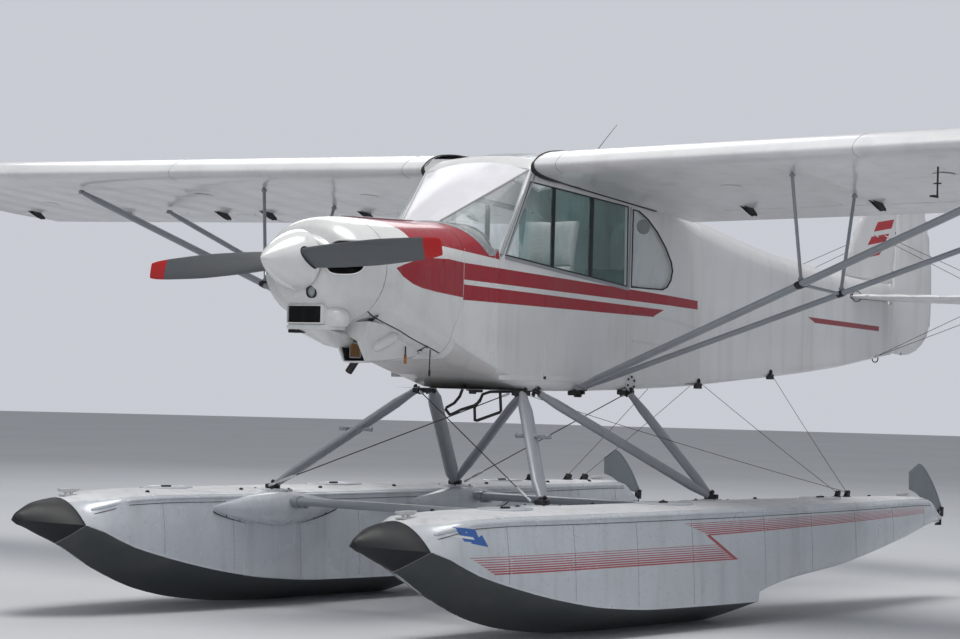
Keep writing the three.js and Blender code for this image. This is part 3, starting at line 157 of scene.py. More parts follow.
def cap_ends(bm: BMesh) -> None:
    """Closes each open end of a tube with one face."""
    open_edges = [e for e in bm.edges if e.is_boundary]
    bmesh.ops.holes_fill(bm, edges=open_edges, sides=0)


def face_out(bm: BMesh) -> None:
    """Merges doubles and turns every face outwards."""
    bmesh.ops.remove_doubles(bm, verts=bm.verts, dist=2e-6)
    bmesh.ops.recalc_face_normals(bm, faces=bm.faces)


def tube(bm: BMesh, path: Sequence[Vector], radius: float | Sequence[float], sides: int = 10,
         closed: bool = False) -> None:
    """Sweeps a round section along a path.

    Args:
        bm: The mesh that it joins.
        path: Points of the centre line.
        radius: Radius of the section, or one for each point.
        sides: Number of sides of the section.
        closed: Whether the last point leads back to the first.
    """
    count = len(path)
    radii = list(radius) if isinstance(radius, Sequence) else [radius] * count
    normal = None
    rings = []
    for k, point in enumerate(path):
        before = path[k - 1] if k or closed else path[k]
        after = path[(k + 1) % count] if k < count - 1 or closed else path[k]
        axis = (after - before).normalized()
        if normal is None:
            helper = Vector((0, 0, 1)) if abs(axis.z) < 0.9 else Vector((0, 1, 0))
            normal = axis.cross(helper).normalized()
        normal = (normal - axis * normal.dot(axis)).normalized()
        other = axis.cross(normal)
        rings.append([point + (normal * math.cos(a) + other * math.sin(a)) * radii[k]
                      for a in steps(0, math.tau, sides)[:-1]])
    loft(bm, [*rings, rings[0]] if closed else rings, cap=not closed)


def rod(bm: BMesh, start: Vector, end: Vector, radius: float, sides: int = 12, taper: float = 1.0) -> None:
    """Puts a round bar between two points, its end radius times taper."""
    span = end - start
    turn = span.to_track_quat("Z", "Y").to_matrix().to_4x4()
    turn.translation = (start + end) / 2
    bmesh.ops.create_cone(bm, cap_ends=True, segments=sides, radius1=radius, radius2=radius * taper,
                          depth=span.length, matrix=turn)


def block(bm: BMesh, low: Point, high: Point, bevel: float = 0.0, segments: int = 2) -> None:
    """Adds a box between two corners, its edges rounded by bevel."""
    size = Vector(high) - Vector(low)
    place = Matrix.Translation((Vector(low) + Vector(high)) / 2) @ Matrix.Diagonal((*size, 1))
    verts = bmesh.ops.create_cube(bm, size=1, matrix=place)["verts"]
    if bevel:
        edges = list({e for v in verts for e in v.link_edges})
        bmesh.ops.bevel(bm, geom=edges, offset=bevel, offset_type="OFFSET", affect="EDGES",
                        segments=segments, profile=0.5, material=-1, clamp_overlap=True)


def plate(bm: BMesh, outline: Sequence[Vector], thickness: Vector) -> None:
    """Pulls a flat outline out along a vector into a closed plate."""
    verts = [bm.verts.new(p) for p in outline]
    face = bm.faces.new(verts)
    pulled = bmesh.ops.extrude_face_region(bm, geom=[face], use_keep_orig=True)
    moved = [g for g in pulled["geom"] if isinstance(g, bmesh.types.BMVert)]
    bmesh.ops.translate(bm, verts=moved, vec=thickness)
    bmesh.ops.recalc_face_normals(bm, faces=list({f for v in [*verts, *moved] for f in v.link_faces}))


def dome(bm: BMesh, centre: Vector, out: Vector, radius: float, height: float, sides: int = 8) -> None:
    """Adds a low round head, such as a rivet or screw, facing along out."""
    turn = out.to_track_quat("Z", "Y").to_matrix().to_4x4()
    turn.translation = centre
    rings = [(1.0, 0.0), (0.8, 0.7), (0.35, 1.0)]
    around = [(math.cos(a), math.sin(a)) for a in steps(0, math.tau, sides)[:-1]]
    loft(bm, [[turn @ Vector((c * radius * share, s * radius * share, height * up)) for c, s in around]
              for share, up in rings])


def spun(bm: BMesh, profile: Sequence[Pair], centre: Vector, axis: Vector, sides: int = 48) -> None:
    """Turns a profile of radius and distance about an axis into a closed body."""
    turn = axis.to_track_quat("Z", "Y").to_matrix().to_4x4()
    turn.translation = centre
    verts = [bm.verts.new(turn @ Vector((r, 0, d))) for r, d in profile]
    edges = [bm.edges.new(pair) for pair in zip(verts, verts[1:])]
    bmesh.ops.spin(bm, geom=[*verts, *edges], cent=centre, axis=axis.normalized(),
                   angle=math.tau, steps=sides, use_merge=True)
    bmesh.ops.remove_doubles(bm, verts=bm.verts, dist=1e-6)
    bmesh.ops.recalc_face_normals(bm, faces=bm.faces)


def mirrored(source: BMesh) -> BMesh:
    """Returns a copy of a mesh on the other side of the centre plane."""
    twin = source.copy()
    bmesh.ops.transform(twin, matrix=MIRROR, verts=twin.verts)
    bmesh.ops.reverse_faces(twin, faces=twin.faces)
    return twin


def absorb(bm: BMesh, other: BMesh) -> None:
    """Moves all of another mesh into a mesh and frees the other."""
    carrier = bpy.data.meshes.new("carrier")
    other.to_mesh(carrier)
    other.free()
    bm.from_mesh(carrier)
    bpy.data.meshes.remove(carrier)


def solid_copy(node: str, bevel: float = 0.0, over: float = 30.0, segments: int = 2) -> BMesh:
    """Copies a CAD node, merges its triangles and rounds its edges.

    Args:
        node: Name of the CAD node.
        bevel: Width of the rounding, or 0 to leave the edges sharp.
        over: Angle in degrees over which an edge is rounded.
        segments: Number of faces across each rounding.
    """
    bm = bmesh.new()
    bm.from_mesh(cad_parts[node].data)
    bmesh.ops.remove_doubles(bm, verts=bm.verts, dist=1e-5)
    bmesh.ops.dissolve_limit(bm, angle_limit=math.radians(0.6), verts=bm.verts, edges=bm.edges)
    if bevel:
        edges = [e for e in bm.edges if len(e.link_faces) == 2 and e.calc_face_angle() > math.radians(over)]
        bmesh.ops.bevel(bm, geom=edges, offset=bevel, offset_type="OFFSET", affect="EDGES",
                        segments=segments, profile=0.5, material=-1, clamp_overlap=True)
    return bm


def carved(bm: BMesh, cutters: BMesh) -> BMesh:
    """Returns a mesh with the cutters' volume taken out of it."""
    made = []
    for label, source in (("blank", bm), ("cutter", cutters)):
        mesh = bpy.data.meshes.new(label)
        source.to_mesh(mesh)
        source.free()
        obj = bpy.data.objects.new(label, mesh)
        bpy.context.scene.collection.objects.link(obj)
        made.append(obj)
    blank, cutter = made
    boolean = blank.modifiers.new("cut", "BOOLEAN")
    boolean.operation = "DIFFERENCE"
    boolean.solver = "EXACT"
    boolean.use_self = True
    boolean.object = cutter
    bpy.context.view_layer.update()
    evaluated = blank.evaluated_get(bpy.context.evaluated_depsgraph_get())
    result = bmesh.new()
    result.from_mesh(evaluated.to_mesh())
    evaluated.to_mesh_clear()
    for obj in made:
        mesh = obj.data
        bpy.data.objects.remove(obj)
        bpy.data.meshes.remove(mesh)
    return result


# Finishes


class Plane(Enum):
    """The two coordinates that a painted outline is drawn in; X counts from the centre line."""

    SIDE = ("Y", "Z")
    PLAN = ("X", "Y")
    FRONT = ("X", "Z")


@dataclass(frozen=True)
class Mark:
    """A painted area: the common part of convex outlines, each drawn anticlockwise in its plane."""

    colour: Colour
    outlines: tuple[tuple[Plane, tuple[Pair, ...]], ...]
    centre: float = 0.0


CRIMSON = (0.37, 0.004, 0.018)
DEEP_CRIMSON = (0.30, 0.008, 0.020)
BRIGHT_RED = (0.62, 0.008, 0.012)


class Nodes:
    """Places nodes in a tree and links them."""

    def __init__(self, tree: NodeTree) -> None:
        """Starts with the tree that the nodes go into."""
        self.tree = tree

    def add(self, kind: str, **values: object) -> Node:
        """Adds a node and sets its properties."""
        node = self.tree.nodes.new(kind)
        for key, value in values.items():
            setattr(node, key, value)
        return node

    def feed(self, socket: NodeSocket, value: object) -> None:
        """Gives a socket a link or a plain value."""
        if isinstance(value, NodeSocket):
            self.tree.links.new(value, socket)
        else:
            socket.default_value = value

    def maths(self, operation: str, *values: object) -> NodeSocket:
        """Adds a Math node and returns its result."""
        node = self.add("ShaderNodeMath", operation=operation)
        for socket, value in zip(node.inputs, values):
            self.feed(socket, value)
        return node.outputs[0]

    def remap(self, value: object, low: float, high: float, to_low: object = 0.0,
              to_high: object = 1.0) -> NodeSocket:
        """Maps a value from one range to another, clamped."""
        node = self.add("ShaderNodeMapRange", clamp=True)
        for key, item in (("Value", value), ("From Min", low), ("From Max", high), ("To Min", to_low),
                          ("To Max", to_high)):
            self.feed(node.inputs[key], item)
        return node.outputs["Result"]

    def mix(self, share: object, a: object, b: object) -> NodeSocket:
        """Mixes two colours by a share."""
        node = self.add("ShaderNodeMix", data_type="RGBA")
        self.feed(node.inputs[0], share)
        for socket, colour in ((node.inputs[6], a), (node.inputs[7], b)):
            self.feed(socket, colour if isinstance(colour, NodeSocket) else (*colour, 1.0))
        return node.outputs[2]

    def place(self) -> NodeSocket:
        """Returns the object's own coordinates."""
        return self.add("ShaderNodeTexCoord").outputs["Object"]

    def stretched(self, scale: Point, shift: Point = (0, 0, 0)) -> NodeSocket:
        """Returns the object's coordinates stretched by a scale along each axis."""
        node = self.add("ShaderNodeMapping")
        self.feed(node.inputs["Vector"], self.place())
        node.inputs["Scale"].default_value = scale
        node.inputs["Location"].default_value = shift
        return node.outputs["Vector"]

    def noise(self, vector: object, scale: object, detail: float = 3.0) -> NodeSocket:
        """Adds a noise texture and returns its value."""
        node = self.add("ShaderNodeTexNoise")
        node.inputs["Detail"].default_value = detail
        self.feed(node.inputs["Vector"], vector)
        self.feed(node.inputs["Scale"], scale)
        return node.outputs["Fac"]

    def parts(self, vector: NodeSocket) -> dict[str, NodeSocket]:
        """Returns the X, Y and Z of a vector."""
        node = self.add("ShaderNodeSeparateXYZ")
        self.feed(node.inputs[0], vector)
        return {key: node.outputs[key] for key in "XYZ"}


class Effect(Enum):
    """The surface effects that finishes share."""

    GRIME = "grime"
    GRAIN = "grain"
    RIBS = "ribs"
    WEAVE = "weave"
    SCUFFS = "scuffs"


def effect_group(effect: Effect) -> NodeTree:
    """Returns the node group of an effect, built on first use.

    Args:
        effect: Which effect the group makes.

    Returns:
        A shader node group whose output is one value.
    """
    if effect.value in bpy.data.node_groups:
        return bpy.data.node_groups[effect.value]
    tree = bpy.data.node_groups.new(effect.value, "ShaderNodeTree")
    inputs = {
        Effect.GRIME: (("Amount", 0.2), ("Scale", 1.0)),
        Effect.GRAIN: (("Scale", 60.0),),
        Effect.RIBS: (("Spacing", 0.3), ("Start", 0.0), ("Width", 0.05)),
        Effect.WEAVE: (("Scale", 400.0),),
        Effect.SCUFFS: (("Amount", 0.2), ("Scale", 5.0)),
    }[effect]
    for label, value in inputs:
        socket = tree.interface.new_socket(label, in_out="INPUT", socket_type="NodeSocketFloat")
        socket.default_value = value
    tree.interface.new_socket("Value", in_out="OUTPUT", socket_type="NodeSocketFloat")
    kit = Nodes(tree)
    given = kit.add("NodeGroupInput").outputs
    out = kit.add("NodeGroupOutput").inputs["Value"]
    kit.feed(out, EFFECTS[effect](kit, given))
    return tree


def grime_value(kit: Nodes, given: object) -> NodeSocket:
    """Soft dirt: broad clouds and thin streaks that run down."""
    clouds = kit.noise(kit.place(), kit.maths("MULTIPLY", given["Scale"], 2.2), 5.0)
    streaks = kit.noise(kit.stretched((9.0, 9.0, 0.9)), kit.maths("MULTIPLY", given["Scale"], 1.6), 4.0)
    both = kit.maths("ADD", kit.remap(clouds, 0.42, 0.75), kit.remap(streaks, 0.5, 0.78))
    return kit.maths("MULTIPLY", both, given["Amount"])


def grain_value(kit: Nodes, given: object) -> NodeSocket:
    """Fine uneven surface of paint or casting."""
    fine = kit.noise(kit.place(), given["Scale"], 4.0)
    broad = kit.noise(kit.place(), kit.maths("MULTIPLY", given["Scale"], 0.11), 2.0)
    return kit.maths("ADD", kit.maths("MULTIPLY", fine, 0.35), broad)


def ribs_value(kit: Nodes, given: object) -> NodeSocket:
    """Raised tapes over ribs that stand across X, 1 on a tape and 0 between two."""
    along = kit.maths("ABSOLUTE", kit.parts(kit.place())["X"])
    turn = kit.maths("DIVIDE", kit.maths("SUBTRACT", along, given["Start"]), given["Spacing"])
    apart = kit.maths("ABSOLUTE", kit.maths("SUBTRACT", kit.maths("FRACT", kit.maths("ADD", turn, 0.5)), 0.5))
    reach = kit.maths("MULTIPLY", apart, given["Spacing"])
    edge = kit.maths("MULTIPLY", given["Width"], 0.5)
    return kit.remap(kit.maths("SUBTRACT", reach, edge), 0.002, -0.002)


def weave_value(kit: Nodes, given: object) -> NodeSocket:
    """Over and under threads."""
    across = kit.parts(kit.place())
    threads = [kit.maths("SINE", kit.maths("MULTIPLY", across[key], given["Scale"])) for key in "XYZ"]
    flat = kit.maths("ADD", threads[0], threads[1])
    return kit.maths("ADD", flat, kit.maths("MULTIPLY", threads[2], 0.8))


def scuffs_value(kit: Nodes, given: object) -> NodeSocket:
    """Thin rubbed marks."""
    lines = kit.noise(kit.stretched((1.0, 6.0, 14.0)), given["Scale"], 6.0)
    return kit.maths("MULTIPLY", kit.remap(lines, 0.60, 0.66), given["Amount"])


EFFECTS = {
    Effect.GRIME: grime_value,
    Effect.GRAIN: grain_value,
    Effect.RIBS: ribs_value,
    Effect.WEAVE: weave_value,
    Effect.SCUFFS: scuffs_value,
}


@dataclass(frozen=True)
class Finish:
    """Paint, metal, rubber or cloth with its wear and its painted marks."""

    name: str
    colour: Colour
    roughness: float = 0.4
    metallic: float = 0.0
    coat: float = 0.0
    dirt: float = 0.12
    dirt_colour: Colour = (0.19, 0.17, 0.14)
    dirt_scale: float = 1.0
    grain: float = 0.02
    grain_scale: float = 60.0
    scuffs: float = 0.0
    ribs: tuple[float, float, float] | None = None
    weave: float = 0.0
    marks: tuple[Mark, ...] = ()

    def effect(self, kit: Nodes, effect: Effect, **values: float) -> NodeSocket:
        """Places an effect's group with its values and returns its result."""
        node = kit.add("ShaderNodeGroup", node_tree=effect_group(effect))
        for key, value in values.items():
            node.inputs[key].default_value = value
        return node.outputs[0]

    def mask(self, kit: Nodes, mark: Mark) -> NodeSocket:
        """Returns 1 inside a mark and 0 outside it."""
        where = kit.parts(kit.place())
        if mark.centre:
            where["X"] = kit.maths("SUBTRACT", kit.maths("ABSOLUTE", where["X"]), mark.centre)
        else:
            where["X"] = kit.maths("ABSOLUTE", where["X"])
        inside = None
        for plane, outline in mark.outlines:
            first, second = plane.value
            for (a, b), (c, d) in zip(outline, (*outline[1:], outline[0])):
                length = math.hypot(c - a, d - b)
                nu, nv = (b - d) / length, (c - a) / length
                side = kit.maths("MULTIPLY_ADD", where[first], nu, -(nu * a + nv * b))
                side = kit.maths("MULTIPLY_ADD", where[second], nv, side)
                inside = side if inside is None else kit.maths("MINIMUM", inside, side)
        return kit.remap(inside, -0.0008, 0.0008)

    def material(self) -> Material:
        """Returns the finish's material, built on first use."""
        if self.name in bpy.data.materials:
            return bpy.data.materials[self.name]
        made = bpy.data.materials.new(self.name)
        made.use_nodes = True
        kit = Nodes(made.node_tree)
        shader = made.node_tree.nodes["Principled BSDF"]
        colour = self.colour
        for mark in self.marks:
            colour = kit.mix(self.mask(kit, mark), colour, mark.colour)
        dirt = self.effect(kit, Effect.GRIME, Amount=self.dirt, Scale=self.dirt_scale)
        colour = kit.mix(dirt, colour, self.dirt_colour)
        if self.scuffs:
            rubbed = self.effect(kit, Effect.SCUFFS, Amount=self.scuffs)
            colour = kit.mix(rubbed, colour, (0.05, 0.05, 0.05))
        kit.feed(shader.inputs["Base Color"], colour)
        kit.feed(shader.inputs["Roughness"],
                 kit.remap(dirt, 0.0, 0.4, self.roughness, min(1.0, self.roughness + 0.25)))
        shader.inputs["Metallic"].default_value = self.metallic
        shader.inputs["Coat Weight"].default_value = self.coat
        shader.inputs["Coat Roughness"].default_value = 0.08
        bump = kit.add("ShaderNodeBump")
        bump.inputs["Strength"].default_value = 1.0
        bump.inputs["Distance"].default_value = 0.001
        height = kit.maths("MULTIPLY", self.effect(kit, Effect.GRAIN, Scale=self.grain_scale), self.grain)
        if self.ribs:
            spacing, start, width = self.ribs
            tape = self.effect(kit, Effect.RIBS, Spacing=spacing, Start=start, Width=width)
            height = kit.maths("MULTIPLY_ADD", tape, 0.8, height)
        if self.weave:
            height = kit.maths("MULTIPLY_ADD", self.effect(kit, Effect.WEAVE, Scale=self.weave), 0.25, height)
        kit.feed(bump.inputs["Height"], height)
        kit.feed(shader.inputs["Normal"], bump.outputs["Normal"])
        return made


@dataclass(frozen=True)
class Glazing:
    """Clear or tinted sheet, or one painted milky white as a reflection."""

    name: str
    colour: Colour
    roughness: float = 0.03
    cover: float = 0.3
    haze: float = 0.1

    def material(self) -> Material:
        """Returns the sheet's material, built on first use."""
        if self.name in bpy.data.materials:
            return bpy.data.materials[self.name]
        made = bpy.data.materials.new(self.name)
        made.use_nodes = True
        kit = Nodes(made.node_tree)
        shader = made.node_tree.nodes["Principled BSDF"]
        smear = kit.remap(kit.noise(kit.stretched((3.0, 3.0, 1.2)), 2.4, 5.0), 0.45, 0.8)
        shader.inputs["Base Color"].default_value = (*self.colour, 1.0)
        kit.feed(shader.inputs["Roughness"], kit.remap(smear, 0.0, 1.0, self.roughness, self.roughness + 0.05))
        kit.feed(shader.inputs["Alpha"], kit.maths("MULTIPLY_ADD", smear, self.haze, self.cover))
        return made


# What every sub-assembly uses


class Body(Enum):
    """The bodies of the frame that pieces ride on."""

    AIRFRAME = "airframe"
    PROPELLER = "propeller"
    FLAP = "flap"
    AILERON = "aileron"
    ELEVATOR = "elevator"
    RUDDER = "rudder"
    DOOR_LOWER = "door_lower"
    DOOR_UPPER = "door_upper"
    COWL_DOOR = "cowl_door"
    RUDDER_POST = "water_rudder_post"
    RUDDER_BLADE = "water_rudder_blade"


class Slot(Enum):
    """The record's material slots."""

    COWL = "cowl_paint"
    ENGINE = "engine_casting"
    BLADE = "blade_paint"
    PANEL = "panel_black"
    FABRIC = "fabric_paint"
    DOOR = "door_frame_paint"
    WINDOW = "window"
    SEAT = "seat_cloth"
    STRUT = "strut_paint"
    WATER_RUDDER = "rudder_blade_paint"
    FLOAT = "float_paint"
    BUMPER = "bumper_rubber"
    WIRE = "wire_steel"


SMOOTH_OVER = 34.0

BLACK_RUBBER = Finish("black_rubber", (0.012, 0.012, 0.014), roughness=0.55, dirt=0.10, grain=0.05, grain_scale=300.0,
                      dirt_colour=(0.20, 0.20, 0.20))
DARK_METAL = Finish("dark_metal", (0.035, 0.036, 0.04), roughness=0.45, metallic=0.6, dirt=0.15, grain=0.03,
                    grain_scale=200.0)
BRIGHT_METAL = Finish("bright_metal", (0.62, 0.63, 0.65), roughness=0.28, metallic=1.0, dirt=0.15, grain=0.03,
                      grain_scale=150.0)
# Painted shade: a near-black for the insides of the inlets, the intake and the scoop, standing for the shade in them.
INNER_SHADE_BLACK = Finish("painted_inner_shade", (0.010, 0.010, 0.011), roughness=0.8, dirt=0.1, grain=0.2, grain_scale=90.0)
STRUT_GREY = Finish("strut_grey", (0.30, 0.32, 0.35), roughness=0.36, metallic=0.15, coat=0.25, dirt=0.14, grain=0.06,
                    grain_scale=40.0)
FRAME_GREY = Finish("frame_grey", (0.36, 0.38, 0.40), roughness=0.4, metallic=0.3, dirt=0.12, grain=0.05,
                    grain_scale=50.0)


def body_name(body: Body, side: str = "") -> str:
    """Returns the frame's name for a body, with its side where it is one of a pair."""
    return f"{body.value}_{side}" if side else body.value


def dress(obj: Object, finish: Finish | Glazing) -> None:
    """Gives every slot of a carried-over piece one finish."""
    obj.data.materials.clear()
    obj.data.materials.append(finish.material())


def add_piece(name: str, bm: BMesh, finish: Finish | Glazing | Sequence, body: str, slot: Slot,
              replaces: Sequence[str] = (), smooth: float = SMOOTH_OVER, turn: bool = True) -> Object:
    """Makes a finished piece from a mesh.

    Args:
        name: Name of the piece.
        bm: Its mesh, which is freed.
        finish: Its finish, or a list that the faces' material indices choose from.
        body: Name of the body that it rides on.
        slot: Not used.
        replaces: CAD nodes that it stands for.
        smooth: Angle in degrees over which an edge stays sharp.
        turn: Whether doubles are merged and faces turned outwards first.

    Returns:
        The new object.
    """
    if turn:
        face_out(bm)
    mesh = bpy.data.meshes.new(name)
    bm.to_mesh(mesh)
    bm.free()
    mesh.shade_smooth()
    mesh.set_sharp_from_angle(angle=math.radians(smooth))
    for item in finish if isinstance(finish, (list, tuple)) else [finish]:
        mesh.materials.append(item.material())
    obj = bpy.data.objects.new(name, mesh)
    bpy.context.scene.collection.objects.link(obj)
    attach(obj, body)
    if replaces:
        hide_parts(*replaces)
    LOG.info("%s: %d faces on %s", name, len(mesh.polygons), body)
    return obj


def add_pair(name: str, bm: BMesh, finish: Finish | Glazing | Sequence, body: Body, slot: Slot,
             replaces: Sequence[str] = (), sided: bool = False, smooth: float = SMOOTH_OVER) -> None:
    """Makes the port piece from a mesh and its mirror image to starboard.

    Args:
        name: Name of the piece without its side.
        bm: The port piece's mesh, which is freed.
        finish: Finish of both.
        body: Body that they ride on.
        slot: Handed to add_piece, which does not use it.
        replaces: CAD nodes that they stand for, without their side.
        sided: Whether the body is one of a pair too.
        smooth: Angle in degrees over which an edge stays sharp.
    """
    face_out(bm)
    twin = mirrored(bm)
    for (side, _), mesh in zip(SIDES, (bm, twin)):
        add_piece(f"{name}_{side}", mesh, finish, body_name(body, side if sided else ""), slot,
                  [f"{node}_{side}" for node in replaces], smooth, turn=False)


def thickened(bm: BMesh, thickness: float) -> BMesh:
    """Gives an open sheet a wall on the side away from its normals."""
    bmesh.ops.solidify(bm, geom=list(bm.faces), thickness=thickness)
    return bm


def face_from(bm: BMesh, height: float) -> None:
    """Turns the faces of an open sheet away from the line along Y at a height."""
    bm.normal_update()
    lean = 0.0
    for face in bm.faces:
        middle = face.calc_center_median()
        lean += face.normal.dot(Vector((middle.x, 0, middle.z - height)))
    if lean < 0:
        bmesh.ops.reverse_faces(bm, faces=bm.faces)


# The skin of the fuselage


@dataclass(frozen=True)
class Skin:
    """A closed skin along Y whose section has a flat belly, round lower corners, flat sides and an arch."""

    rows: tuple[tuple[float, ...], ...]

    @lru_cache(maxsize=None)
    def section(self, y: float) -> tuple[float, ...]:
        """Returns the measures of the section at y."""
        return tuple(Course(tuple((row[0], row[k]) for row in self.rows)).at(y) for k in range(1, len(self.rows[0])))

    def at(self, y: float, t: float, out: float = 0.0) -> Vector:
        """Returns a point of the port side.

        Args:
            y: Place along the fuselage.
            t: Way round the section, 0 at the belly's middle and 1 at the crown.
            out: Height over the skin.
        """
        half, low, side, top, foot_x, foot_z, square = self.section(y)
        corner = (half - foot_x, low)
        if t < BELLY_END:
            return Vector((corner[0] * t / BELLY_END, y, low - out))
        if t < CORNER_END:
            a = (t - BELLY_END) / (CORNER_END - BELLY_END) * math.pi / 2
            return Vector((corner[0] + (foot_x + out) * math.sin(a), y,
                           low + foot_z - (foot_z + out) * math.cos(a)))
        if t < SIDE_END:
            share = (t - CORNER_END) / (SIDE_END - CORNER_END)
            return Vector((half + out, y, blend_values(low + foot_z, side, share)))
        a = (t - SIDE_END) / (1 - SIDE_END) * math.pi / 2
        power = 2 / square
        return Vector(((half + out) * max(0.0, math.cos(a)) ** power, y,
                       side + (top + out - side) * math.sin(a) ** power))

    def at_height(self, y: float, z: float) -> float:
        """Returns the way round the section where its side is z high."""
        low, high = BELLY_END, 1.0
        for _ in range(26):
            middle = (low + high) / 2
            if self.at(y, middle).z < z:
                low = middle
            else:
                high = middle
        return low

    def at_width(self, y: float, x: float) -> float:
        """Returns the way round the section where its arch is x from the centre."""
        low, high = SIDE_END, 1.0
        for _ in range(26):
            middle = (low + high) / 2
            if self.at(y, middle).x > x:
                low = middle
            else:
                high = middle
        return low

    def top_at(self, x: float, y: float) -> float:
        """Returns the height of the upper skin at a place."""
        return self.at(y, self.at_width(y, abs(x))).z


BELLY_END, CORNER_END, SIDE_END = 0.14, 0.34, 0.52
AXIS_HEIGHT = 1.75

# y, half width, belly z, side top z, crown z, lower corner width and height, squareness of the arch
COWL_SKIN = Skin((
    (-2.850, 0.215, 1.620, 1.835, 1.975, 0.185, 0.200, 2.0),
    (-2.826, 0.282, 1.578, 1.832, 2.020, 0.252, 0.245, 2.0),
    (-2.770, 0.330, 1.548, 1.830, 2.058, 0.300, 0.275, 2.0),
    (-2.690, 0.350, 1.532, 1.828, 2.071, 0.320, 0.290, 2.05),
    (-2.600, 0.358, 1.522, 1.826, 2.076, 0.326, 0.290, 2.1),
    (-2.350, 0.362, 1.440, 1.824, 2.077, 0.220, 0.230, 2.3),
    (-2.000, 0.365, 1.344, 1.824, 2.086, 0.115, 0.115, 2.7),
    (-1.900, 0.367, 1.321, 1.830, 2.093, 0.095, 0.095, 2.8),
    (-1.705, 0.370, 1.278, 1.836, 2.108, 0.055, 0.055, 3.0),
))
# height, y of the seam behind the cowling, which runs forward below the doors
BOOT_SEAM = Course(((1.30, -2.100), (1.40, -2.100), (1.483, -2.090), (1.564, -2.053), (1.65, -2.006), (1.70, -2.0)))
BOWL_SEAM_Y = -2.62
# y, lower edge of the cowl doors
DOOR_LINE = Course(((-2.634, 1.595), (-2.419, 1.509), (-2.301, 1.460), (-2.122, 1.397), (-2.0, 1.350)))


def seam_place(u: float, share: Callable[[float], float], front: float) -> Vector:
    """Returns a cowl point between the bowl seam and the curved boot seam.

    Args:
        u: Share of the way from the front line to the boot seam.
        share: Gives the way round the section for a y.
        front: y of the front line.
    """
    y = blend_values(front, -2.05, u)
    for _ in range(3):
        height = COWL_SKIN.at(y, share(y)).z
        y = blend_values(front, BOOT_SEAM.at(height) - 0.001, u)
    return COWL_SKIN.at(y, share(y))


# Nose, engine and propeller

COWL_WHITE = (0.80, 0.80, 0.79)
THRUST_DOWN = math.radians(0.5)
HUB = Vector((0, -2.955, 1.838))
SHAFT = Vector((0, math.cos(THRUST_DOWN), math.sin(THRUST_DOWN)))

LEAF_POINTS = ((-2.548, 1.813), (-2.496, 1.773), (-2.415, 1.738), (-2.341, 1.720), (-2.216, 1.704),
               (-1.95, 1.680), (-1.95, 1.862), (-2.13, 1.880), (-2.264, 1.878), (-2.409, 1.856), (-2.482, 1.836))
LEAF = Mark(CRIMSON,
            ((Plane.SIDE, LEAF_POINTS), (Plane.SIDE, ((-2.7, 1.5), (-2.004, 1.5), (-2.004, 2.0), (-2.7, 2.0)))))
UPPER_STRIPE = Mark(CRIMSON, ((Plane.SIDE, ((-2.003, 1.779), (0.259, 1.703), (0.256, 1.754), (-2.003, 1.867))),))
LOWER_STRIPE = Mark(CRIMSON, ((Plane.SIDE, ((-2.003, 1.673), (-0.255, 1.643), (-0.14, 1.687), (-2.003, 1.754))),))
STRIPES = (UPPER_STRIPE, LOWER_STRIPE)
ABOVE_LINE = ((-2.62, 1.995), (-2.139, 1.943), (-1.661, 1.893), (-1.4, 1.87), (-1.4, 2.4), (-2.62, 2.4))
TOP_REDS = tuple(Mark(CRIMSON, ((Plane.SIDE, ABOVE_LINE), (Plane.PLAN, front))) for front in (
    ((0.0, -2.600), (0.25, -2.405), (0.25, -1.6), (0.0, -1.6)),
    ((0.18, -2.425), (0.40, -2.365), (0.40, -1.6), (0.18, -1.6)),
))

COWL_PAINT = Finish("cowl_white", COWL_WHITE, roughness=0.22, coat=0.6, dirt=0.13, grain=0.05, grain_scale=14.0,
                    marks=(*TOP_REDS, LEAF))
BOWL_PAINT = Finish("bowl_white", COWL_WHITE, roughness=0.22, coat=0.6, dirt=0.12, grain=0.05, grain_scale=14.0,
                    marks=TOP_REDS[:1])
BOOT_PAINT = Finish("boot_white", COWL_WHITE, roughness=0.25, coat=0.5, dirt=0.14, grain=0.05, grain_scale=14.0,
                    marks=(*TOP_REDS, *STRIPES))
SPINNER_PAINT = Finish("spinner_white", (0.84, 0.84, 0.83), roughness=0.15, coat=0.8, dirt=0.06, grain=0.02,
                       grain_scale=12.0)
BLADE_PAINT = Finish("blade_grey", (0.13, 0.14, 0.15), roughness=0.5, metallic=0.2, dirt=0.12, grain=0.05,
                     grain_scale=120.0, scuffs=0.15,
                     marks=(Mark(BRIGHT_RED,
                                 ((Plane.FRONT, ((0.867, 1.5), (1.2, 1.5), (1.2, 2.3), (0.867, 2.3))),)),))
CASTING = Finish("engine_grey", (0.17, 0.175, 0.18), roughness=0.6, metallic=0.5, dirt=0.3, grain=0.4,
                 grain_scale=130.0)
BRONZE = Finish("bronze_mesh", (0.36, 0.20, 0.08), roughness=0.5, metallic=0.8, dirt=0.2)
LAMP_GLASS = Glazing("lamp_glass", (0.80, 0.84, 0.84), cover=0.35)
RUST_ORANGE = Finish("orange_tag", (0.50, 0.16, 0.03), roughness=0.6, dirt=0.3)


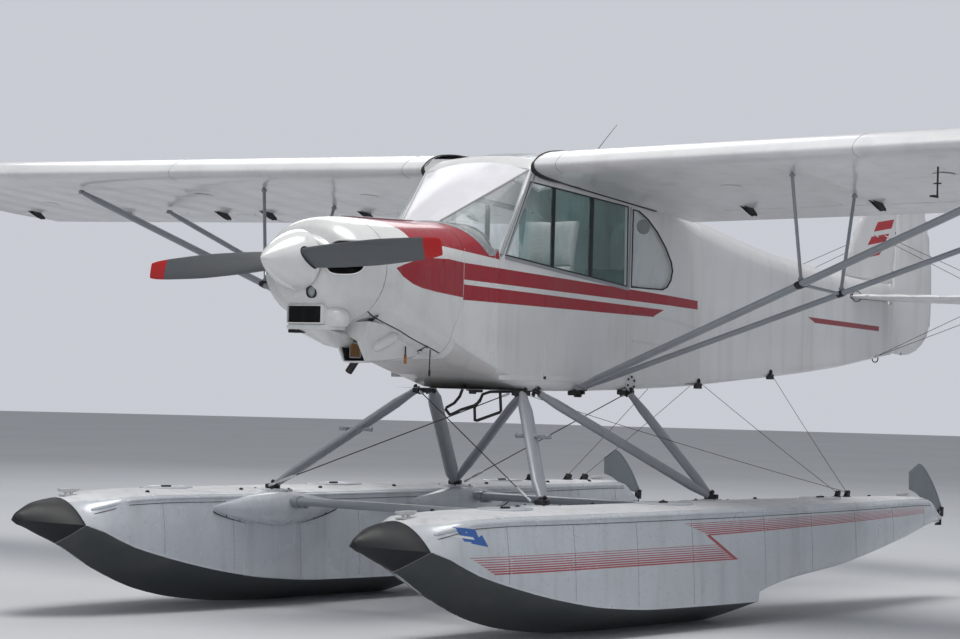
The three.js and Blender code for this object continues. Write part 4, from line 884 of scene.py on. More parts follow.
@dataclass
class Nose:
    """Nose bowl with its inlets, cowl doors, lower cowl with scoop, and the engine behind them."""

    sheet: float = 0.004
    lip: float = 0.0054
    # x, z, half width and half height of the port inlet
    inlet: tuple[float, float, float, float] = (0.249, 1.853, 0.083, 0.086)
    # radius, y and z of the flat ring behind the spinner, and the radius of the opening for the shaft
    mouth: tuple[float, float, float] = (0.135, -2.888, 1.839)
    shaft_hole: float = 0.10
    strip: float = 0.024
    # x from and to, y of the front, z from and to
    intake: tuple[float, float, float, float, float] = (-0.099, 0.141, -2.862, 1.516, 1.617)
    lamp: Point = (0.077, -2.868, 1.680)
    lamp_radius: float = 0.033
    blister: tuple[Point, Point] = ((0.198, -2.524, 1.402), (0.236, -2.378, 1.475))
    # y, x, z, half width and half height of the rounded chin between the lip and the scoop
    chin: tuple[tuple[float, ...], ...] = (
        (-2.850, 0.030, 1.492, 0.110, 0.005), (-2.760, 0.020, 1.482, 0.118, 0.020),
        (-2.680, 0.005, 1.468, 0.112, 0.034),
        (-2.600, -0.010, 1.455, 0.102, 0.046), (-2.520, -0.020, 1.448, 0.098, 0.050),
        (-2.440, -0.025, 1.448, 0.085, 0.040),
        (-2.360, -0.030, 1.450, 0.060, 0.022), (-2.320, -0.030, 1.452, 0.030, 0.006))
    mouth_outline: tuple[tuple[float, ...], ...] = ((-0.014, 1.530), (-0.012, 1.460), (0.006, 1.400), (0.024, 1.345),
                                                    (0.036, 1.3305), (0.080, 1.328), (0.130, 1.328), (0.172, 1.3305),
                                                    (0.183, 1.342), (0.190, 1.390), (0.200, 1.450), (0.225, 1.540))
    heel_outline: tuple[tuple[float, ...], ...] = ((-0.030, 1.440), (-0.030, 1.425), (-0.024, 1.400),
                                                   (-0.010, 1.375), (0.020, 1.360), (0.080, 1.356), (0.130, 1.356),
                                                   (0.180, 1.360), (0.210, 1.372), (0.224, 1.395), (0.232, 1.420),
                                                   (0.236, 1.440))
    mouth_opening: tuple[tuple[float, ...], ...] = ((-0.001, 1.458), (0.030, 1.486), (0.136, 1.441), (0.176, 1.339),
                                                    (0.037, 1.337))
    latch_spans: tuple[tuple[Point, Point], ...] = (((0.170, -2.559, 1.531), (0.249, -2.560, 1.576)),
                                                    ((0.195, -2.183, 1.392), (0.290, -2.199, 1.427)))

    def build(self) -> None:
        """Builds every piece of the nose."""
        self.bowl()
        self.air_intake()
        self.doors()
        self.lower_cowl()
        self.seam_lines()
        self.scoop()
        self.engine()
        self.landing_light()
        self.fittings()

    def bowl_place(self, u: float, v: float) -> Vector:
        """Returns a point of the bowl, u from the seam forward to the middle of its face, v round it."""
        t = 2 * v if v <= 0.5 else 2 * (1 - v)
        side = 1 if v <= 0.5 else -1
        radius, face, z = self.mouth
        front = COWL_SKIN.rows[0][0]
        angle = math.pi * (t - 0.5)
        if u < 0.6:
            y = blend_values(BOWL_SEAM_Y - 0.0015, front, math.sin(u / 0.6 * math.pi / 2) ** 0.8)
            point = COWL_SKIN.at(y, t)
        else:
            share = min(1.0, (u - 0.6) / 0.25)
            reach = radius * (1 - max(0.0, u - 0.85) / 0.15)
            circle = Vector((reach * math.cos(angle), face, z + reach * math.sin(angle)))
            point = COWL_SKIN.at(front, t).lerp(circle, share)
            point.y = blend_values(front, face, math.sin(share * math.pi / 2))
        point.x *= side
        return point

    def strip_place(self, u: float, v: float) -> Vector:
        """Returns a point of the strip along the crown between the doors."""
        x, y = self.strip * (2 * v - 1), blend_values(BOWL_SEAM_Y + 0.001, -2.001, u)
        return Vector((x, y, COWL_SKIN.top_at(x, y)))

    def inlet_outline(self, side: int, grow: float = 0.0, count: int = 40) -> list[Pair]:
        """Returns the rounded outline of an inlet seen from the front."""
        x, z, wide, high = self.inlet
        points = []
        for k in range(count):
            a = k / count * math.tau
            c, s = math.cos(a), math.sin(a)
            points.append((side * (x + (wide + grow) * math.copysign(abs(c) ** 0.6, c)),
                           z + (high + grow) * math.copysign(abs(s) ** 0.6, s)))
        return points

    def bowl(self) -> None:
        """Builds the bowl, its rolled inlet lips, the baffles inside painted near-black as the shade behind the
        inlets, and the strip along the crown.
        """
        bm = bmesh.new()
        grid(bm, 44, 96, self.bowl_place, closed=True)
        face_out(bm)
        skin = BVHTree.FromBMesh(bm)
        thickened(bm, self.sheet)
        cutters = bmesh.new()
        for side in (1, -1):
            plate(cutters, [Vector((x, -3.1, z)) for x, z in self.inlet_outline(side)], Vector((0, 0.39, 0)))
        left, right, front, low, high = self.intake
        block(cutters, (left + 0.02, front - 0.1, low + 0.02), (right - 0.02, front + 0.10, high - 0.02), 0.006)
        rod(cutters, HUB + SHAFT * 0.04, HUB + SHAFT * 0.12, self.shaft_hole, 48)
        lamp = Vector(self.lamp)
        rod(cutters, lamp + Vector((0, -0.02, 0)), lamp + Vector((0, 0.05, 0)), self.lamp_radius - 0.003, 32)
        add_piece("nose_bowl_skin", carved(bm, cutters), BOWL_PAINT, Body.AIRFRAME.value, Slot.COWL, ["nose_bowl"])
        strip = bmesh.new()
        grid(strip, 30, 6, lambda u, v: self.strip_place(u, v))
        face_from(strip, AXIS_HEIGHT)
        add_piece("crown_strip", thickened(strip, 0.003), COWL_PAINT, Body.AIRFRAME.value, Slot.COWL)
        lips = bmesh.new()
        for side in (1, -1):
            path = []
            for x, z in self.inlet_outline(side, 0.002):
                hit = skin.ray_cast(Vector((x, -3.2, z)), Vector((0, 1, 0)))[0]
                path.append(hit + Vector((0, 0.003, 0)))
            tube(lips, path, self.lip, 8, closed=True)
        add_piece("inlet_lips", lips, BOWL_PAINT, Body.AIRFRAME.value, Slot.COWL)
        # A wall across the cowl with slats, painted near-black: painted shade seen through the inlets.
        inside = bmesh.new()
        wall = [COWL_SKIN.at(-2.70, t, -0.014) for t in steps(0.36, 1.0, 24)]
        plate(inside, [*wall, *[Vector((-p.x, p.y, p.z)) for p in reversed(wall[:-1])]], Vector((0, 0.01, 0)))
        for side in (1, -1):
            for row in range(6):
                z = 1.79 + row * 0.018
                block(inside, (side * 0.228 - 0.060, -2.79, z), (side * 0.228 + 0.060, -2.701, z + 0.003))
        add_piece("inlet_baffles", inside, INNER_SHADE_BLACK, Body.AIRFRAME.value, Slot.PANEL)

    def air_intake(self) -> None:
        """Builds the ribbed rectangular intake under the spinner, its cheek and the lip below."""
        left, right, front, low, high = self.intake
        wall = 0.009
        frame_bm = bmesh.new()
        block(frame_bm, (left, front, low), (right, front + 0.16, high), 0.010)
        room = bmesh.new()
        block(room, (left + wall, front - 0.05, low + wall), (right - wall, front + 0.05, high - wall), 0.002)
        add_piece("intake_frame", carved(frame_bm, room), BOWL_PAINT, Body.AIRFRAME.value, Slot.COWL)
        # The recessed core and the slab below the intake are near-black: painted shade inside the intake.
        core = bmesh.new()
        block(core, (left + wall, front + 0.035, low + wall), (right - wall, front + 0.049, high - wall))
        for x in steps(left + wall + 0.005, right - wall - 0.005, 30):
            block(core, (x - 0.0014, front + 0.008, low + wall), (x + 0.0014, front + 0.036, high - wall))
        block(core, (-0.092, -2.852, 1.472), (-0.015, -2.80, 1.489), 0.003)
        add_piece("intake_core", core, INNER_SHADE_BLACK, Body.AIRFRAME.value, Slot.PANEL)
        cheek = bmesh.new()
        bmesh.ops.create_uvsphere(cheek, u_segments=48, v_segments=32, radius=1.0)
        place = Matrix.Translation((right - 0.006, -2.772, 1.546)) @ Matrix.Diagonal((0.100, 0.074, 0.070, 1))
        bmesh.ops.transform(cheek, matrix=place, verts=cheek.verts)
        for point, normal in ((Vector((right - 0.006, 0, 0)), Vector((1, 0, 0))),
                              (Vector((0, 0, 1.508)), Vector((0, 0, 1)))):
            parts = [*cheek.verts, *cheek.edges, *cheek.faces]
            bmesh.ops.bisect_plane(cheek, geom=parts, plane_co=point, plane_no=normal, clear_inner=True)
            cap_ends(cheek)
        add_piece("intake_cheek", cheek, BOWL_PAINT, Body.AIRFRAME.value, Slot.COWL)
        lip = bmesh.new()
        outline = ((left, -2.860), (0.125, -2.860), (0.162, -2.838), (0.176, -2.795), (0.166, -2.700), (left, -2.700))
        plate(lip, [Vector((x, y, 1.489)) for x, y in outline], Vector((0, 0, 0.026)))
        bmesh.ops.bevel(lip, geom=list(lip.edges), offset=0.009, offset_type="OFFSET", affect="EDGES", segments=4,
                        profile=0.5, material=-1, clamp_overlap=True)
        add_piece("intake_lip", lip, BOWL_PAINT, Body.AIRFRAME.value, Slot.COWL)

    def doors(self) -> None:
        """Builds the two hinged cowl doors with their hinges."""
        edge = self.strip + 0.006

        def place(u: float, v: float) -> Vector:
            """Returns a point of the port door, u aft and v up."""
            def share(y: float) -> float:
                """Returns the way round the section at this v."""
                low = COWL_SKIN.at_height(y, DOOR_LINE.at(y) + 0.003)
                return blend_values(low, COWL_SKIN.at_width(y, edge), v)
            return seam_place(u, share, BOWL_SEAM_Y + 0.0025)

        bm = bmesh.new()
        grid(bm, 34, 44, place)
        face_from(bm, AXIS_HEIGHT)
        thickened(bm, 0.003)
        add_pair("cowl_door_skin", bm, COWL_PAINT, Body.COWL_DOOR, Slot.COWL, ["cowl_door"], sided=True)
        hinge = bmesh.new()
        front, rear = (Vector((edge, y, COWL_SKIN.top_at(edge, y) + 0.0045)) for y in (-2.60, -2.02))
        count = 30
        for k in range(count):
            a, b = front.lerp(rear, k / count), front.lerp(rear, (k + 0.92) / count)
            rod(hinge, a, b, 0.0034, 8)
        add_pair("cowl_hinge", hinge, BRIGHT_METAL, Body.COWL_DOOR, Slot.COWL, sided=True)

    def lower_cowl(self) -> None:
        """Builds the lower cowl between the doors."""
        def place(u: float, v: float) -> Vector:
            """Returns a point of the pan, u aft and v from starboard to port."""
            across = 2 * v - 1

            def share(y: float) -> float:
                """Returns the way round the section at this v."""
                return abs(across) * COWL_SKIN.at_height(y, DOOR_LINE.at(y) - 0.002)
            point = seam_place(u, share, BOWL_SEAM_Y + 0.0025)
            point.x = math.copysign(point.x, across)
            return point

        bm = bmesh.new()
        grid(bm, 34, 60, place)
        face_from(bm, AXIS_HEIGHT)
        thickened(bm, 0.003)
        add_piece("lower_cowl_skin", bm, BOWL_PAINT, Body.AIRFRAME.value, Slot.COWL, ["lower_cowl"])

    def seam_lines(self) -> None:
        """Builds near-black tapes under the gaps between the bowl, the doors and the lower cowl: painted shade that
        shows in the gaps.
        """
        deep, half = -0.008, 0.012
        tape = bmesh.new()

        def round_bowl(u: float, v: float) -> Vector:
            """Returns a point of the tape behind the bowl, u along Y and v round it."""
            t = 2 * v if v <= 0.5 else 2 * (1 - v)
            point = COWL_SKIN.at(BOWL_SEAM_Y + half * (2 * u - 1), t, deep)
            point.x *= 1 if v <= 0.5 else -1
            return point
        grid(tape, 2, 96, round_bowl, closed=True)
        for side in (1, -1):
            def along_door(u: float, v: float) -> Vector:
                """Returns a point of the tape under the door's lower edge, u aft and v up."""
                y = blend_values(BOWL_SEAM_Y, -2.10, u)
                point = COWL_SKIN.at(y, COWL_SKIN.at_height(y, DOOR_LINE.at(y) + half * (2 * v - 1)), deep)
                point.x *= side
                return point
            grid(tape, 30, 2, along_door)

            def along_boot(u: float, v: float) -> Vector:
                """Returns a point of the tape under the boot seam, u aft and v up."""
                height = blend_values(1.36, 1.95, v)
                y = BOOT_SEAM.at(height) + half * (2 * u - 1)
                point = COWL_SKIN.at(y, COWL_SKIN.at_height(y, height), deep)
                point.x *= side
                return point
            grid(tape, 2, 30, along_boot)
        face_from(tape, AXIS_HEIGHT)
        # Painted shade: black strips under the gaps stand for the shade inside the cowl.
        add_piece("cowl_gap_shade_tapes", thickened(tape, 0.001), BLACK_RUBBER, Body.AIRFRAME.value, Slot.BUMPER,
                  turn=False)

    def scoop(self) -> None:
        """Builds the scoop under the lower cowl with its slanted mouth, lined near-black as painted shade, and its
        screen.
        """
        front = self.mouth_outline
        rear = self.heel_outline
        rings = []
        for u in steps(0, 1, 24):
            lift = u ** 1.6
            ring = []
            for (x0, z0), (x1, z1) in zip(front, rear):
                rake = 0.040 * (1 - u) * (1.53 - z0) / 0.2
                ring.append(Vector((blend_values(x0, x1, u), blend_values(-2.600, -2.190, u) + rake,
                                    blend_values(z0, z1, lift))))
            rings.append(ring)
        bm = bmesh.new()
        loft(bm, rings)
        face_out(bm)
        opening = self.mouth_opening
        middle = Vector((0.082, 0, 1.405))

        def inset(share: float, y: float) -> list[Vector]:
            """Returns the opening's outline drawn in towards its middle, at a y."""
            return [Vector((blend_values(middle.x, x, share), y, blend_values(middle.z, z, share)))
                    for x, z in opening]
        mouth = bmesh.new()
        plate(mouth, inset(1.0, -2.75), Vector((0, 0.29, 0)))
        add_piece("scoop_skin", carved(bm, mouth), BOWL_PAINT, Body.AIRFRAME.value, Slot.COWL)
        # The liner inside the mouth is near-black: painted shade.
        liner, hollow = bmesh.new(), bmesh.new()
        plate(liner, inset(0.995, -2.556), Vector((0, 0.095, 0)))
        plate(hollow, inset(0.93, -2.60), Vector((0, 0.118, 0)))
        add_piece("scoop_liner", carved(liner, hollow), INNER_SHADE_BLACK, Body.AIRFRAME.value, Slot.PANEL)
        border = bmesh.new()
        left, right, low, high = 0.060, 0.130, 1.356, 1.440
        depth = -2.540
        for start, stop in (((left, low), (right, low)), ((right, low), (right, high - 0.020)),
                            ((right, high - 0.020), (left, high)), ((left, high), (left, low))):
            rod(border, Vector((start[0], depth, start[1])), Vector((stop[0], depth, stop[1])), 0.0045, 8)
        add_piece("scoop_screen_frame", border, FRAME_GREY, Body.AIRFRAME.value, Slot.STRUT)
        screen = bmesh.new()
        corners = ((left, low), (right, low), (right, high - 0.020), (left, high))
        plate(screen, [Vector((x, depth + 0.002, z)) for x, z in corners], Vector((0, 0.002, 0)))
        for share in steps(0.06, 0.94, 10):
            x, z = blend_values(left, right, share), blend_values(low, high - 0.02, share)
            rod(screen, Vector((x, depth - 0.002, low)), Vector((x, depth - 0.002, high - 0.02 * share)), 0.0011, 5)
            rod(screen, Vector((left, depth - 0.0035, z)), Vector((right, depth - 0.0035, z)), 0.0011, 5)
        add_piece("scoop_screen", screen, BRONZE, Body.AIRFRAME.value, Slot.PANEL)

    def engine(self) -> None:
        """Builds the flat four-cylinder engine that shows when a cowl door is up."""
        bm = bmesh.new()
        block(bm, (-0.15, -2.66, 1.715), (0.15, -2.20, 1.925), 0.03, 3)
        block(bm, (-0.13, -2.55, 1.605), (0.13, -2.23, 1.72), 0.02)
        block(bm, (-0.12, -2.20, 1.70), (0.12, -2.02, 1.92), 0.015)
        rod(bm, Vector((0, -2.66, 1.836)), HUB + SHAFT * 0.036, 0.042, 24)
        for side in (1, -1):
            for y in (-2.53, -2.33):
                profile = [(0.0, 0.0)]
                for fin in range(14):
                    start = 0.012 + fin * 0.0095
                    radius = 0.088 if fin < 10 else 0.094
                    profile += [(0.066, start), (radius, start), (radius, start + 0.003), (0.066, start + 0.003)]
                profile += [(0.07, 0.148), (0.05, 0.155), (0.0, 0.155)]
                spun(bm, profile, Vector((side * 0.145, y, 1.82)), Vector((side, 0, 0)), 24)
        rods = [(0.1, -2.42, 1.93), (-0.1, -2.42, 1.93)]
        for x, y, z in rods:
            block(bm, (x - 0.04, y - 0.14, z - 0.01), (x + 0.04, y + 0.14, z + 0.02), 0.008)
        add_piece("flat_engine", bm, CASTING, Body.AIRFRAME.value, Slot.ENGINE, ["engine_block"])

    def landing_light(self) -> None:
        """Builds the landing light in the bowl's face: black ring, reflector, bulb and lens."""
        centre, ahead, radius = Vector(self.lamp), Vector((0, -1, 0)), self.lamp_radius
        ring = bmesh.new()
        spun(ring,
             [(0.0, -0.030), (radius, -0.030), (radius, 0.009), (radius - 0.004, 0.011), (radius - 0.006, 0.006),
                    (radius - 0.006, -0.020), (0.0, -0.026)], centre, ahead, 36)
        add_piece("landing_light_ring", ring, BLACK_RUBBER, Body.AIRFRAME.value, Slot.PANEL)
        bowl = bmesh.new()
        inner = radius - 0.0062
        spun(bowl, [(0.0, -0.022), (inner * 0.5, -0.018), (inner, -0.002), (inner, -0.003), (inner * 0.5, -0.0195),
                    (0.0, -0.0235)], centre, ahead, 32)
        dome(bowl, centre + Vector((0, 0.018, 0)), ahead, 0.006, 0.008, 12)
        add_piece("landing_light_reflector", bowl, STRUT_GREY, Body.AIRFRAME.value, Slot.STRUT)
        lens = bmesh.new()
        spun(lens, [(0.0, 0.001), (inner, -0.001), (inner, 0.001), (inner * 0.6, 0.004), (0.0, 0.005)], centre,
             ahead, 32)
        add_piece("landing_light_lens", lens, LAMP_GLASS, Body.AIRFRAME.value, Slot.WINDOW)

    def fittings(self) -> None:
        """Builds the exhaust stub, the blisters under the cowl, its latches and the drains."""
        pipe = bmesh.new()
        stub = Vector((-0.62, 0.0, -0.78)).normalized()
        spun(pipe, [(0.016, -0.06), (0.0195, -0.06), (0.0195, 0.052), (0.016, 0.052), (0.016, -0.06)],
             Vector((0.008, -2.45, 1.322)), stub, 24)
        add_piece("exhaust_stub", pipe, DARK_METAL, Body.AIRFRAME.value, Slot.PANEL)
        bump = bmesh.new()
        count = 16
        start, end = Vector(self.blister[0]), Vector(self.blister[1])
        radii = [0.029 * max(0.05, 1 - abs(2 * k / count - 1) ** 5) ** 0.5 for k in range(count + 1)]
        tube(bump, [start.lerp(end, share) for share in steps(0, 1, count)], radii, 20)
        add_piece("cowl_blister", bump, BOWL_PAINT, Body.AIRFRAME.value, Slot.COWL)
        chin = bmesh.new()
        rings = []
        for y, x, z, wide, high in self.chin:
            rings.append([Vector((x + wide * math.cos(a), y, z + high * math.sin(a)))
                          for a in steps(0, math.tau, 28)[:-1]])
        loft(chin, rings)
        add_piece("cowl_chin", chin, BOWL_PAINT, Body.AIRFRAME.value, Slot.COWL)
        latches = bmesh.new()
        for low, high in self.latch_spans:
            below, above = Vector(low), Vector(high)
            along = (above - below).normalized()
            aft = Vector((0, 1, 0))
            out = along.cross(aft).normalized()
            if out.z > 0:
                out = -out
            length = (above - below).length
            loop = []
            for k in range(24):
                a = k / 24 * math.tau
                reach = math.copysign(length / 2 - 0.010, math.cos(a)) + math.cos(a) * 0.010
                loop.append(below.lerp(above, 0.5) + along * reach + aft * math.sin(a) * 0.011 + out * 0.006)
            tube(latches, loop, 0.0026, 8, closed=True)
            for share in (0.12, 0.5):
                spot = below.lerp(above, share) + out * 0.004
                rod(latches, spot - aft * 0.015, spot + aft * 0.015, 0.0062, 10)
        add_pair("cowl_latches", latches, DARK_METAL, Body.AIRFRAME, Slot.COWL)
        drain = bmesh.new()
        block(drain, (0.221, -2.303, 1.330), (0.238, -2.299, 1.378), 0.001)
        add_piece("drain_tag", drain, RUST_ORANGE, Body.AIRFRAME.value, Slot.PANEL)
        thin = bmesh.new()
        rod(thin, Vector((0.28, -2.16, 1.43)), Vector((0.28, -2.165, 1.27)), 0.003, 8)
        rod(thin, Vector((0.28, -2.162, 1.30)), Vector((0.28, -2.164, 1.27)), 0.006, 8)
        rod(thin, Vector((0.2295, -2.301, 1.42)), Vector((0.2295, -2.301, 1.366)), 0.004, 8)
        add_piece("drain_pipes", thin, DARK_METAL, Body.AIRFRAME.value, Slot.PANEL)


@dataclass
class Propeller:
    """Two-blade propeller with its spinner."""

    radius: float = 0.978
    tilt: float = math.radians(3.2)
    spinner_radius: float = 0.155
    spinner_length: float = 0.275
    spinner_back: float = 0.058
    # share of the radius, chord, thickness, angle to the disc in degrees
    blade_rows: tuple[tuple[float, float, float, float], ...] = (
        (0.060, 0.100, 0.052, 40), (0.16, 0.124, 0.038, 36), (0.3, 0.130, 0.027, 28), (0.55, 0.134, 0.018, 20),
        (0.8, 0.118, 0.013, 15), (0.94, 0.100, 0.009, 12), (1.0, 0.080, 0.006, 11))
    tip_rows: tuple[tuple[float, ...], ...] = ((0.97, 0.004), (0.88, 0.0065), (0.6, 0.0075))

    def build(self) -> None:
        """Builds the blades and the spinner."""
        up = Vector((0, -math.sin(THRUST_DOWN), math.cos(THRUST_DOWN)))
        self.span = Vector((1, 0, 0)) * math.cos(self.tilt) + up * math.sin(self.tilt)
        self.side = SHAFT.cross(self.span)
        self.blades()
        self.spinner()

    def ring(self, share: float, sign: int, grow: float = 0.0, count: int = 28) -> list[Vector]:
        """Returns the outline of a blade at a share of the radius."""
        chord, thick, angle = (Course(tuple((row[0], row[k]) for row in self.blade_rows)).at(share)
                               for k in (1, 2, 3))
        lean = math.radians(angle)
        out = self.span * sign
        edge = self.side * sign * math.cos(lean) + SHAFT * math.sin(lean)
        face = out.cross(edge)
        centre = HUB + out * share * self.radius
        points = []
        for k in range(count):
            a = k / count * math.tau
            wide = math.cos(a) * (chord / 2 + grow)
            deep = math.sin(a) * (1 - 0.3 * math.cos(a)) * (thick / 2 + grow)
            points.append(centre + edge * wide + face * deep)
        return points

    def blades(self) -> None:
        """Builds both blades and the hub."""
        bm = bmesh.new()
        for sign in (1, -1):
            rings = [self.ring(s, sign) for s in steps(0.04, 0.992, 46)]
            last = self.ring(0.992, sign)
            centre = sum(last, Vector()) / len(last)
            for shrink, push in self.tip_rows:
                rings.append([centre + (p - centre) * shrink + self.span * sign * push for p in last])
            loft(bm, rings)
        rod(bm, HUB - SHAFT * 0.034, HUB + SHAFT * 0.034, 0.062, 32)
        add_piece("propeller_blades", bm, BLADE_PAINT, Body.PROPELLER.value, Slot.BLADE, ["propeller"], smooth=50)

    def spinner(self) -> None:
        """Builds the spinner with its blade cut-outs, back plate and screws."""
        def shape(radius: float, length: float) -> list[Pair]:
            """Returns the nose profile of radius and distance."""
            return [(radius * (1 - (1 - s ** 1.5) ** 1.47) ** 0.89, self.spinner_back - length * (1 - s ** 1.5))
                    for s in steps(0, 1, 32)]
        outer = shape(self.spinner_radius, self.spinner_length)
        inner = shape(self.spinner_radius - 0.004, self.spinner_length - 0.008)
        back = self.spinner_back
        profile = [*outer, *reversed(inner)]
        bm = bmesh.new()
        spun(bm, profile, HUB, SHAFT, 72)
        cutters = bmesh.new()
        for sign in (1, -1):
            loft(cutters, [self.ring(s, sign, 0.010, 24) for s in (0.07, 0.25)])
        face_out(cutters)
        bm = carved(bm, cutters)
        for k in range(12):
            a = (k + 0.5) / 12 * math.tau
            around = self.span * math.cos(a) + self.side * math.sin(a)
            if abs(math.cos(a)) < 0.93:
                dome(bm, HUB + SHAFT * 0.012 + around * (self.spinner_radius - 0.0002), around, 0.0045, 0.0016, 8)
        add_piece("spinner_shell", bm, SPINNER_PAINT, Body.PROPELLER.value, Slot.COWL, ["spinner"])
        plate_bm = bmesh.new()
        spun(plate_bm, [(0.05, back - 0.006), (self.spinner_radius - 0.0045, back - 0.006),
                        (self.spinner_radius - 0.0045, back - 0.002), (0.05, back - 0.002), (0.05, back - 0.006)],
             HUB, SHAFT, 48)
        add_piece("spinner_back_plate", plate_bm, DARK_METAL, Body.PROPELLER.value, Slot.PANEL)


# Boot cowl, windshield and cabin

FABRIC_WHITE_COLOUR = (0.78, 0.78, 0.775)
CABIN_PAINT = Finish("cabin_white", FABRIC_WHITE_COLOUR, roughness=0.3, coat=0.35, dirt=0.14, grain=0.06,
                     grain_scale=18.0, marks=STRIPES)
ALUMINIUM_SKIN = Finish("bright_skin", (0.74, 0.71, 0.69), roughness=0.38, metallic=0.35, dirt=0.2, grain=0.05,
                        grain_scale=10.0)
CLEAR_SHEET = Glazing("clear_sheet", (0.74, 0.80, 0.80), cover=0.16, haze=0.25)
GREEN_SHEET = Glazing("green_sheet", (0.36, 0.60, 0.58), cover=0.13, haze=0.30)
# Painted reflection: the windshield's front is clear; this nearly opaque milky white stands for the bright sky that
# it reflects.
SKY_REFLECTION_SHEET = Glazing("painted_sky_reflection", (0.88, 0.87, 0.91), roughness=0.16, cover=0.80, haze=0.15)
PANEL_PAINT = Finish("panel_crackle", (0.02, 0.021, 0.023), roughness=0.6, dirt=0.15, grain=0.2, grain_scale=220.0)
DIAL_FACE = Finish("dial_black", (0.008, 0.008, 0.009), roughness=0.35, dirt=0.05)
DIAL_MARK = Finish("dial_white", (0.75, 0.75, 0.70), roughness=0.5, dirt=0.05)
SEAT_CLOTH = Finish("seat_weave", (0.075, 0.08, 0.09), roughness=0.85, dirt=0.2, grain=0.2, grain_scale=80.0,
                    weave=1400.0)
FLOOR_LINING = Finish("cabin_lining", (0.20, 0.20, 0.20), roughness=0.8, dirt=0.3, grain=0.2, grain_scale=90.0)
SEALANT = Finish("pale_strip", (0.60, 0.60, 0.60), roughness=0.4, dirt=0.15)
# Painted shade: a dark grey for the disc on the rear window's sunshade, standing for the dark seen through a round
# hole in it.
HOLE_SHADE_GREY = Finish("painted_hole_shade", (0.13, 0.13, 0.14), roughness=0.6, dirt=0.05)
SHADE_GREY = Finish("rear_shade", (0.72, 0.73, 0.75), roughness=0.6, dirt=0.1)
GLARE_GREY = Finish("glare_shield", (0.34, 0.35, 0.34), roughness=0.7, dirt=0.15, grain=0.1, grain_scale=90.0)
PALE_COVER = Finish("seat_cover", (0.72, 0.73, 0.74), roughness=0.9, dirt=0.15, grain=0.3, grain_scale=60.0,
                    weave=1400.0)

PUFF_LIMIT = 0.007
# y, half width of the cabin's side
CABIN_SIDE = Course(((-0.5, 0.3705), (-0.1, 0.3695), (0.3, 0.3355)))
REAR_WINDOW = ((-0.478, 1.803), (-0.478, 2.246), (-0.420, 2.238), (-0.330, 2.198), (-0.230, 2.130), (-0.140, 2.045),
               (-0.078, 1.965), (-0.062, 1.915), (-0.078, 1.860), (-0.118, 1.818), (-0.160, 1.803))


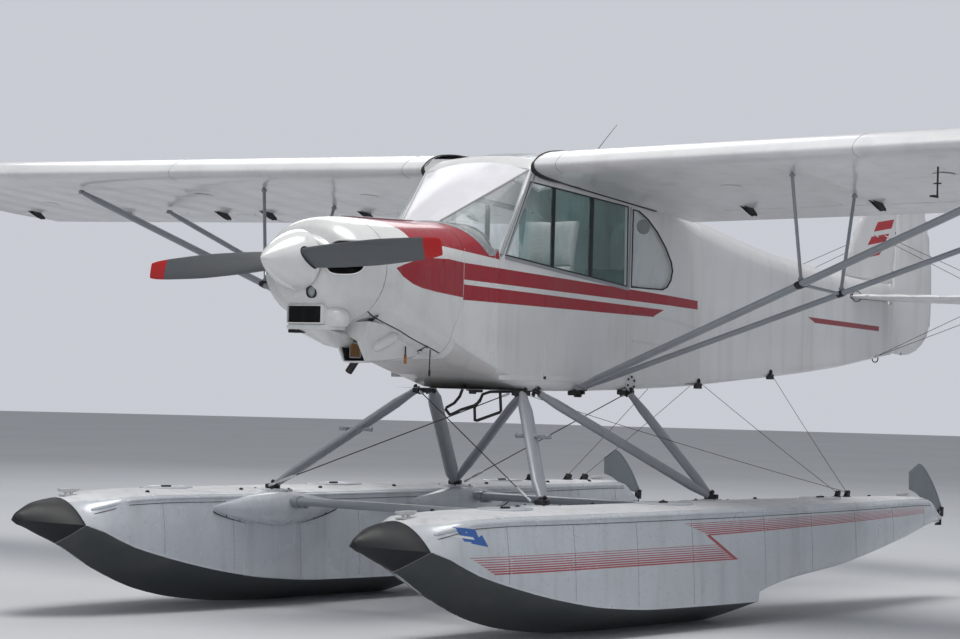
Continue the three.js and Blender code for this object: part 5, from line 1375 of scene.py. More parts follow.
@dataclass
class Windshield:
    """One bent sheet: a front between two creases, painted milky white as the sky's reflection, and a clear triangle
    on each side.
    """

    half: float = 0.362
    foot_rear: float = -1.713
    depth: float = 0.215
    square: float = 0.78
    crease: float = 0.27
    corner: Point = (0.357, -1.452, 2.392)
    head_y: float = -1.440
    sheet: float = 0.003

    def foot(self, a: float, ahead: float = 0.0, out: float = 0.0) -> Vector:
        """Returns a point of the foot line.

        Args:
            a: Angle round the foot from -90 degrees to starboard to 90 to port, in radians.
            ahead: How far forward of the line on the skin.
            out: Height over the boot cowl's skin.
        """
        across = abs(math.sin(a)) ** self.square
        x = min(0.3655, (self.half + ahead * 0.15) * across)
        y = self.foot_rear - self.depth * math.cos(a) ** self.square - ahead
        return Vector((math.copysign(x, a), y, COWL_SKIN.top_at(x, y) + out))

    def head(self, a: float) -> Vector:
        """Returns the end at the roof of the line that starts at foot angle a."""
        x, _, z = self.corner
        share = min(1.0, abs(math.sin(a)) / self.crease)
        rise = 0.052 * (1 - share ** 2.2)
        return Vector((math.copysign(x * share, a), self.head_y - 0.010 * share, z + rise))

    def build(self) -> None:
        """Builds the sheets, the strips and the frame."""
        limit = math.asin(self.crease)
        sheet = bmesh.new()

        def front(u: float, v: float) -> Vector:
            """Returns a point of the front, u from foot to head and v across."""
            a = blend_values(-limit, limit, v)
            bulge = 0.016 * math.sin(u * math.pi) * math.cos(a / limit * math.pi / 2)
            point = self.foot(a, 0, 0.006).lerp(self.head(a), u)
            return point + Vector((0, -bulge * 0.7, bulge * 0.7))
        grid(sheet, 24, 32, front)
        self.face_forward(sheet)
        # The front sheet is painted milky white for the sky that it reflects.
        add_piece("windshield_front", thickened(sheet, self.sheet), SKY_REFLECTION_SHEET, Body.AIRFRAME.value, Slot.WINDOW,
                  ["windshield"])
        side = bmesh.new()

        def flank(u: float, v: float) -> Vector:
            """Returns a point of the port triangle, u from foot to head and v from crease to post."""
            a = blend_values(limit, math.pi / 2, v)
            return self.foot(a, 0, 0.006).lerp(self.head(a) + Vector((0.0, 0.012 * v, -0.035 * v)), u)
        grid(side, 20, 24, flank)
        self.face_forward(side)
        add_pair("windshield_side", thickened(side, self.sheet), CLEAR_SHEET, Body.AIRFRAME, Slot.WINDOW)
        crease = bmesh.new()
        a, b = self.foot(limit, 0, 0.011), self.head(limit) + Vector((0.0, -0.004, 0.004))
        rod(crease, a, b, 0.0045, 8)
        add_pair("windshield_crease", crease, SEALANT, Body.AIRFRAME, Slot.COWL)
        strip = bmesh.new()

        def base(u: float, v: float) -> Vector:
            """Returns a point of the metal strip round the foot."""
            a = blend_values(-math.pi / 2, math.pi / 2, v)
            return self.foot(a, blend_values(-0.012, 0.036, u), 0.0015 + 0.002 * math.sin(u * math.pi))
        grid(strip, 4, 120, base)
        self.face_up(strip)
        add_piece("windshield_base_strip", thickened(strip, 0.0015), FRAME_GREY, Body.AIRFRAME.value, Slot.STRUT)
        heads = bmesh.new()
        for k in range(-11, 12):
            angle = k / 11.5 * math.pi / 2
            spot = self.foot(angle, 0.026, 0.002)
            dome(heads, spot, Vector((spot.x, -0.3, 1.0 - abs(spot.x) * 2)).normalized(), 0.004, 0.002, 8)
        add_piece("base_strip_screws", heads, BRIGHT_METAL, Body.AIRFRAME.value, Slot.WIRE)
        post = bmesh.new()
        low, high = Vector((0.367, -1.688, 1.925)), Vector((0.367, -1.448, 2.372))
        across = Vector((0.0, 0.035, 0.0))
        for shift, radius in ((Vector(), 0.0085), (across, 0.0085)):
            rod(post, low + shift, high + shift, radius, 12)
        inner = [low + Vector((-0.006, -0.004, 0)), low + Vector((-0.006, 0.039, 0)),
                 high + Vector((-0.006, 0.039, 0)),
                 high + Vector((-0.006, -0.004, 0))]
        plate(post, inner, Vector((0.008, 0, 0)))
        add_pair("windshield_post", post, FRAME_GREY, Body.AIRFRAME, Slot.STRUT)

    def face_forward(self, bm: BMesh) -> None:
        """Turns the faces of a sheet forward and up."""
        bm.normal_update()
        for face in bm.faces:
            if face.normal.dot(Vector((math.copysign(0.8, face.calc_center_median().x), -1, 1))) < 0:
                face.normal_flip()

    def face_up(self, bm: BMesh) -> None:
        """Turns the faces of a sheet outwards from the cowl."""
        bm.normal_update()
        for face in bm.faces:
            if face.normal.dot(face.calc_center_median() - Vector((0, -1.8, 1.6))) < 0:
                face.normal_flip()


@dataclass
class Cabin:
    """Boot cowl, cabin frame with its windows and door, panel, sticks and seats."""

    wall_x: float = 0.3702
    sill: tuple[Pair, Pair] = ((-1.660, 1.926), (-0.520, 1.807))
    lintel: tuple[Pair, Pair] = ((-1.452, 2.330), (-0.526, 2.256))
    rivet_rows: tuple[tuple[float, ...], ...] = ((-1.743, 22), (-1.985, 16))
    stringer_ends: tuple[tuple[float, ...], ...] = ((1.66, 1.60), (1.50, 1.46))
    window_posts: tuple[tuple[float, ...], ...] = ((-1.232, 0.011), (-0.875, 0.015))
    pedal_x: tuple[float, ...] = (-0.16, -0.08, 0.08, 0.16)
    floor_boards: tuple[tuple[Point, Point], ...] = (((-0.34, -1.68, 1.30), (0.34, -1.30, 1.306)),
                                                     ((-0.34, -0.60, 1.262), (0.34, 0.25, 1.268)))

    def build(self) -> None:
        """Builds every piece of the cabin."""
        self.boot()
        self.shell()
        self.glass()
        self.door()
        self.trim()
        self.panel()
        self.controls()
        self.seats()

    def boot(self) -> None:
        """Builds the boot cowl's skin with its rivets, the glare shield and the belly skin."""
        def place(u: float, v: float) -> Vector:
            """Returns a point of the skin, u aft and v round it."""
            t = 2 * v if v <= 0.5 else 2 * (1 - v)
            y = -2.02
            for _ in range(3):
                y = blend_values(BOOT_SEAM.at(COWL_SKIN.at(y, t).z) + 0.0015, -1.706, u)
            point = COWL_SKIN.at(y, t)
            point.x *= 1 if v <= 0.5 else -1
            return point
        bm = bmesh.new()
        grid(bm, 20, 104, place, closed=True)
        face_out(bm)
        thickened(bm, 0.004)
        opening = bmesh.new()
        outline = [Windshield().foot(a, -0.012) for a in steps(-math.pi / 2, math.pi / 2, 60)]
        outline = [Vector((-0.362, -1.60, 0)), *outline, Vector((0.362, -1.60, 0))]
        plate(opening, [Vector((p.x, p.y, 1.90)) for p in outline], Vector((0, 0, 0.40)))
        add_piece("boot_cowl_skin", carved(bm, opening), BOOT_PAINT, Body.AIRFRAME.value, Slot.COWL, ["boot_cowl"])
        shield = bmesh.new()

        def under_glass(u: float, v: float) -> Vector:
            """Returns a point of the glare shield, u aft and v across."""
            across = 2 * v - 1
            y = blend_values(-1.945, -1.735, u)
            point = COWL_SKIN.at(y, 1 - 0.40 * abs(across), -0.016)
            point.x = math.copysign(point.x, across)
            return point
        grid(shield, 12, 48, under_glass)
        face_from(shield, AXIS_HEIGHT)
        add_piece("glare_shield", thickened(shield, 0.003), GLARE_GREY, Body.AIRFRAME.value, Slot.PANEL)
        rivets = bmesh.new()
        for y, count in self.rivet_rows:
            low = COWL_SKIN.at_height(y, 1.40)
            for t in steps(low, SIDE_END + 0.10, count):
                spot = COWL_SKIN.at(y, t, 0.0)
                dome(rivets, spot, (COWL_SKIN.at(y, t, 0.01) - spot).normalized(), 0.0035, 0.0014, 6)
        add_pair("boot_rivets", rivets, CABIN_PAINT, Body.AIRFRAME, Slot.COWL)
        belly = bmesh.new()

        def under(u: float, v: float) -> Vector:
            """Returns a point of the bright belly skin."""
            y = blend_values(-2.055, -1.709, u)
            t = abs(2 * v - 1) * 0.30
            point = COWL_SKIN.at(y, t, 0.0015)
            point.x = math.copysign(point.x, v - 0.5)
            return point
        grid(belly, 14, 40, under)
        belly.normal_update()
        for face in belly.faces:
            if face.normal.z > 0:
                face.normal_flip()
        thickened(belly, 0.001)
        block(belly, (-0.325, -1.700, 1.2055), (0.325, -1.275, 1.2065))
        add_piece("belly_skin", belly, ALUMINIUM_SKIN, Body.AIRFRAME.value, Slot.COWL)

    def shell(self) -> None:
        """Dresses the cabin shell with rounded edges, stringers and side tapes."""
        bm = solid_copy("cabin_shell", 0.004, 40.0)
        add_piece("cabin_skin", bm, CABIN_PAINT, Body.AIRFRAME.value, Slot.FABRIC, ["cabin_shell"])
        stringers = bmesh.new()
        for z0, z1 in self.stringer_ends:
            path = [Vector((CABIN_SIDE.at(y) + 0.0005, y, blend_values(z0, z1, (y + 0.45) / 0.74)))
                    for y in steps(-0.45, 0.29, 14)]
            tube(stringers, path, [0.0045] * 15, 8)
        add_pair("cabin_stringers", stringers, CABIN_PAINT, Body.AIRFRAME, Slot.FABRIC)
        seams = bmesh.new()
        for y in (-1.28, -0.50):
            block(seams, (self.wall_x, y - 0.012, 1.27), (self.wall_x + 0.0014, y + 0.012, 1.80), 0.0006, 1)
        block(seams, (self.wall_x, -1.69, 1.262), (self.wall_x + 0.0014, 0.0, 1.286), 0.0006, 1)
        add_pair("side_tapes", seams, CABIN_PAINT, Body.AIRFRAME, Slot.FABRIC)

    def glass(self) -> None:
        """Dresses the window sheets that keep their CAD form."""
        for node in ("side_glass_left", "front_glass_right", "door_glass"):
            dress(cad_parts[node], GREEN_SHEET)
        for node in ("rear_window_left", "rear_window_right"):
            dress(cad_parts[node], CLEAR_SHEET)
        dress(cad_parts["skylight"], CLEAR_SHEET)

    def door(self) -> None:
        """Dresses both halves of the starboard door and adds its handle."""
        add_piece("door_lower_skin", solid_copy("door_lower", 0.003, 40.0), CABIN_PAINT, Body.DOOR_LOWER.value,
                  Slot.FABRIC, ["door_lower"])
        add_piece("door_upper_frame", solid_copy("door_upper", 0.003, 40.0), FRAME_GREY, Body.DOOR_UPPER.value,
                  Slot.DOOR, ["door_upper"])
        handle = bmesh.new()
        x = -self.wall_x
        rod(handle, Vector((x, -0.68, 1.70)), Vector((x - 0.022, -0.68, 1.70)), 0.009, 14)
        rod(handle, Vector((x - 0.018, -0.69, 1.70)), Vector((x - 0.018, -0.60, 1.70)), 0.006, 12, 0.8)
        spun(handle, [(0.0, 0.0), (0.022, 0.0), (0.020, 0.003), (0.0, 0.003)], Vector((x, -0.68, 1.70)),
             Vector((-1, 0, 0)), 20)
        add_piece("door_handle", handle, BRIGHT_METAL, Body.DOOR_LOWER.value, Slot.DOOR)

    def trim(self) -> None:
        """Builds mullions, window seals and the pale strips beside the windows."""
        dark = bmesh.new()
        pale = bmesh.new()
        x = self.wall_x - 0.001
        (s0, s1), (h0, h1) = self.sill, self.lintel

        def sill(y: float) -> float:
            """Returns the height of the sill at y."""
            return blend_values(s0[1], s1[1], (y - s0[0]) / (s1[0] - s0[0]))

        def lintel(y: float) -> float:
            """Returns the height of the lintel at y."""
            return blend_values(h0[1], h1[1], (y - h0[0]) / (h1[0] - h0[0]))
        for y, wide in self.window_posts:
            plate(dark, [Vector((x - 0.012, y - wide, sill(y))), Vector((x - 0.012, y + wide, sill(y))),
                         Vector((x - 0.012, y + wide, lintel(y))), Vector((x - 0.012, y - wide, lintel(y)))],
                  Vector((0.014, 0, 0)))
        outline = [Vector((x, y, z)) for y, z in (s0, h0, h1, s1)]
        tube(dark, outline, 0.0045, 8, closed=True)
        rear = [Vector((CABIN_SIDE.at(y) + 0.0005, y, z)) for y, z in REAR_WINDOW]
        tube(dark, rear, 0.0045, 8, closed=True)
        add_pair("window_seals", dark, BLACK_RUBBER, Body.AIRFRAME, Slot.BUMPER)
        for y in (-0.502,):
            plate(pale, [Vector((x + 0.0015, y - 0.010, 1.80)), Vector((x + 0.0015, y + 0.010, 1.80)),
                         Vector((x + 0.0015, y + 0.010, 2.255)), Vector((x + 0.0015, y - 0.010, 2.255))],
                  Vector((0.0015, 0, 0)))
        plate(pale, [Vector((x + 0.0015, -1.66, 1.903)), Vector((x + 0.0015, -0.50, 1.783)),
                     Vector((x + 0.0015, -0.50, 1.801)), Vector((x + 0.0015, -1.66, 1.921))], Vector((0.002, 0, 0)))
        add_pair("window_strips", pale, FRAME_GREY, Body.AIRFRAME, Slot.STRUT)
        shade = bmesh.new()
        inner = [(y, z) for y, z in REAR_WINDOW if y > -0.47]
        plate(shade, [Vector((0.352, -0.47, 1.815)), *[Vector((0.352, y - 0.012, z)) for y, z in reversed(inner)],
                      Vector((0.352, -0.47, 2.235))], Vector((0.002, 0, 0)))
        add_pair("rear_window_shades", shade, SHADE_GREY, Body.AIRFRAME, Slot.PANEL)
        # A dark disc on the sunshade: painted shade seen through a hole in it.
        disc = bmesh.new()
        plate(disc, [Vector((0.3545, -0.352 + 0.066 * math.cos(a), 2.153 + 0.042 * math.sin(a)))
                     for a in steps(0, math.tau, 28)[:-1]], Vector((0.0015, 0, 0)))
        add_pair("rear_window_discs", disc, HOLE_SHADE_GREY, Body.AIRFRAME, Slot.PANEL)
        vent = bmesh.new()
        spun(vent, [(0.0, 0.0), (0.045, 0.0), (0.045, 0.004), (0.038, 0.006), (0.0, 0.006)],
             Vector((self.wall_x - 0.004, -1.556, 1.962)), Vector((1, 0, 0)), 28)
        add_piece("window_vent", vent, CLEAR_SHEET, Body.AIRFRAME.value, Slot.WINDOW)

    def panel(self) -> None:
        """Builds the instrument panel and its dials."""
        bm = solid_copy("instrument_panel", 0.003, 40.0)
        add_piece("panel_board", bm, PANEL_PAINT, Body.AIRFRAME.value, Slot.PANEL, ["instrument_panel"])
        faces = bmesh.new()
        rims = bmesh.new()
        hands = bmesh.new()
        dials = [(x, z, 0.038) for z in (1.98, 1.885) for x in (-0.21, -0.115, -0.02, 0.075, 0.17)]
        dials += [(x, 1.815, 0.024) for x in (-0.25, -0.18, -0.11, 0.11, 0.18, 0.25)]
        back = Vector((0, 1, 0))
        for k, (x, z, radius) in enumerate(dials):
            centre = Vector((x, -1.7455, z))
            spun(faces, [(0.0, 0.0), (radius, 0.0), (radius, 0.002), (0.0, 0.002)], centre, back, 28)
            spun(rims,
                 [(radius, 0.0), (radius + 0.005, 0.0), (radius + 0.005, 0.004), (radius, 0.006), (radius, 0.0)],
                 centre, back, 28)
            turn = 0.7 + k * 0.9
            tip = Vector((math.sin(turn), 0, math.cos(turn))) * radius * 0.7
            rod(hands, centre + back * 0.0035, centre + back * 0.0035 + tip, 0.0012, 6)
            for tick in range(10):
                a = tick / 10 * math.tau
                out = Vector((math.sin(a), 0, math.cos(a)))
                rod(hands, centre + back * 0.0025 + out * radius * 0.78, centre + back * 0.0025 + out * radius * 0.93,
                    0.0008, 4)
        add_piece("dial_faces", faces, DIAL_FACE, Body.AIRFRAME.value, Slot.PANEL)
        add_piece("dial_rims", rims, DARK_METAL, Body.AIRFRAME.value, Slot.PANEL)
        add_piece("dial_marks", hands, DIAL_MARK, Body.AIRFRAME.value, Slot.PANEL)

    def controls(self) -> None:
        """Builds the sticks, pedals, cabin tubes and floor."""
        bm = bmesh.new()
        for y in (-1.33, -0.72):
            floor = 1.243
            tube(bm, [Vector((0, y, floor)), Vector((0, y + 0.01, floor + 0.25)), Vector((0, y + 0.05, floor + 0.42)),
                      Vector((0, y + 0.06, floor + 0.52))], [0.012, 0.012, 0.011, 0.015], 12)
        for x in self.pedal_x:
            block(bm, (x - 0.03, -1.86, 1.36), (x + 0.03, -1.852, 1.47), 0.004)
            rod(bm, Vector((x, -1.855, 1.37)), Vector((x, -1.80, 1.31)), 0.007, 8)
        add_piece("cabin_tubes", bm, DARK_METAL, Body.AIRFRAME.value, Slot.STRUT)
        lining = bmesh.new()
        for low, high in self.floor_boards:
            block(lining, low, high)
        add_piece("cabin_floor", lining, FLOOR_LINING, Body.AIRFRAME.value, Slot.PANEL)

    def seats(self) -> None:
        """Builds both seats: tube frames and crowned cushions."""
        for name, front_y, floor in (("front_seat", -1.290, 1.230), ("rear_seat", -0.640, 1.246)):
            tubes = bmesh.new()
            for x in (-0.19, 0.19):
                rod(tubes, Vector((x, front_y + 0.03, floor + 0.02)), Vector((x, front_y + 0.03, floor + 0.19)),
                    0.010, 12)
                rod(tubes, Vector((x, front_y + 0.38, floor + 0.02)), Vector((x, front_y + 0.38, floor + 0.19)),
                    0.010, 12)
                rod(tubes, Vector((x, front_y + 0.01, floor + 0.192)), Vector((x, front_y + 0.41, floor + 0.192)),
                    0.010, 12)
                top = 0.90 if name == "front_seat" else 0.68
                rod(tubes, Vector((x * 0.75, front_y + 0.425, floor + 0.20)),
                    Vector((x * 0.75, front_y + 0.335 + top * 0.265, floor + top)), 0.010, 12)
            add_piece(f"{name}_frame", tubes, DARK_METAL, Body.AIRFRAME.value, Slot.STRUT)
            base = self.cushion(Vector((0, front_y + 0.205, floor + 0.236)), Vector((0.192, 0.20, 0.034)), 0.0)
            back = self.cushion(Vector((0, front_y + 0.452, floor + 0.45)), Vector((0.192, 0.030, 0.235)), 0.19)
            made = []
            cushions = [("base", base), ("back", back)]
            if name == "front_seat":
                cushions.append(("head", self.cushion(Vector((0, front_y + 0.523, floor + 0.808)),
                                                      Vector((0.180, 0.028, 0.128)), 0.19)))
            for part, bm in cushions:
                nodes = [name] if part == "base" else []
                piece = add_piece(f"{name}_{part}", bm, PALE_COVER if name == "front_seat" else SEAT_CLOTH,
                                  Body.AIRFRAME.value, Slot.SEAT, nodes, smooth=70)
                made.append(piece)
            for piece in made:
                puff(piece)

    def cushion(self, centre: Vector, half: Vector, lean: float) -> BMesh:
        """Returns a rounded block with a sewn edge, leaning back by an angle."""
        bm = bmesh.new()
        bmesh.ops.create_cube(bm, size=2)
        bmesh.ops.subdivide_edges(bm, edges=bm.edges, cuts=11, use_grid_fill=True)
        thin = min(range(3), key=lambda k: half[k])
        for vert in bm.verts:
            flat = [abs(vert.co[k]) for k in range(3) if k != thin]
            crown = (1 - flat[0] ** 4) * (1 - flat[1] ** 4)
            vert.co[thin] *= 0.55 + 0.45 * crown
            for k in range(3):
                if k != thin:
                    vert.co[k] *= 1 - 0.03 * abs(vert.co[thin]) ** 2
        bmesh.ops.transform(bm, matrix=Matrix.Diagonal((*half, 1)), verts=bm.verts)
        turn = Matrix.Translation(centre) @ Matrix.Rotation(-lean, 4, "X")
        bmesh.ops.transform(bm, matrix=turn, verts=bm.verts)
        return bm


def puff(piece: Object) -> None:
    """Fills a cushion by a short cloth simulation and keeps its result in the mesh."""
    start = [vert.co.copy() for vert in piece.data.vertices]
    cloth = piece.modifiers.new("fill", "CLOTH")
    cloth.settings.quality = 6
    cloth.settings.use_pressure = True
    cloth.settings.uniform_pressure_force = 3.0
    cloth.settings.effector_weights.gravity = 0.0
    cloth.settings.tension_stiffness = 30.0
    cloth.settings.bending_stiffness = 4.0
    scene = bpy.context.scene
    for number in range(1, 13):
        scene.frame_set(number)
    evaluated = piece.evaluated_get(bpy.context.evaluated_depsgraph_get())
    filled = [vert.co.copy() for vert in evaluated.data.vertices]
    piece.modifiers.remove(cloth)
    scene.frame_set(1)
    for vert, old, new in zip(piece.data.vertices, start, filled):
        move = new - old
        if move.length > PUFF_LIMIT:
            move *= PUFF_LIMIT / move.length
        vert.co = old + move


# Wings


RIB_SPACING = 0.30
COVER_SAG = 0.0035
WING_WHITE = Finish("wing_white", (0.79, 0.79, 0.80), roughness=0.28, coat=0.45, dirt=0.15, dirt_scale=0.6,
                    grain=0.05,
                    grain_scale=12.0, ribs=(RIB_SPACING, 0.3703, 0.030))
SURFACE_WHITE = Finish("surface_white", (0.79, 0.79, 0.80), roughness=0.3, coat=0.4, dirt=0.14, grain=0.05,
                       grain_scale=12.0, ribs=(RIB_SPACING, 0.3703, 0.024))


@dataclass
class Wing:
    """One wing panel made to port and mirrored: skin with coves, tip, flap, aileron and fittings."""

    root: float = 0.3703
    rear_y: float = 0.136
    rear_z: float = 2.209
    chord: float = 1.600
    pitch: float = math.radians(5.8)
    dihedral: float = math.radians(1.0)
    span: float = 5.010
    tip: float = 0.560
    hinge: float = -0.300
    flap: Pair = (0.430, 2.440)
    aileron: Pair = (2.460, 4.620)
    gap: float = 0.006
    # share of the chord, height of the underside and of the upper side as shares of the chord
    section: tuple[Point, ...] = (
        (0.0, 0.030, 0.030), (0.006, 0.018, 0.043), (0.02, 0.0115, 0.0575), (0.05, 0.0055, 0.077),
        (0.1, 0.0025, 0.095),
        (0.2, 0.0005, 0.111), (0.3, 0.0, 0.116), (0.42, 0.0, 0.1125), (0.56, 0.0, 0.0965), (0.7, 0.0, 0.072),
        (0.82, 0.0, 0.0465), (0.92, 0.0, 0.0225), (1.0, 0.0, 0.0035))
    bracket_x: tuple[float, ...] = (0.62, 1.44, 2.26, 2.66, 3.54, 4.42)
    ring_places: tuple[tuple[float, ...], ...] = ((0.9, -1.0), (2.2, -1.05), (3.3, -1.05), (3.9, -0.75))
    drain_x: tuple[float, ...] = (0.6, 1.2, 1.8, 2.4, 3.0, 3.6, 4.2)

    def __post_init__(self) -> None:
        """Works out the wing's frame and its section's curves."""
        turn = Matrix.Rotation(-self.dihedral, 4, "Y") @ Matrix.Rotation(-self.pitch, 4, "X")
        self.frame = Matrix.Translation((self.root, self.rear_y, self.rear_z)) @ turn
        nose = self.section[0][1]
        # the root of a share turns the round nose into even steps
        self.under = Course(tuple((math.sqrt(at), low) for at, low, _ in self.section))
        self.over = Course(tuple((math.sqrt(at), high) for at, _, high in self.section))
        self.nose = nose

    def heights(self, share: float) -> Pair:
        """Returns the heights of both sides at a share of the chord, in metres."""
        root = math.sqrt(max(0.0, share))
        return self.under.at(root) * self.chord, self.over.at(root) * self.chord

    def around(self, v: float) -> tuple[float, bool]:
        """Returns the share of the chord and whether it is on top, for v from the rear edge over the top."""
        top = v < 0.5
        part = v * 2 if top else (v - 0.5) * 2
        share = (1 - part) ** 1.9 if top else part ** 1.9
        return share, top

    def sag(self, x: float, share: float) -> float:
        """Returns how far the cover sinks between two ribs."""
        across = math.sin(math.pi * ((x - 0.0) % RIB_SPACING) / RIB_SPACING) ** 2
        along = min(1.0, max(0.0, (share - 0.10) / 0.10)) * min(1.0, max(0.0, (0.97 - share) / 0.08))
        return COVER_SAG * across * along

    def put(self, point: Vector) -> Vector:
        """Takes a point of the wing's frame to the aircraft's."""
        return self.frame @ point

    def place(self, x: float, share: float, top: bool) -> Vector:
        """Returns a point of the skin in the wing's frame."""
        main = self.span - self.tip
        low, high = self.heights(share)
        deep = self.sag(x, share) if x < main else 0.0
        y, z = -self.chord * (1 - share), (high - deep) if top else (low + deep)
        if x <= main:
            lean = (z * math.cos(self.pitch) - y * math.sin(self.pitch)) * math.tan(self.dihedral)
            return Vector((x + max(0.0, 1 - x / 0.05) * lean, y, z))
        t = min(1.0, (x - main) / self.tip)
        keep = math.sqrt(max(0.0, 1 - t * t))
        front, rear = -self.chord * (0.58 + 0.42 * keep), -self.chord * 0.58 * (1 - keep)
        lift = 0.045 * self.chord * (1 - keep)
        return Vector((x - 0.0056 * t, blend_values(front, rear, share), z * keep + lift))

    def build(self) -> None:
        """Builds the wing and its moving surfaces."""
        self.skin()
        self.surface("flap", self.flap, Body.FLAP)
        self.surface("aileron", self.aileron, Body.AILERON)
        self.root_seal()
        self.brackets()
        self.fittings()

    def skin(self) -> None:
        """Builds the skin with its tip and cuts the coves of flap and aileron."""
        bm = bmesh.new()
        main = self.span - self.tip
        stations = [*steps(0.0, main, 120),
                    *[main + self.tip * math.sin(a) for a in steps(0.06, math.pi / 2 - 0.02, 22)]]
        count = 96

        def place(u: float, v: float) -> Vector:
            """Returns a point, u outwards and v round the section."""
            x = stations[round(u * (len(stations) - 1))]
            share, top = self.around(v)
            return self.put(self.place(x, share, top))
        grid(bm, len(stations) - 1, count, place, closed=True)
        cap_ends(bm)
        face_out(bm)
        rod_z, radius = self.pivot()
        cutters = bmesh.new()
        for low, high in (self.flap, self.aileron):
            box = bmesh.new()
            block(box, (low, self.hinge, -0.1), (high, 0.2, 0.3))
            rod(box, Vector((low, self.hinge, rod_z)), Vector((high, self.hinge, rod_z)), radius + self.gap, 32)
            bmesh.ops.transform(box, matrix=self.frame, verts=box.verts)
            absorb(cutters, box)
        bm = carved(bm, cutters)
        add_pair("wing_skin", bm, WING_WHITE, Body.AIRFRAME, Slot.FABRIC, ["wing"])

    def pivot(self) -> Pair:
        """Returns the height of the hinge line and half the thickness there."""
        low, high = self.heights(1 + self.hinge / self.chord)
        return (low + high) / 2, (high - low) / 2 - 0.0005

    def surface(self, name: str, reach: Pair, body: Body) -> None:
        """Builds a flap or aileron with a round nose and sagging cover."""
        middle, radius = self.pivot()
        x0, x1 = reach[0] + self.gap, reach[1] - self.gap
        outline: list[tuple[float, bool, float]] = []
        share0 = 1 + self.hinge / self.chord
        for share in steps(1.0, share0, 18):
            outline.append((share, True, 0.0))
        for a in steps(0.0, math.pi, 12)[1:-1]:
            outline.append((share0, True, a))
        for share in steps(share0, 1.0, 18):
            outline.append((share, False, 0.0))

        def place(u: float, v: float) -> Vector:
            """Returns a point, u outwards and v round the section."""
            x = blend_values(x0, x1, u)
            share, top, a = outline[round(v * len(outline)) % len(outline)]
            if a:
                return self.put(Vector((x, self.hinge - radius * math.sin(a), middle + radius * math.cos(a))))
            low, high = self.heights(share)
            deep = self.sag(x, share) * min(1.0, (share - share0) / 0.03) * 0.8
            return self.put(Vector((x, -self.chord * (1 - share), (high - deep) if top else (low + deep))))
        bm = bmesh.new()
        grid(bm, 70, len(outline), place, closed=True)
        cap_ends(bm)
        add_pair(f"{name}_skin", bm, SURFACE_WHITE, body, Slot.FABRIC, [name], sided=True)

    def root_seal(self) -> None:
        """Builds the rubber seal between wing and cabin and the seam near the root."""
        path = []
        for v in steps(0.16, 0.93, 60):
            share, top = self.around(v)
            point = self.place(0.0, share, top)
            point.z += 0.001 if top else -0.001
            point.x += 0.010
            path.append(self.put(point))
        bm = bmesh.new()
        tube(bm, path, [0.005 + 0.010 * max(0.0, 1 - ((k - 33) / 9) ** 2) for k in range(61)], 10)
        add_pair("wing_root_seal", bm, BLACK_RUBBER, Body.AIRFRAME, Slot.BUMPER)
        seams = bmesh.new()
        for x in (0.165, 1.98):
            line = []
            for v in steps(0.36, 0.60, 24):
                share, top = self.around(v)
                point = self.place(x, share, top)
                line.append(self.put(point))
            tube(seams, line, 0.0016, 6)
        add_pair("leading_edge_seams", seams, FRAME_GREY, Body.AIRFRAME, Slot.FABRIC)

    def brackets(self) -> None:
        """Builds the hinge brackets under the flap and aileron."""
        bm = bmesh.new()
        for x in self.bracket_x:
            for side in (-0.014, 0.014):
                outline = [Vector((x + side, self.hinge - 0.16, 0.002)),
                           Vector((x + side, self.hinge - 0.06, -0.030)),
                           Vector((x + side, self.hinge - 0.014, -0.038)),
                           Vector((x + side, self.hinge - 0.014, -0.022)),
                           Vector((x + side, self.hinge - 0.06, 0.004))]
                plate(bm, [self.put(p) for p in outline], self.frame.to_3x3() @ Vector((0.003, 0, 0)))
            rod(bm, self.put(Vector((x - 0.018, self.hinge - 0.022, -0.031))),
                self.put(Vector((x + 0.021, self.hinge - 0.022, -0.031))),
                0.005, 8)
        add_pair("hinge_brackets", bm, DARK_METAL, Body.AIRFRAME, Slot.STRUT)

    def fittings(self) -> None:
        """Builds inspection rings, drain grommets, tank cap and tip lamp."""
        rings = bmesh.new()
        for x, y in self.ring_places:
            low, _ = self.heights(1 + y / self.chord)
            spun(rings, [(0.0, 0.0), (0.058, 0.0), (0.060, 0.0012), (0.052, 0.002), (0.0, 0.0016)],
                 self.put(Vector((x, y, low))), self.frame.to_3x3() @ Vector((0, 0, -1)), 28)
        for x in self.drain_x:
            low, _ = self.heights(1 - 0.36 / self.chord)
            spun(rings, [(0.0, 0.0), (0.009, 0.0), (0.009, 0.002), (0.004, 0.003), (0.0, 0.003)],
                 self.put(Vector((x, -0.36, low))), self.frame.to_3x3() @ Vector((0, 0, -1)), 14)
        add_pair("wing_inspection_rings", rings, SURFACE_WHITE, Body.AIRFRAME, Slot.FABRIC)
        cap = bmesh.new()
        _, high = self.heights(1 - 1.0 / self.chord)
        spun(cap, [(0.0, -0.001), (0.034, -0.001), (0.034, 0.006), (0.028, 0.010), (0.0, 0.010)],
             self.put(Vector((0.62, -1.0, high))), self.frame.to_3x3() @ Vector((0, 0, 1)), 24)
        add_pair("tank_caps", cap, BRIGHT_METAL, Body.AIRFRAME, Slot.STRUT)
        lamp = bmesh.new()
        spun(lamp, [(0.0, -0.02), (0.016, -0.02), (0.016, 0.0), (0.013, 0.014), (0.006, 0.022), (0.0, 0.024)],
             self.put(Vector((4.832, -1.236, 0.115))), self.frame.to_3x3() @ Vector((0.8, -0.6, 0.1)), 16)
        add_pair("tip_lamps", lamp, LAMP_GLASS, Body.AIRFRAME, Slot.WINDOW)


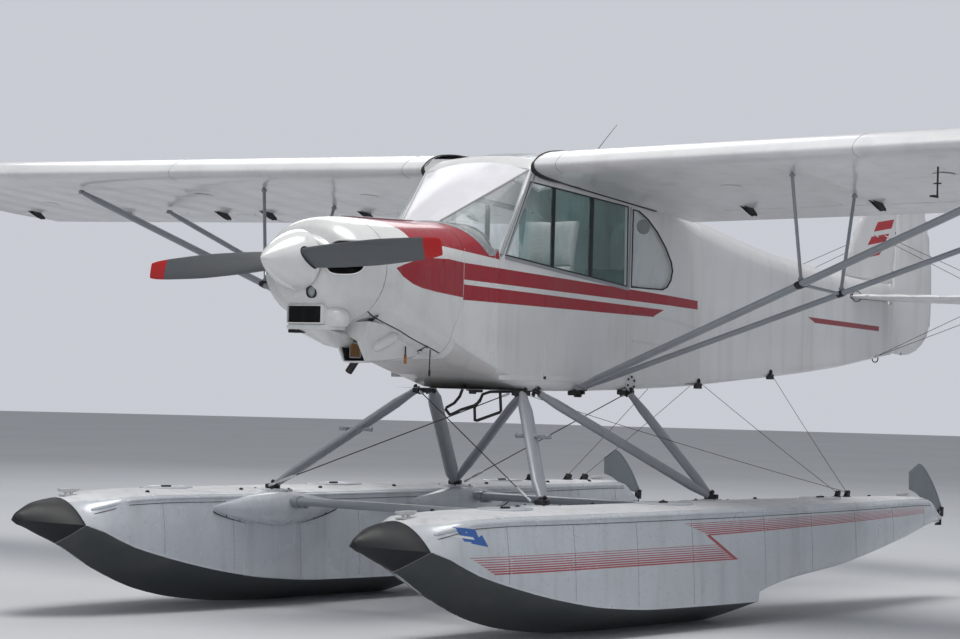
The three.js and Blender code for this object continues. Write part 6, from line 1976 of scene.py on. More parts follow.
def fairing_bar(bm: BMesh, start: Vector, end: Vector, chord: float, thick: float, fore: Vector,
                necked: bool = True, count: int = 24) -> None:
    """Lays a streamlined bar whose ends draw in.

    Args:
        bm: The mesh that it joins.
        start: Centre of one end.
        end: Centre of the other.
        chord: Width along the flight path.
        thick: Its thickness.
        fore: Rough direction of its front edge.
        necked: Whether the section draws in near both ends.
        count: Points round the section.
    """
    axis = (end - start).normalized()
    ahead = (fore - axis * fore.dot(axis)).normalized()
    over = axis.cross(ahead)
    length = (end - start).length
    neck = [(0.0, 0.60), (0.03, 0.64), (0.12, 1.0)] if necked else [(0.0, 1.0)]
    stations = [*neck, *[(length - d, keep) for d, keep in reversed(neck)]]
    rings = []
    for d, keep in stations:
        ring = []
        for k in range(count):
            a = k / count * math.tau
            wide, deep = math.cos(a), math.sin(a) * (1 + 0.25 * math.cos(a))
            ring.append(start + axis * d + ahead * wide * chord / 2 * keep + over * deep * thick / 2 * keep ** 0.4)
        rings.append(ring)
    loft(bm, rings)


@dataclass
class Struts:
    """Lift struts with their jury struts on both sides."""

    foot: Point = (0.384, -0.985, 1.222)
    front: Pair = (3.380, -1.190)
    rear: Pair = (3.346, -0.432)
    front_size: Pair = (0.086, 0.034)
    rear_size: Pair = (0.062, 0.028)
    jury_x: float = 1.860
    jury_tops: tuple[float, float] = (-1.165, -0.520)
    jury_radius: float = 0.011
    wing: Wing = field(default_factory=Wing)

    def under_wing(self, x: float, y: float) -> float:
        """Returns the height of the wing's underside."""
        wing = self.wing
        return (wing.rear_z - (y - wing.rear_y) * math.tan(wing.pitch)
                + (x - wing.root) * math.tan(wing.dihedral))

    def build(self) -> None:
        """Builds struts, forks and jury struts."""
        bm = bmesh.new()
        forward = Vector((0, -1, 0))
        x, y, z = self.foot
        tops = {}
        for name, (top_x, top_y), (chord, thick), foot_y in (
                ("front", self.front, self.front_size, y - 0.02), ("rear", self.rear, self.rear_size, y + 0.03)):
            start = Vector((x, foot_y, z))
            end = Vector((top_x, top_y, self.under_wing(top_x, top_y) - 0.018))
            tops[name] = (start, end)
            axis = (end - start).normalized()
            fairing_bar(bm, start + axis * 0.05, end - axis * 0.055, chord, thick, forward)
            for at, sign in ((start, 1), (end, -1)):
                fork = at + axis * sign * 0.02
                rod(bm, at + axis * sign * 0.005, at + axis * sign * 0.085, 0.011, 12)
                rod(bm, fork - forward * 0.016, fork + forward * 0.016, 0.013, 14)
        add_pair("lift_strut_bars", bm, STRUT_GREY, Body.AIRFRAME, Slot.STRUT, ["lift_struts"])
        jury = bmesh.new()
        middle = []
        for (name, (start, end)), top_y in zip(tops.items(), self.jury_tops):
            share = (self.jury_x - start.x) / (end.x - start.x)
            low = start.lerp(end, share)
            middle.append(low)
            high = Vector((self.jury_x - 0.03, top_y, self.under_wing(self.jury_x - 0.03, top_y) + 0.002))
            fairing_bar(jury, low + Vector((0, 0, 0.008)), high, 0.026, 0.014, forward, necked=False, count=16)
            for at in (low.lerp(high, 0.05), high.lerp(low, 0.03)):
                rod(jury, at - Vector((0, 0.014, 0)), at + Vector((0, 0.014, 0)), 0.010, 10)
        rod(jury, middle[0], middle[1], self.jury_radius * 0.8, 10)
        add_pair("jury_strut_bars", jury, STRUT_GREY, Body.AIRFRAME, Slot.STRUT)
        cuffs = bmesh.new()
        for name, (start, end) in tops.items():
            axis = (end - start).normalized()
            share = (self.jury_x - start.x) / (end.x - start.x)
            chord, thick = self.front_size if name == "front" else self.rear_size
            centre = start.lerp(end, share)
            fairing_bar(cuffs, centre - axis * 0.016, centre + axis * 0.016, chord + 0.006, thick + 0.006, forward,
                        necked=False)
        add_pair("jury_cuffs", cuffs, DARK_METAL, Body.AIRFRAME, Slot.STRUT)


# Floats


def band(low: Pair, high: Pair, drop: float, rise: float, slant: Pair) -> tuple[Pair, ...]:
    """Returns the outline of a stripe along Y, anticlockwise.

    Args:
        low: First y and z of its lower edge.
        high: Last y and z of its lower edge.
        drop: Height of the stripe at its first end.
        rise: Height at its last end.
        slant: How far the upper corners lean along y at the first and the last end.
    """
    return (low, high, (high[0] + slant[1], high[1] + rise), (low[0] + slant[0], low[1] + drop))


FLOAT_RED = (0.40, 0.045, 0.055)
FLOAT_BLUE = (0.02, 0.12, 0.42)
OUTBOARD = (Plane.PLAN, ((0.02, -4.0), (0.60, -4.0), (0.60, 2.2), (0.02, 2.2)))


def fine_lines(outline_of: Callable[[float], tuple[Pair, ...]], count: int, pitch: float) -> tuple[Mark, ...]:
    """Returns painted lines above each other, the lowest the thickest.

    Args:
        outline_of: Gives the line's outline for a height above the lowest line and its thickness.
        count: Number of lines.
        pitch: Height from line to line.
    """
    return tuple(Mark(FLOAT_RED, (OUTBOARD, (Plane.SIDE, outline_of(k * pitch, pitch * (0.66 - 0.055 * k)))), 1.125)
                 for k in range(count))


FLOAT_MARKS = (
    *fine_lines(lambda up, thick: band((-3.051 - up * 1.9, 0.352 + up), (-0.994 - up * 2.1, 0.352 + up),
                                       thick, thick, (-0.01, -0.012)), 8, 0.0115),
    *fine_lines(lambda up, thick: band((-1.254 - up * 3.4, 0.484 + up), (1.40, 0.531 + up * 0.55),
                                       thick, thick * 0.3, (-0.02, -0.03)), 7, 0.0105),
    Mark(FLOAT_RED, (OUTBOARD, (Plane.SIDE, ((-1.03, 0.352), (-0.994, 0.352), (-1.254, 0.487), (-1.290, 0.487)))),
         1.125),
    Mark(FLOAT_BLUE, (OUTBOARD, (Plane.SIDE, ((-3.235, 0.512), (-3.13, 0.500), (-3.16, 0.566), (-3.270, 0.578)))),
         1.125),
    Mark(FLOAT_BLUE, (OUTBOARD, (Plane.SIDE, ((-3.20, 0.502), (-3.085, 0.482), (-3.12, 0.540)))), 1.125),
    Mark((0.75, 0.77, 0.80),
         (OUTBOARD, (Plane.SIDE, ((-3.31, 0.536), (-3.17, 0.518), (-3.18, 0.530), (-3.32, 0.549)))),
         1.125),
)
FLOAT_PAINT = Finish("hull_paint", (0.60, 0.63, 0.67), roughness=0.26, metallic=0.1, coat=0.5, dirt=0.22,
                     dirt_scale=0.7,
                     grain=0.04, grain_scale=8.0, scuffs=0.12, marks=FLOAT_MARKS)
# Painted shade: this near-black stands for the shade and dark reflection on the hull's bottom, not for its paint.
HULL_BOTTOM_SHADE = Finish("float_bottom_painted_shade", (0.045, 0.055, 0.060), roughness=0.36, coat=0.2, dirt=0.22, dirt_scale=0.9,
                      grain=0.05, grain_scale=10.0)
DECK_PAINT = Finish("deck_paint", (0.70, 0.71, 0.73), roughness=0.45, dirt=0.25, grain=0.30, grain_scale=160.0,
                    scuffs=0.10)
BUMPER_BLACK = Finish("bumper_black", (0.004, 0.005, 0.007), roughness=0.5, dirt=0.04, grain=0.10,
                      grain_scale=120.0, dirt_colour=(0.09, 0.09, 0.09), scuffs=0.10)
PALE_METAL = Finish("pale_metal", (0.66, 0.67, 0.68), roughness=0.36, metallic=0.55, dirt=0.2, grain=0.05,
                    grain_scale=90.0)
RUDDER_SLATE = Finish("rudder_slate", (0.22, 0.25, 0.27), roughness=0.42, metallic=0.35, dirt=0.16, grain=0.05,
                      grain_scale=50.0, scuffs=0.10)


@dataclass
class Floats:
    """The twin floats with their bumpers, deck fittings, spreader bars and the fairings round their ends."""

    centre: float = 1.125
    bumper_y: float = -3.440
    arch_end: float = -3.180
    deck_round: float = 0.034
    spreader_z: float = 0.572
    spreader_size: Pair = (0.096, 0.046)
    spreader_y: Pair = (-2.060, -0.436)
    fairing: Pair = (0.500, 0.105)
    fairing_low: float = 0.438
    strut_feet: tuple[Pair, ...] = ((0.925, -2.018), (0.911, -0.422))
    cleats: tuple[Pair, ...] = ((-3.352, 0.645), (1.345, 0.652))
    bulkheads: tuple[float, ...] = (-2.95, -2.45, -1.92, -1.42, -0.72, -0.20, 0.33, 0.86, 1.36)
    # y, keel z, chine z, chine half width, deck half width, deck edge z, crown z
    rows: tuple[tuple[float, ...], ...] = (
        (-3.722, 0.478, 0.488, 0.018, 0.017, 0.508, 0.512), (-3.708, 0.468, 0.487, 0.038, 0.034, 0.520, 0.526),
        (-3.670, 0.456, 0.486, 0.068, 0.058, 0.532, 0.545), (-3.580, 0.418, 0.478, 0.140, 0.122, 0.560, 0.579),
        (-3.440, 0.362, 0.466, 0.226, 0.204, 0.584, 0.599), (-3.150, 0.214, 0.352, 0.287, 0.258, 0.606, 0.624),
        (-2.850, 0.104, 0.272, 0.318, 0.288, 0.616, 0.635), (-2.560, 0.046, 0.212, 0.334, 0.302, 0.616, 0.636),
        (-2.200, 0.012, 0.160, 0.340, 0.308, 0.616, 0.636), (-1.750, 0.000, 0.132, 0.341, 0.308, 0.616, 0.636),
        (-0.800, 0.000, 0.124, 0.340, 0.306, 0.616, 0.636), (-0.788, 0.076, 0.178, 0.338, 0.306, 0.616, 0.636),
        (0.200, 0.212, 0.292, 0.286, 0.262, 0.616, 0.634), (1.000, 0.336, 0.398, 0.196, 0.182, 0.616, 0.630),
        (1.505, 0.425, 0.470, 0.112, 0.104, 0.608, 0.620), (1.765, 0.474, 0.486, 0.046, 0.042, 0.496, 0.498))
    chine_at: float = 0.30
    edge_at: float = 0.62
    deck_at: float = 0.78
    hatch_rows: tuple[tuple[float, ...], ...] = ((-2.62, 0.17, 0.115), (-1.25, 0.20, 0.13), (0.35, 0.16, 0.105))
    pump_out_y: tuple[float, ...] = (-2.95, -2.25, -1.60, -0.95, -0.05, 0.62, 1.12)

    def __post_init__(self) -> None:
        """Works out a curve for each measure."""
        self.courses = [Course(tuple((row[0], row[k]) for row in self.rows)) for k in range(1, 7)]

    def at(self, y: float, t: float, out: float = 0.0) -> Vector:
        """Returns a point of the outboard half of the skin.

        Args:
            y: Place along the float.
            t: Way round, 0 at the keel and 1 at the crown.
            out: Height over the skin.
        """
        keel, chine, beam, deck, edge, crown = (course.at(y) for course in self.courses)
        if t <= self.chine_at:
            s = t / self.chine_at
            return Vector((self.centre + beam * s + out * s, y, blend_values(keel, chine, s ** 1.08) - out))
        side = (t - self.chine_at) / (1 - self.chine_at) * math.pi / 2
        arch = Vector(((beam + out) * math.cos(side), 0, chine + (crown + out - chine) * math.sin(side) ** 2))
        turn = min(self.deck_round, deck * 0.5, (edge - chine) * 0.6)
        if t < self.edge_at:
            s = (t - self.chine_at) / (self.edge_at - self.chine_at)
            box = Vector((blend_values(beam, deck, s) + 0.006 * math.sin(math.pi * s) + out, 0,
                          blend_values(chine, edge - turn, s)))
        elif t < self.deck_at:
            a = (t - self.edge_at) / (self.deck_at - self.edge_at) * math.pi / 2
            box = Vector((deck - turn + (turn + out) * math.cos(a), 0, edge - turn + (turn + out) * math.sin(a)))
        else:
            x = (deck - turn) * (1 - (t - self.deck_at) / (1 - self.deck_at))
            box = Vector((x, 0, edge + out + (crown - edge) * (1 - (x / max(1e-6, deck - turn)) ** 2)))
        share = min(1.0, max(0.0, (self.arch_end - y) / (self.arch_end - self.bumper_y)))
        place = box.lerp(arch, share * share * (3 - 2 * share))
        return Vector((self.centre + place.x, y, place.z))

    def around(self, y: float, v: float, out: float = 0.0) -> Vector:
        """Returns a point of the whole section, v from the keel up outboard and down inboard."""
        if v <= 0.5:
            return self.at(y, v * 2, out)
        point = self.at(y, (1 - v) * 2, out)
        point.x = 2 * self.centre - point.x
        return point

    def deck(self, x: float, y: float) -> float:
        """Returns the height of the deck at a place, x from the float's centre line."""
        low, high = self.deck_at, 1.0
        for _ in range(24):
            middle = (low + high) / 2
            if self.at(y, middle).x - self.centre > abs(x):
                low = middle
            else:
                high = middle
        return self.at(y, low).z

    def stations(self, first: float, last: float, pace: float) -> list[float]:
        """Returns places along the float between two, with every row's own."""
        inner = [row[0] for row in self.rows if first < row[0] < last]
        marks = [first, *inner, last]
        found = [first]
        for low, high in zip(marks, marks[1:]):
            found += steps(low, high, max(1, round((high - low) / pace)))[1:]
        return found

    def build(self) -> None:
        """Builds floats, bumpers, fairings, bars and fittings."""
        self.hull()
        self.edges()
        self.rivets()
        self.fairings()
        self.spreaders()
        self.deck_fittings()
        self.mooring_cleats()

    def shell(self, places: Sequence[float], out: float = 0.0) -> BMesh:
        """Lofts a stretch of the float."""
        bm = bmesh.new()
        sides = [k / 100 for k in range(100)]
        loft(bm, [[self.around(y, v, out) for v in sides] for y in places])
        face_out(bm)
        return bm

    def hull(self) -> None:
        """Builds the hull in its side and deck paints, with the bottom painted near-black as shade, and the rubber
        bumper at the bow.
        """
        bm = self.shell(self.stations(self.bumper_y + 0.0015, self.rows[-1][0], 0.05))
        deck_low = 0.004
        for face in bm.faces:
            middle = face.calc_center_median()
            normal = face.normal
            # Faces that look down get the painted shade; level faces on the deck get the deck paint.
            if normal.z < -0.25:
                face.material_index = 1
            elif (normal.z > 0.9 and abs(middle.x - self.centre)
                  < self.courses[3].at(middle.y) - deck_low - self.deck_round):
                face.material_index = 2
        brackets = bmesh.new()
        for z in (0.464, 0.490):
            block(brackets, (self.centre - 0.012, 1.690, z - 0.006), (self.centre + 0.012, 1.790, z + 0.006), 0.002)
            spun(brackets, [(0.0, -0.006), (0.012, -0.006), (0.012, 0.006), (0.0, 0.006)],
                 Vector((self.centre, 1.790, z)), Vector((0, 0, 1)), 20)
        add_pair("rudder_brackets", brackets, PALE_METAL, Body.AIRFRAME, Slot.FLOAT)
        add_pair("float_hull", bm, [FLOAT_PAINT, HULL_BOTTOM_SHADE, DECK_PAINT], Body.AIRFRAME, Slot.FLOAT, ["float"],
                 smooth=24)
        nose = self.shell(self.stations(self.rows[0][0], self.bumper_y - 0.0015, 0.012))
        ends = [e for e in nose.edges if e.calc_face_angle(0) > math.radians(60)]
        bmesh.ops.bevel(nose, geom=ends, offset=0.004, offset_type="OFFSET", affect="EDGES", segments=2,
                        profile=0.5, material=-1, clamp_overlap=True)
        add_pair("bow_bumper", nose, BUMPER_BLACK, Body.AIRFRAME, Slot.BUMPER, ["bumper"], smooth=40)

    def edges(self) -> None:
        """Builds the half-round along the deck edge, the chine strips, the keel strip and the hull's seams."""
        bead, seam = bmesh.new(), bmesh.new()
        for side in (1, -1):
            def over(y: float, t: float, out: float) -> Vector:
                """Returns a point on one side of the hull."""
                point = self.at(y, t, out)
                point.x = self.centre + side * (point.x - self.centre)
                return point
            places = self.stations(-3.36, 1.50, 0.10)
            tube(bead, [over(y, self.edge_at + 0.05, -0.002) for y in places], 0.0085, 8)
            tube(seam, [over(y, self.edge_at - 0.008, 0.0002) for y in places], 0.0018, 6)
            for first, last in ((-3.42, -0.81), (-0.78, 1.74)):
                tube(bead, [over(y, self.chine_at, -0.001) for y in self.stations(first, last, 0.08)], 0.0045, 6)
        for first, last in ((-3.42, -0.81), (-0.77, 1.72)):
            path = [Vector((self.centre, y, self.courses[0].at(y) + 0.006)) for y in self.stations(first, last, 0.10)]
            tube(bead, path, 0.0058, 8)
        add_pair("float_edge_strips", bead, FLOAT_PAINT, Body.AIRFRAME, Slot.FLOAT)
        for y in self.bulkheads:
            for side in (1, -1):
                line = []
                for t in steps(self.chine_at + 0.01, self.edge_at - 0.01, 10):
                    point = self.at(y, t, -0.0004)
                    line.append(Vector((self.centre + side * (point.x - self.centre), y, point.z)))
                tube(seam, line, 0.0011, 5)
        add_pair("float_seams", seam, DARK_METAL, Body.AIRFRAME, Slot.FLOAT)

    def rivets(self) -> None:
        """Builds the rows of rivets along the bulkheads and the deck edges."""
        bm = bmesh.new()
        for y in self.bulkheads:
            for shift in (-0.016, 0.016):
                self.rivet_line(bm, [(y + shift, t) for t in steps(self.chine_at + 0.012, self.edge_at - 0.012, 15)])
        pace = 0.085
        count = round((1.40 + 3.30) / pace)
        self.rivet_line(bm, [(y, self.edge_at - 0.020) for y in steps(-3.30, 1.40, count)])
        add_pair("float_rivets", bm, PALE_METAL, Body.AIRFRAME, Slot.FLOAT)

    def rivet_line(self, bm: BMesh, places: Iterable[Pair]) -> None:
        """Adds rivets at places given by y and the way round, on both sides of the float."""
        for y, t in places:
            here, above, along = self.at(y, t), self.at(y, t + 0.004), self.at(y + 0.004, t)
            out = (above - here).cross(along - here).normalized()
            out = out if out.x > 0 else -out
            dome(bm, here - out * 0.0005, out, 0.0036, 0.0020, 6)
            twin = Vector((2 * self.centre - here.x, here.y, here.z))
            back = Vector((-out.x, out.y, out.z))
            dome(bm, twin - back * 0.0005, back, 0.0036, 0.0020, 6)

    def fairings(self) -> None:
        """Builds the pointed fairings that carry the spreader bars inboard, each with its flange."""
        bm, rim = bmesh.new(), bmesh.new()
        half, bulge = self.fairing
        for middle in self.spreader_y:
            centre = middle - 0.04
            rings, flange = [], []
            for s in steps(-0.999, 0.999, 40):
                y = centre + half * s
                wall = 2 * self.centre - self.at(y, 0.56).x
                grow = 1 - abs(s) ** 1.45
                top = blend_values(0.545, self.courses[4].at(y) + 0.006, grow ** 0.8)
                low = blend_values(0.535, self.fairing_low, grow ** 0.8)
                ring = []
                for a in steps(-math.pi / 2, math.pi / 2, 14):
                    up = (top + low) / 2 + (top - low) / 2 * math.sin(a)
                    reach = bulge * grow * max(0.0, math.cos(a)) ** (0.45 if a > 0 else 0.8)
                    ring.append(Vector((wall + 0.004 - reach, y, up)))
                ring += [Vector((wall + 0.06, y, top)), Vector((wall + 0.06, y, low))]
                rings.append(ring)
                flange.append(Vector((wall - 0.003, y, low - 0.012)))
            loft(bm, rings)
            tube(rim, flange, 0.0032, 6)
            for point in flange[4:-4:4]:
                rod(rim, point + Vector((0, 0, -0.002)), point + Vector((0, 0, 0.016)), 0.0026, 6)
            for k in range(8):
                spot = Vector((2 * self.centre - self.at(middle, self.edge_at + 0.08).x + 0.012,
                               middle - 0.08 + 0.0215 * k, 0))
                spot.z = self.deck(spot.x - self.centre, spot.y)
                dome(rim, spot - Vector((0, 0, 0.001)), Vector((0, 0, 1)), 0.0065, 0.006, 8)
        add_pair("spreader_fairings", bm, FLOAT_PAINT, Body.AIRFRAME, Slot.FLOAT, smooth=50)
        add_pair("fairing_flanges", rim, DARK_METAL, Body.AIRFRAME, Slot.FLOAT)

    def spreaders(self) -> None:
        """Builds the two streamlined bars between the floats and the collars at their ends."""
        chord, thick = self.spreader_size
        collars = bmesh.new()
        for name, y in zip(("front", "rear"), self.spreader_y):
            bm = bmesh.new()
            ends = [Vector((side * 0.80, y, self.spreader_z)) for side in (-1, 1)]
            fairing_bar(bm, *ends, chord, thick, Vector((0, -1, 0)), necked=False, count=32)
            add_piece(f"spreader_bar_{name}", bm, STRUT_GREY, Body.AIRFRAME.value, Slot.STRUT, [f"spreader_{name}"])
            start, end = Vector((0.665, y, self.spreader_z)), Vector((0.705, y, self.spreader_z))
            fairing_bar(collars, start, end, chord + 0.010, thick + 0.010, Vector((0, -1, 0)), necked=False, count=32)
            block(collars, (0.640, y - 0.010, self.spreader_z - 0.038), (0.700, y + 0.030, self.spreader_z - 0.022),
                  0.003)
        add_pair("spreader_collars", collars, STRUT_GREY, Body.AIRFRAME, Slot.STRUT)

    def deck_fittings(self) -> None:
        """Builds strut pads, hatch covers, pump-out balls and the cable pulleys on the decks."""
        pads, balls, pulleys = bmesh.new(), bmesh.new(), bmesh.new()
        for x, y in self.strut_feet:
            block(pads, (x - 0.038, y - 0.050, 0.580), (x + 0.038, y + 0.050, 0.632), 0.004)
            block(pads, (x - 0.075, y - 0.085, 0.612), (x + 0.075, y + 0.085, self.deck(x - self.centre, y) + 0.004),
                  0.003)
            for dx in (-0.06, 0.06):
                for dy in (-0.07, 0.07):
                    spot = Vector((x + dx, y + dy, self.deck(x - self.centre, y) + 0.003))
                    dome(balls, spot, Vector((0, 0, 1)), 0.009, 0.007, 6)
        for y, long, wide in self.hatch_rows:
            crown = self.deck(0.0, y)
            ring = [(1.0, -0.006), (1.0, 0.002), (0.965, 0.0055), (0.90, 0.006), (0.86, 0.0035), (0.0, 0.004)]
            turn = Matrix.Translation((self.centre + 0.02, y, crown)) @ Matrix.Diagonal((wide, long, 1, 1))
            cover = bmesh.new()
            spun(cover, [(0.0, -0.006), *ring], Vector((0, 0, 0)), Vector((0, 0, 1)), 40)
            bmesh.ops.transform(cover, matrix=turn, verts=cover.verts)
            absorb(pads, cover)
            block(balls, (self.centre + 0.010, y - 0.030, crown + 0.003),
                  (self.centre + 0.030, y + 0.030, crown + 0.012),
                  0.003)
        for y in self.pump_out_y:
            x = -0.6 * self.courses[3].at(y)
            spot = Vector((self.centre + x, y, self.deck(x, y)))
            spun(balls,
                 [(0.0, -0.002), (0.011, -0.002), (0.012, 0.003), (0.010, 0.008), (0.005, 0.011), (0.0, 0.012)],
                 spot, Vector((0, 0, 1)), 14)
        for y in (0.59, 0.70):
            spot = Vector((self.centre - 0.01, y, self.deck(0, y)))
            block(pulleys, (spot.x - 0.016, y - 0.022, spot.z - 0.002), (spot.x + 0.016, y + 0.022, spot.z + 0.006),
                  0.002)
            for side in (-0.011, 0.008):
                plate(pulleys, [spot + Vector((side, dy, dz)) for dy, dz in
                                ((-0.020, 0.0), (0.016, 0.0), (0.026, 0.034), (0.004, 0.040))], Vector((0.003, 0, 0)))
            spun(pulleys, [(0.0, -0.007), (0.017, -0.007), (0.012, 0.0), (0.017, 0.007), (0.0, 0.007)],
                 spot + Vector((0, 0.004, 0.022)), Vector((1, 0, 0)), 20)
        add_pair("deck_pads", pads, FLOAT_PAINT, Body.AIRFRAME, Slot.FLOAT)
        add_pair("pump_out_balls", balls, BLACK_RUBBER, Body.AIRFRAME, Slot.BUMPER)
        add_pair("deck_pulleys", pulleys, DARK_METAL, Body.AIRFRAME, Slot.STRUT)

    def mooring_cleats(self) -> None:
        """Builds the two horned cleats on each deck."""
        bm = bmesh.new()
        for y, top in self.cleats:
            foot = self.deck(0, y) - 0.003
            block(bm, (self.centre - 0.024, y - 0.052, foot), (self.centre + 0.024, y + 0.052, foot + 0.007), 0.002)
            for dy in (-0.018, 0.018):
                rod(bm, Vector((self.centre, y + dy, foot)), Vector((self.centre, y + dy, top - 0.008)), 0.009, 12)
            reach = [(-0.075, 0.006), (-0.058, 0.0095), (-0.030, 0.011), (0.0, 0.0115), (0.030, 0.011),
                     (0.058, 0.0095),
                     (0.075, 0.006)]
            tube(bm, [Vector((self.centre, y + dy, top - 0.0115 + (0.0055 if abs(dy) > 0.07 else 0.0)))
                      for dy, _ in reach], [r for _, r in reach], 12)
        add_pair("deck_cleats", bm, PALE_METAL, Body.AIRFRAME, Slot.FLOAT)


@dataclass
class WaterRudders:
    """Steering posts on the sterns and the blades that are stored swung up on them."""

    centre: float = 1.125
    post_y: float = 1.790
    low: float = 0.440
    pin: float = 0.006
    blade_pin: Pair = (1.826, 0.540)
    thick: float = 0.008
    # y, z of the blade's edge, the round tip last
    outline: tuple[Pair, ...] = (
        (1.812, 0.531), (1.826, 0.525), (1.839, 0.534), (1.839, 0.548), (1.828, 0.566), (1.814, 0.582),
        (1.795, 0.609),
        (1.772, 0.640), (1.742, 0.676), (1.706, 0.712), (1.672, 0.744), (1.636, 0.774), (1.602, 0.798),
        (1.566, 0.815),
        (1.550, 0.8185), (1.533, 0.819), (1.478, 0.797), (1.424, 0.772), (1.4245, 0.718), (1.427, 0.664),
        (1.470, 0.653), (1.512, 0.642), (1.562, 0.619), (1.610, 0.596), (1.662, 0.572), (1.710, 0.550),
        (1.762, 0.540))

    def build(self) -> None:
        """Builds posts and blades."""
        self.posts()
        self.blades()

    def posts(self) -> None:
        """Builds the pin, arms, spine and cheeks of the post, with round heads at the blade's pin."""
        bm = bmesh.new()
        x, y = self.centre, self.post_y
        neck = self.blade_pin[1] - 0.028
        rod(bm, Vector((x, y, self.low)), Vector((x, y, neck - 0.004)), self.pin, 16)
        for z in (self.low + 0.005, neck - 0.005):
            block(bm, (x - 0.012, y - 0.012, z - 0.005), (x + 0.012, y + 0.025, z + 0.005), 0.002)
        block(bm, (x - 0.016, y + 0.015, self.low), (x + 0.016, y + 0.025, neck), 0.002)
        for side in (-0.016, 0.0095):
            block(bm, (x + side, y + 0.015, neck - 0.020), (x + side + 0.0065, self.blade_pin[0] + 0.014,
                                                             self.blade_pin[1] + 0.012), 0.0025)
        for side in (-1, 1):
            dome(bm, Vector((x + side * 0.016, *self.blade_pin)), Vector((side, 0, 0)), 0.009, 0.006, 8)
        add_pair("rudder_post", bm, DARK_METAL, Body.RUDDER_POST, Slot.STRUT, ["water_rudder_post"], sided=True)

    def blades(self) -> None:
        """Builds the blade, a thin plate with a stiffening bead and a boss at its pin."""
        bm = bmesh.new()
        half = self.thick / 2
        plate(bm, [Vector((self.centre - half, y, z)) for y, z in self.outline], Vector((self.thick, 0, 0)))
        edges = [e for e in bm.edges if e.calc_face_angle(0) > 1.2]
        bmesh.ops.bevel(bm, geom=edges, offset=0.002, offset_type="OFFSET", affect="EDGES", segments=2, profile=0.5,
                        material=-1, clamp_overlap=True)
        rod(bm, Vector((self.centre - 0.018, *self.blade_pin)), Vector((self.centre + 0.018, *self.blade_pin)),
            0.005, 14)
        middle = [(y * 0.86 + 1.64 * 0.14, z * 0.86 + 0.68 * 0.14) for y, z in self.outline]
        for side in (-1, 1):
            tube(bm, [Vector((self.centre + side * (half - 0.0005), y, z)) for y, z in middle], 0.0022, 6,
                 closed=True)
            for y, z in self.outline[2:-2:3]:
                spot = (y * 0.93 + 1.64 * 0.07, z * 0.93 + 0.68 * 0.07)
                dome(bm, Vector((self.centre + side * half, *spot)), Vector((side, 0, 0)), 0.0034, 0.0018, 6)
        add_pair("rudder_plate", bm, RUDDER_SLATE, Body.RUDDER_BLADE, Slot.WATER_RUDDER, ["water_rudder_blade"],
                 sided=True)


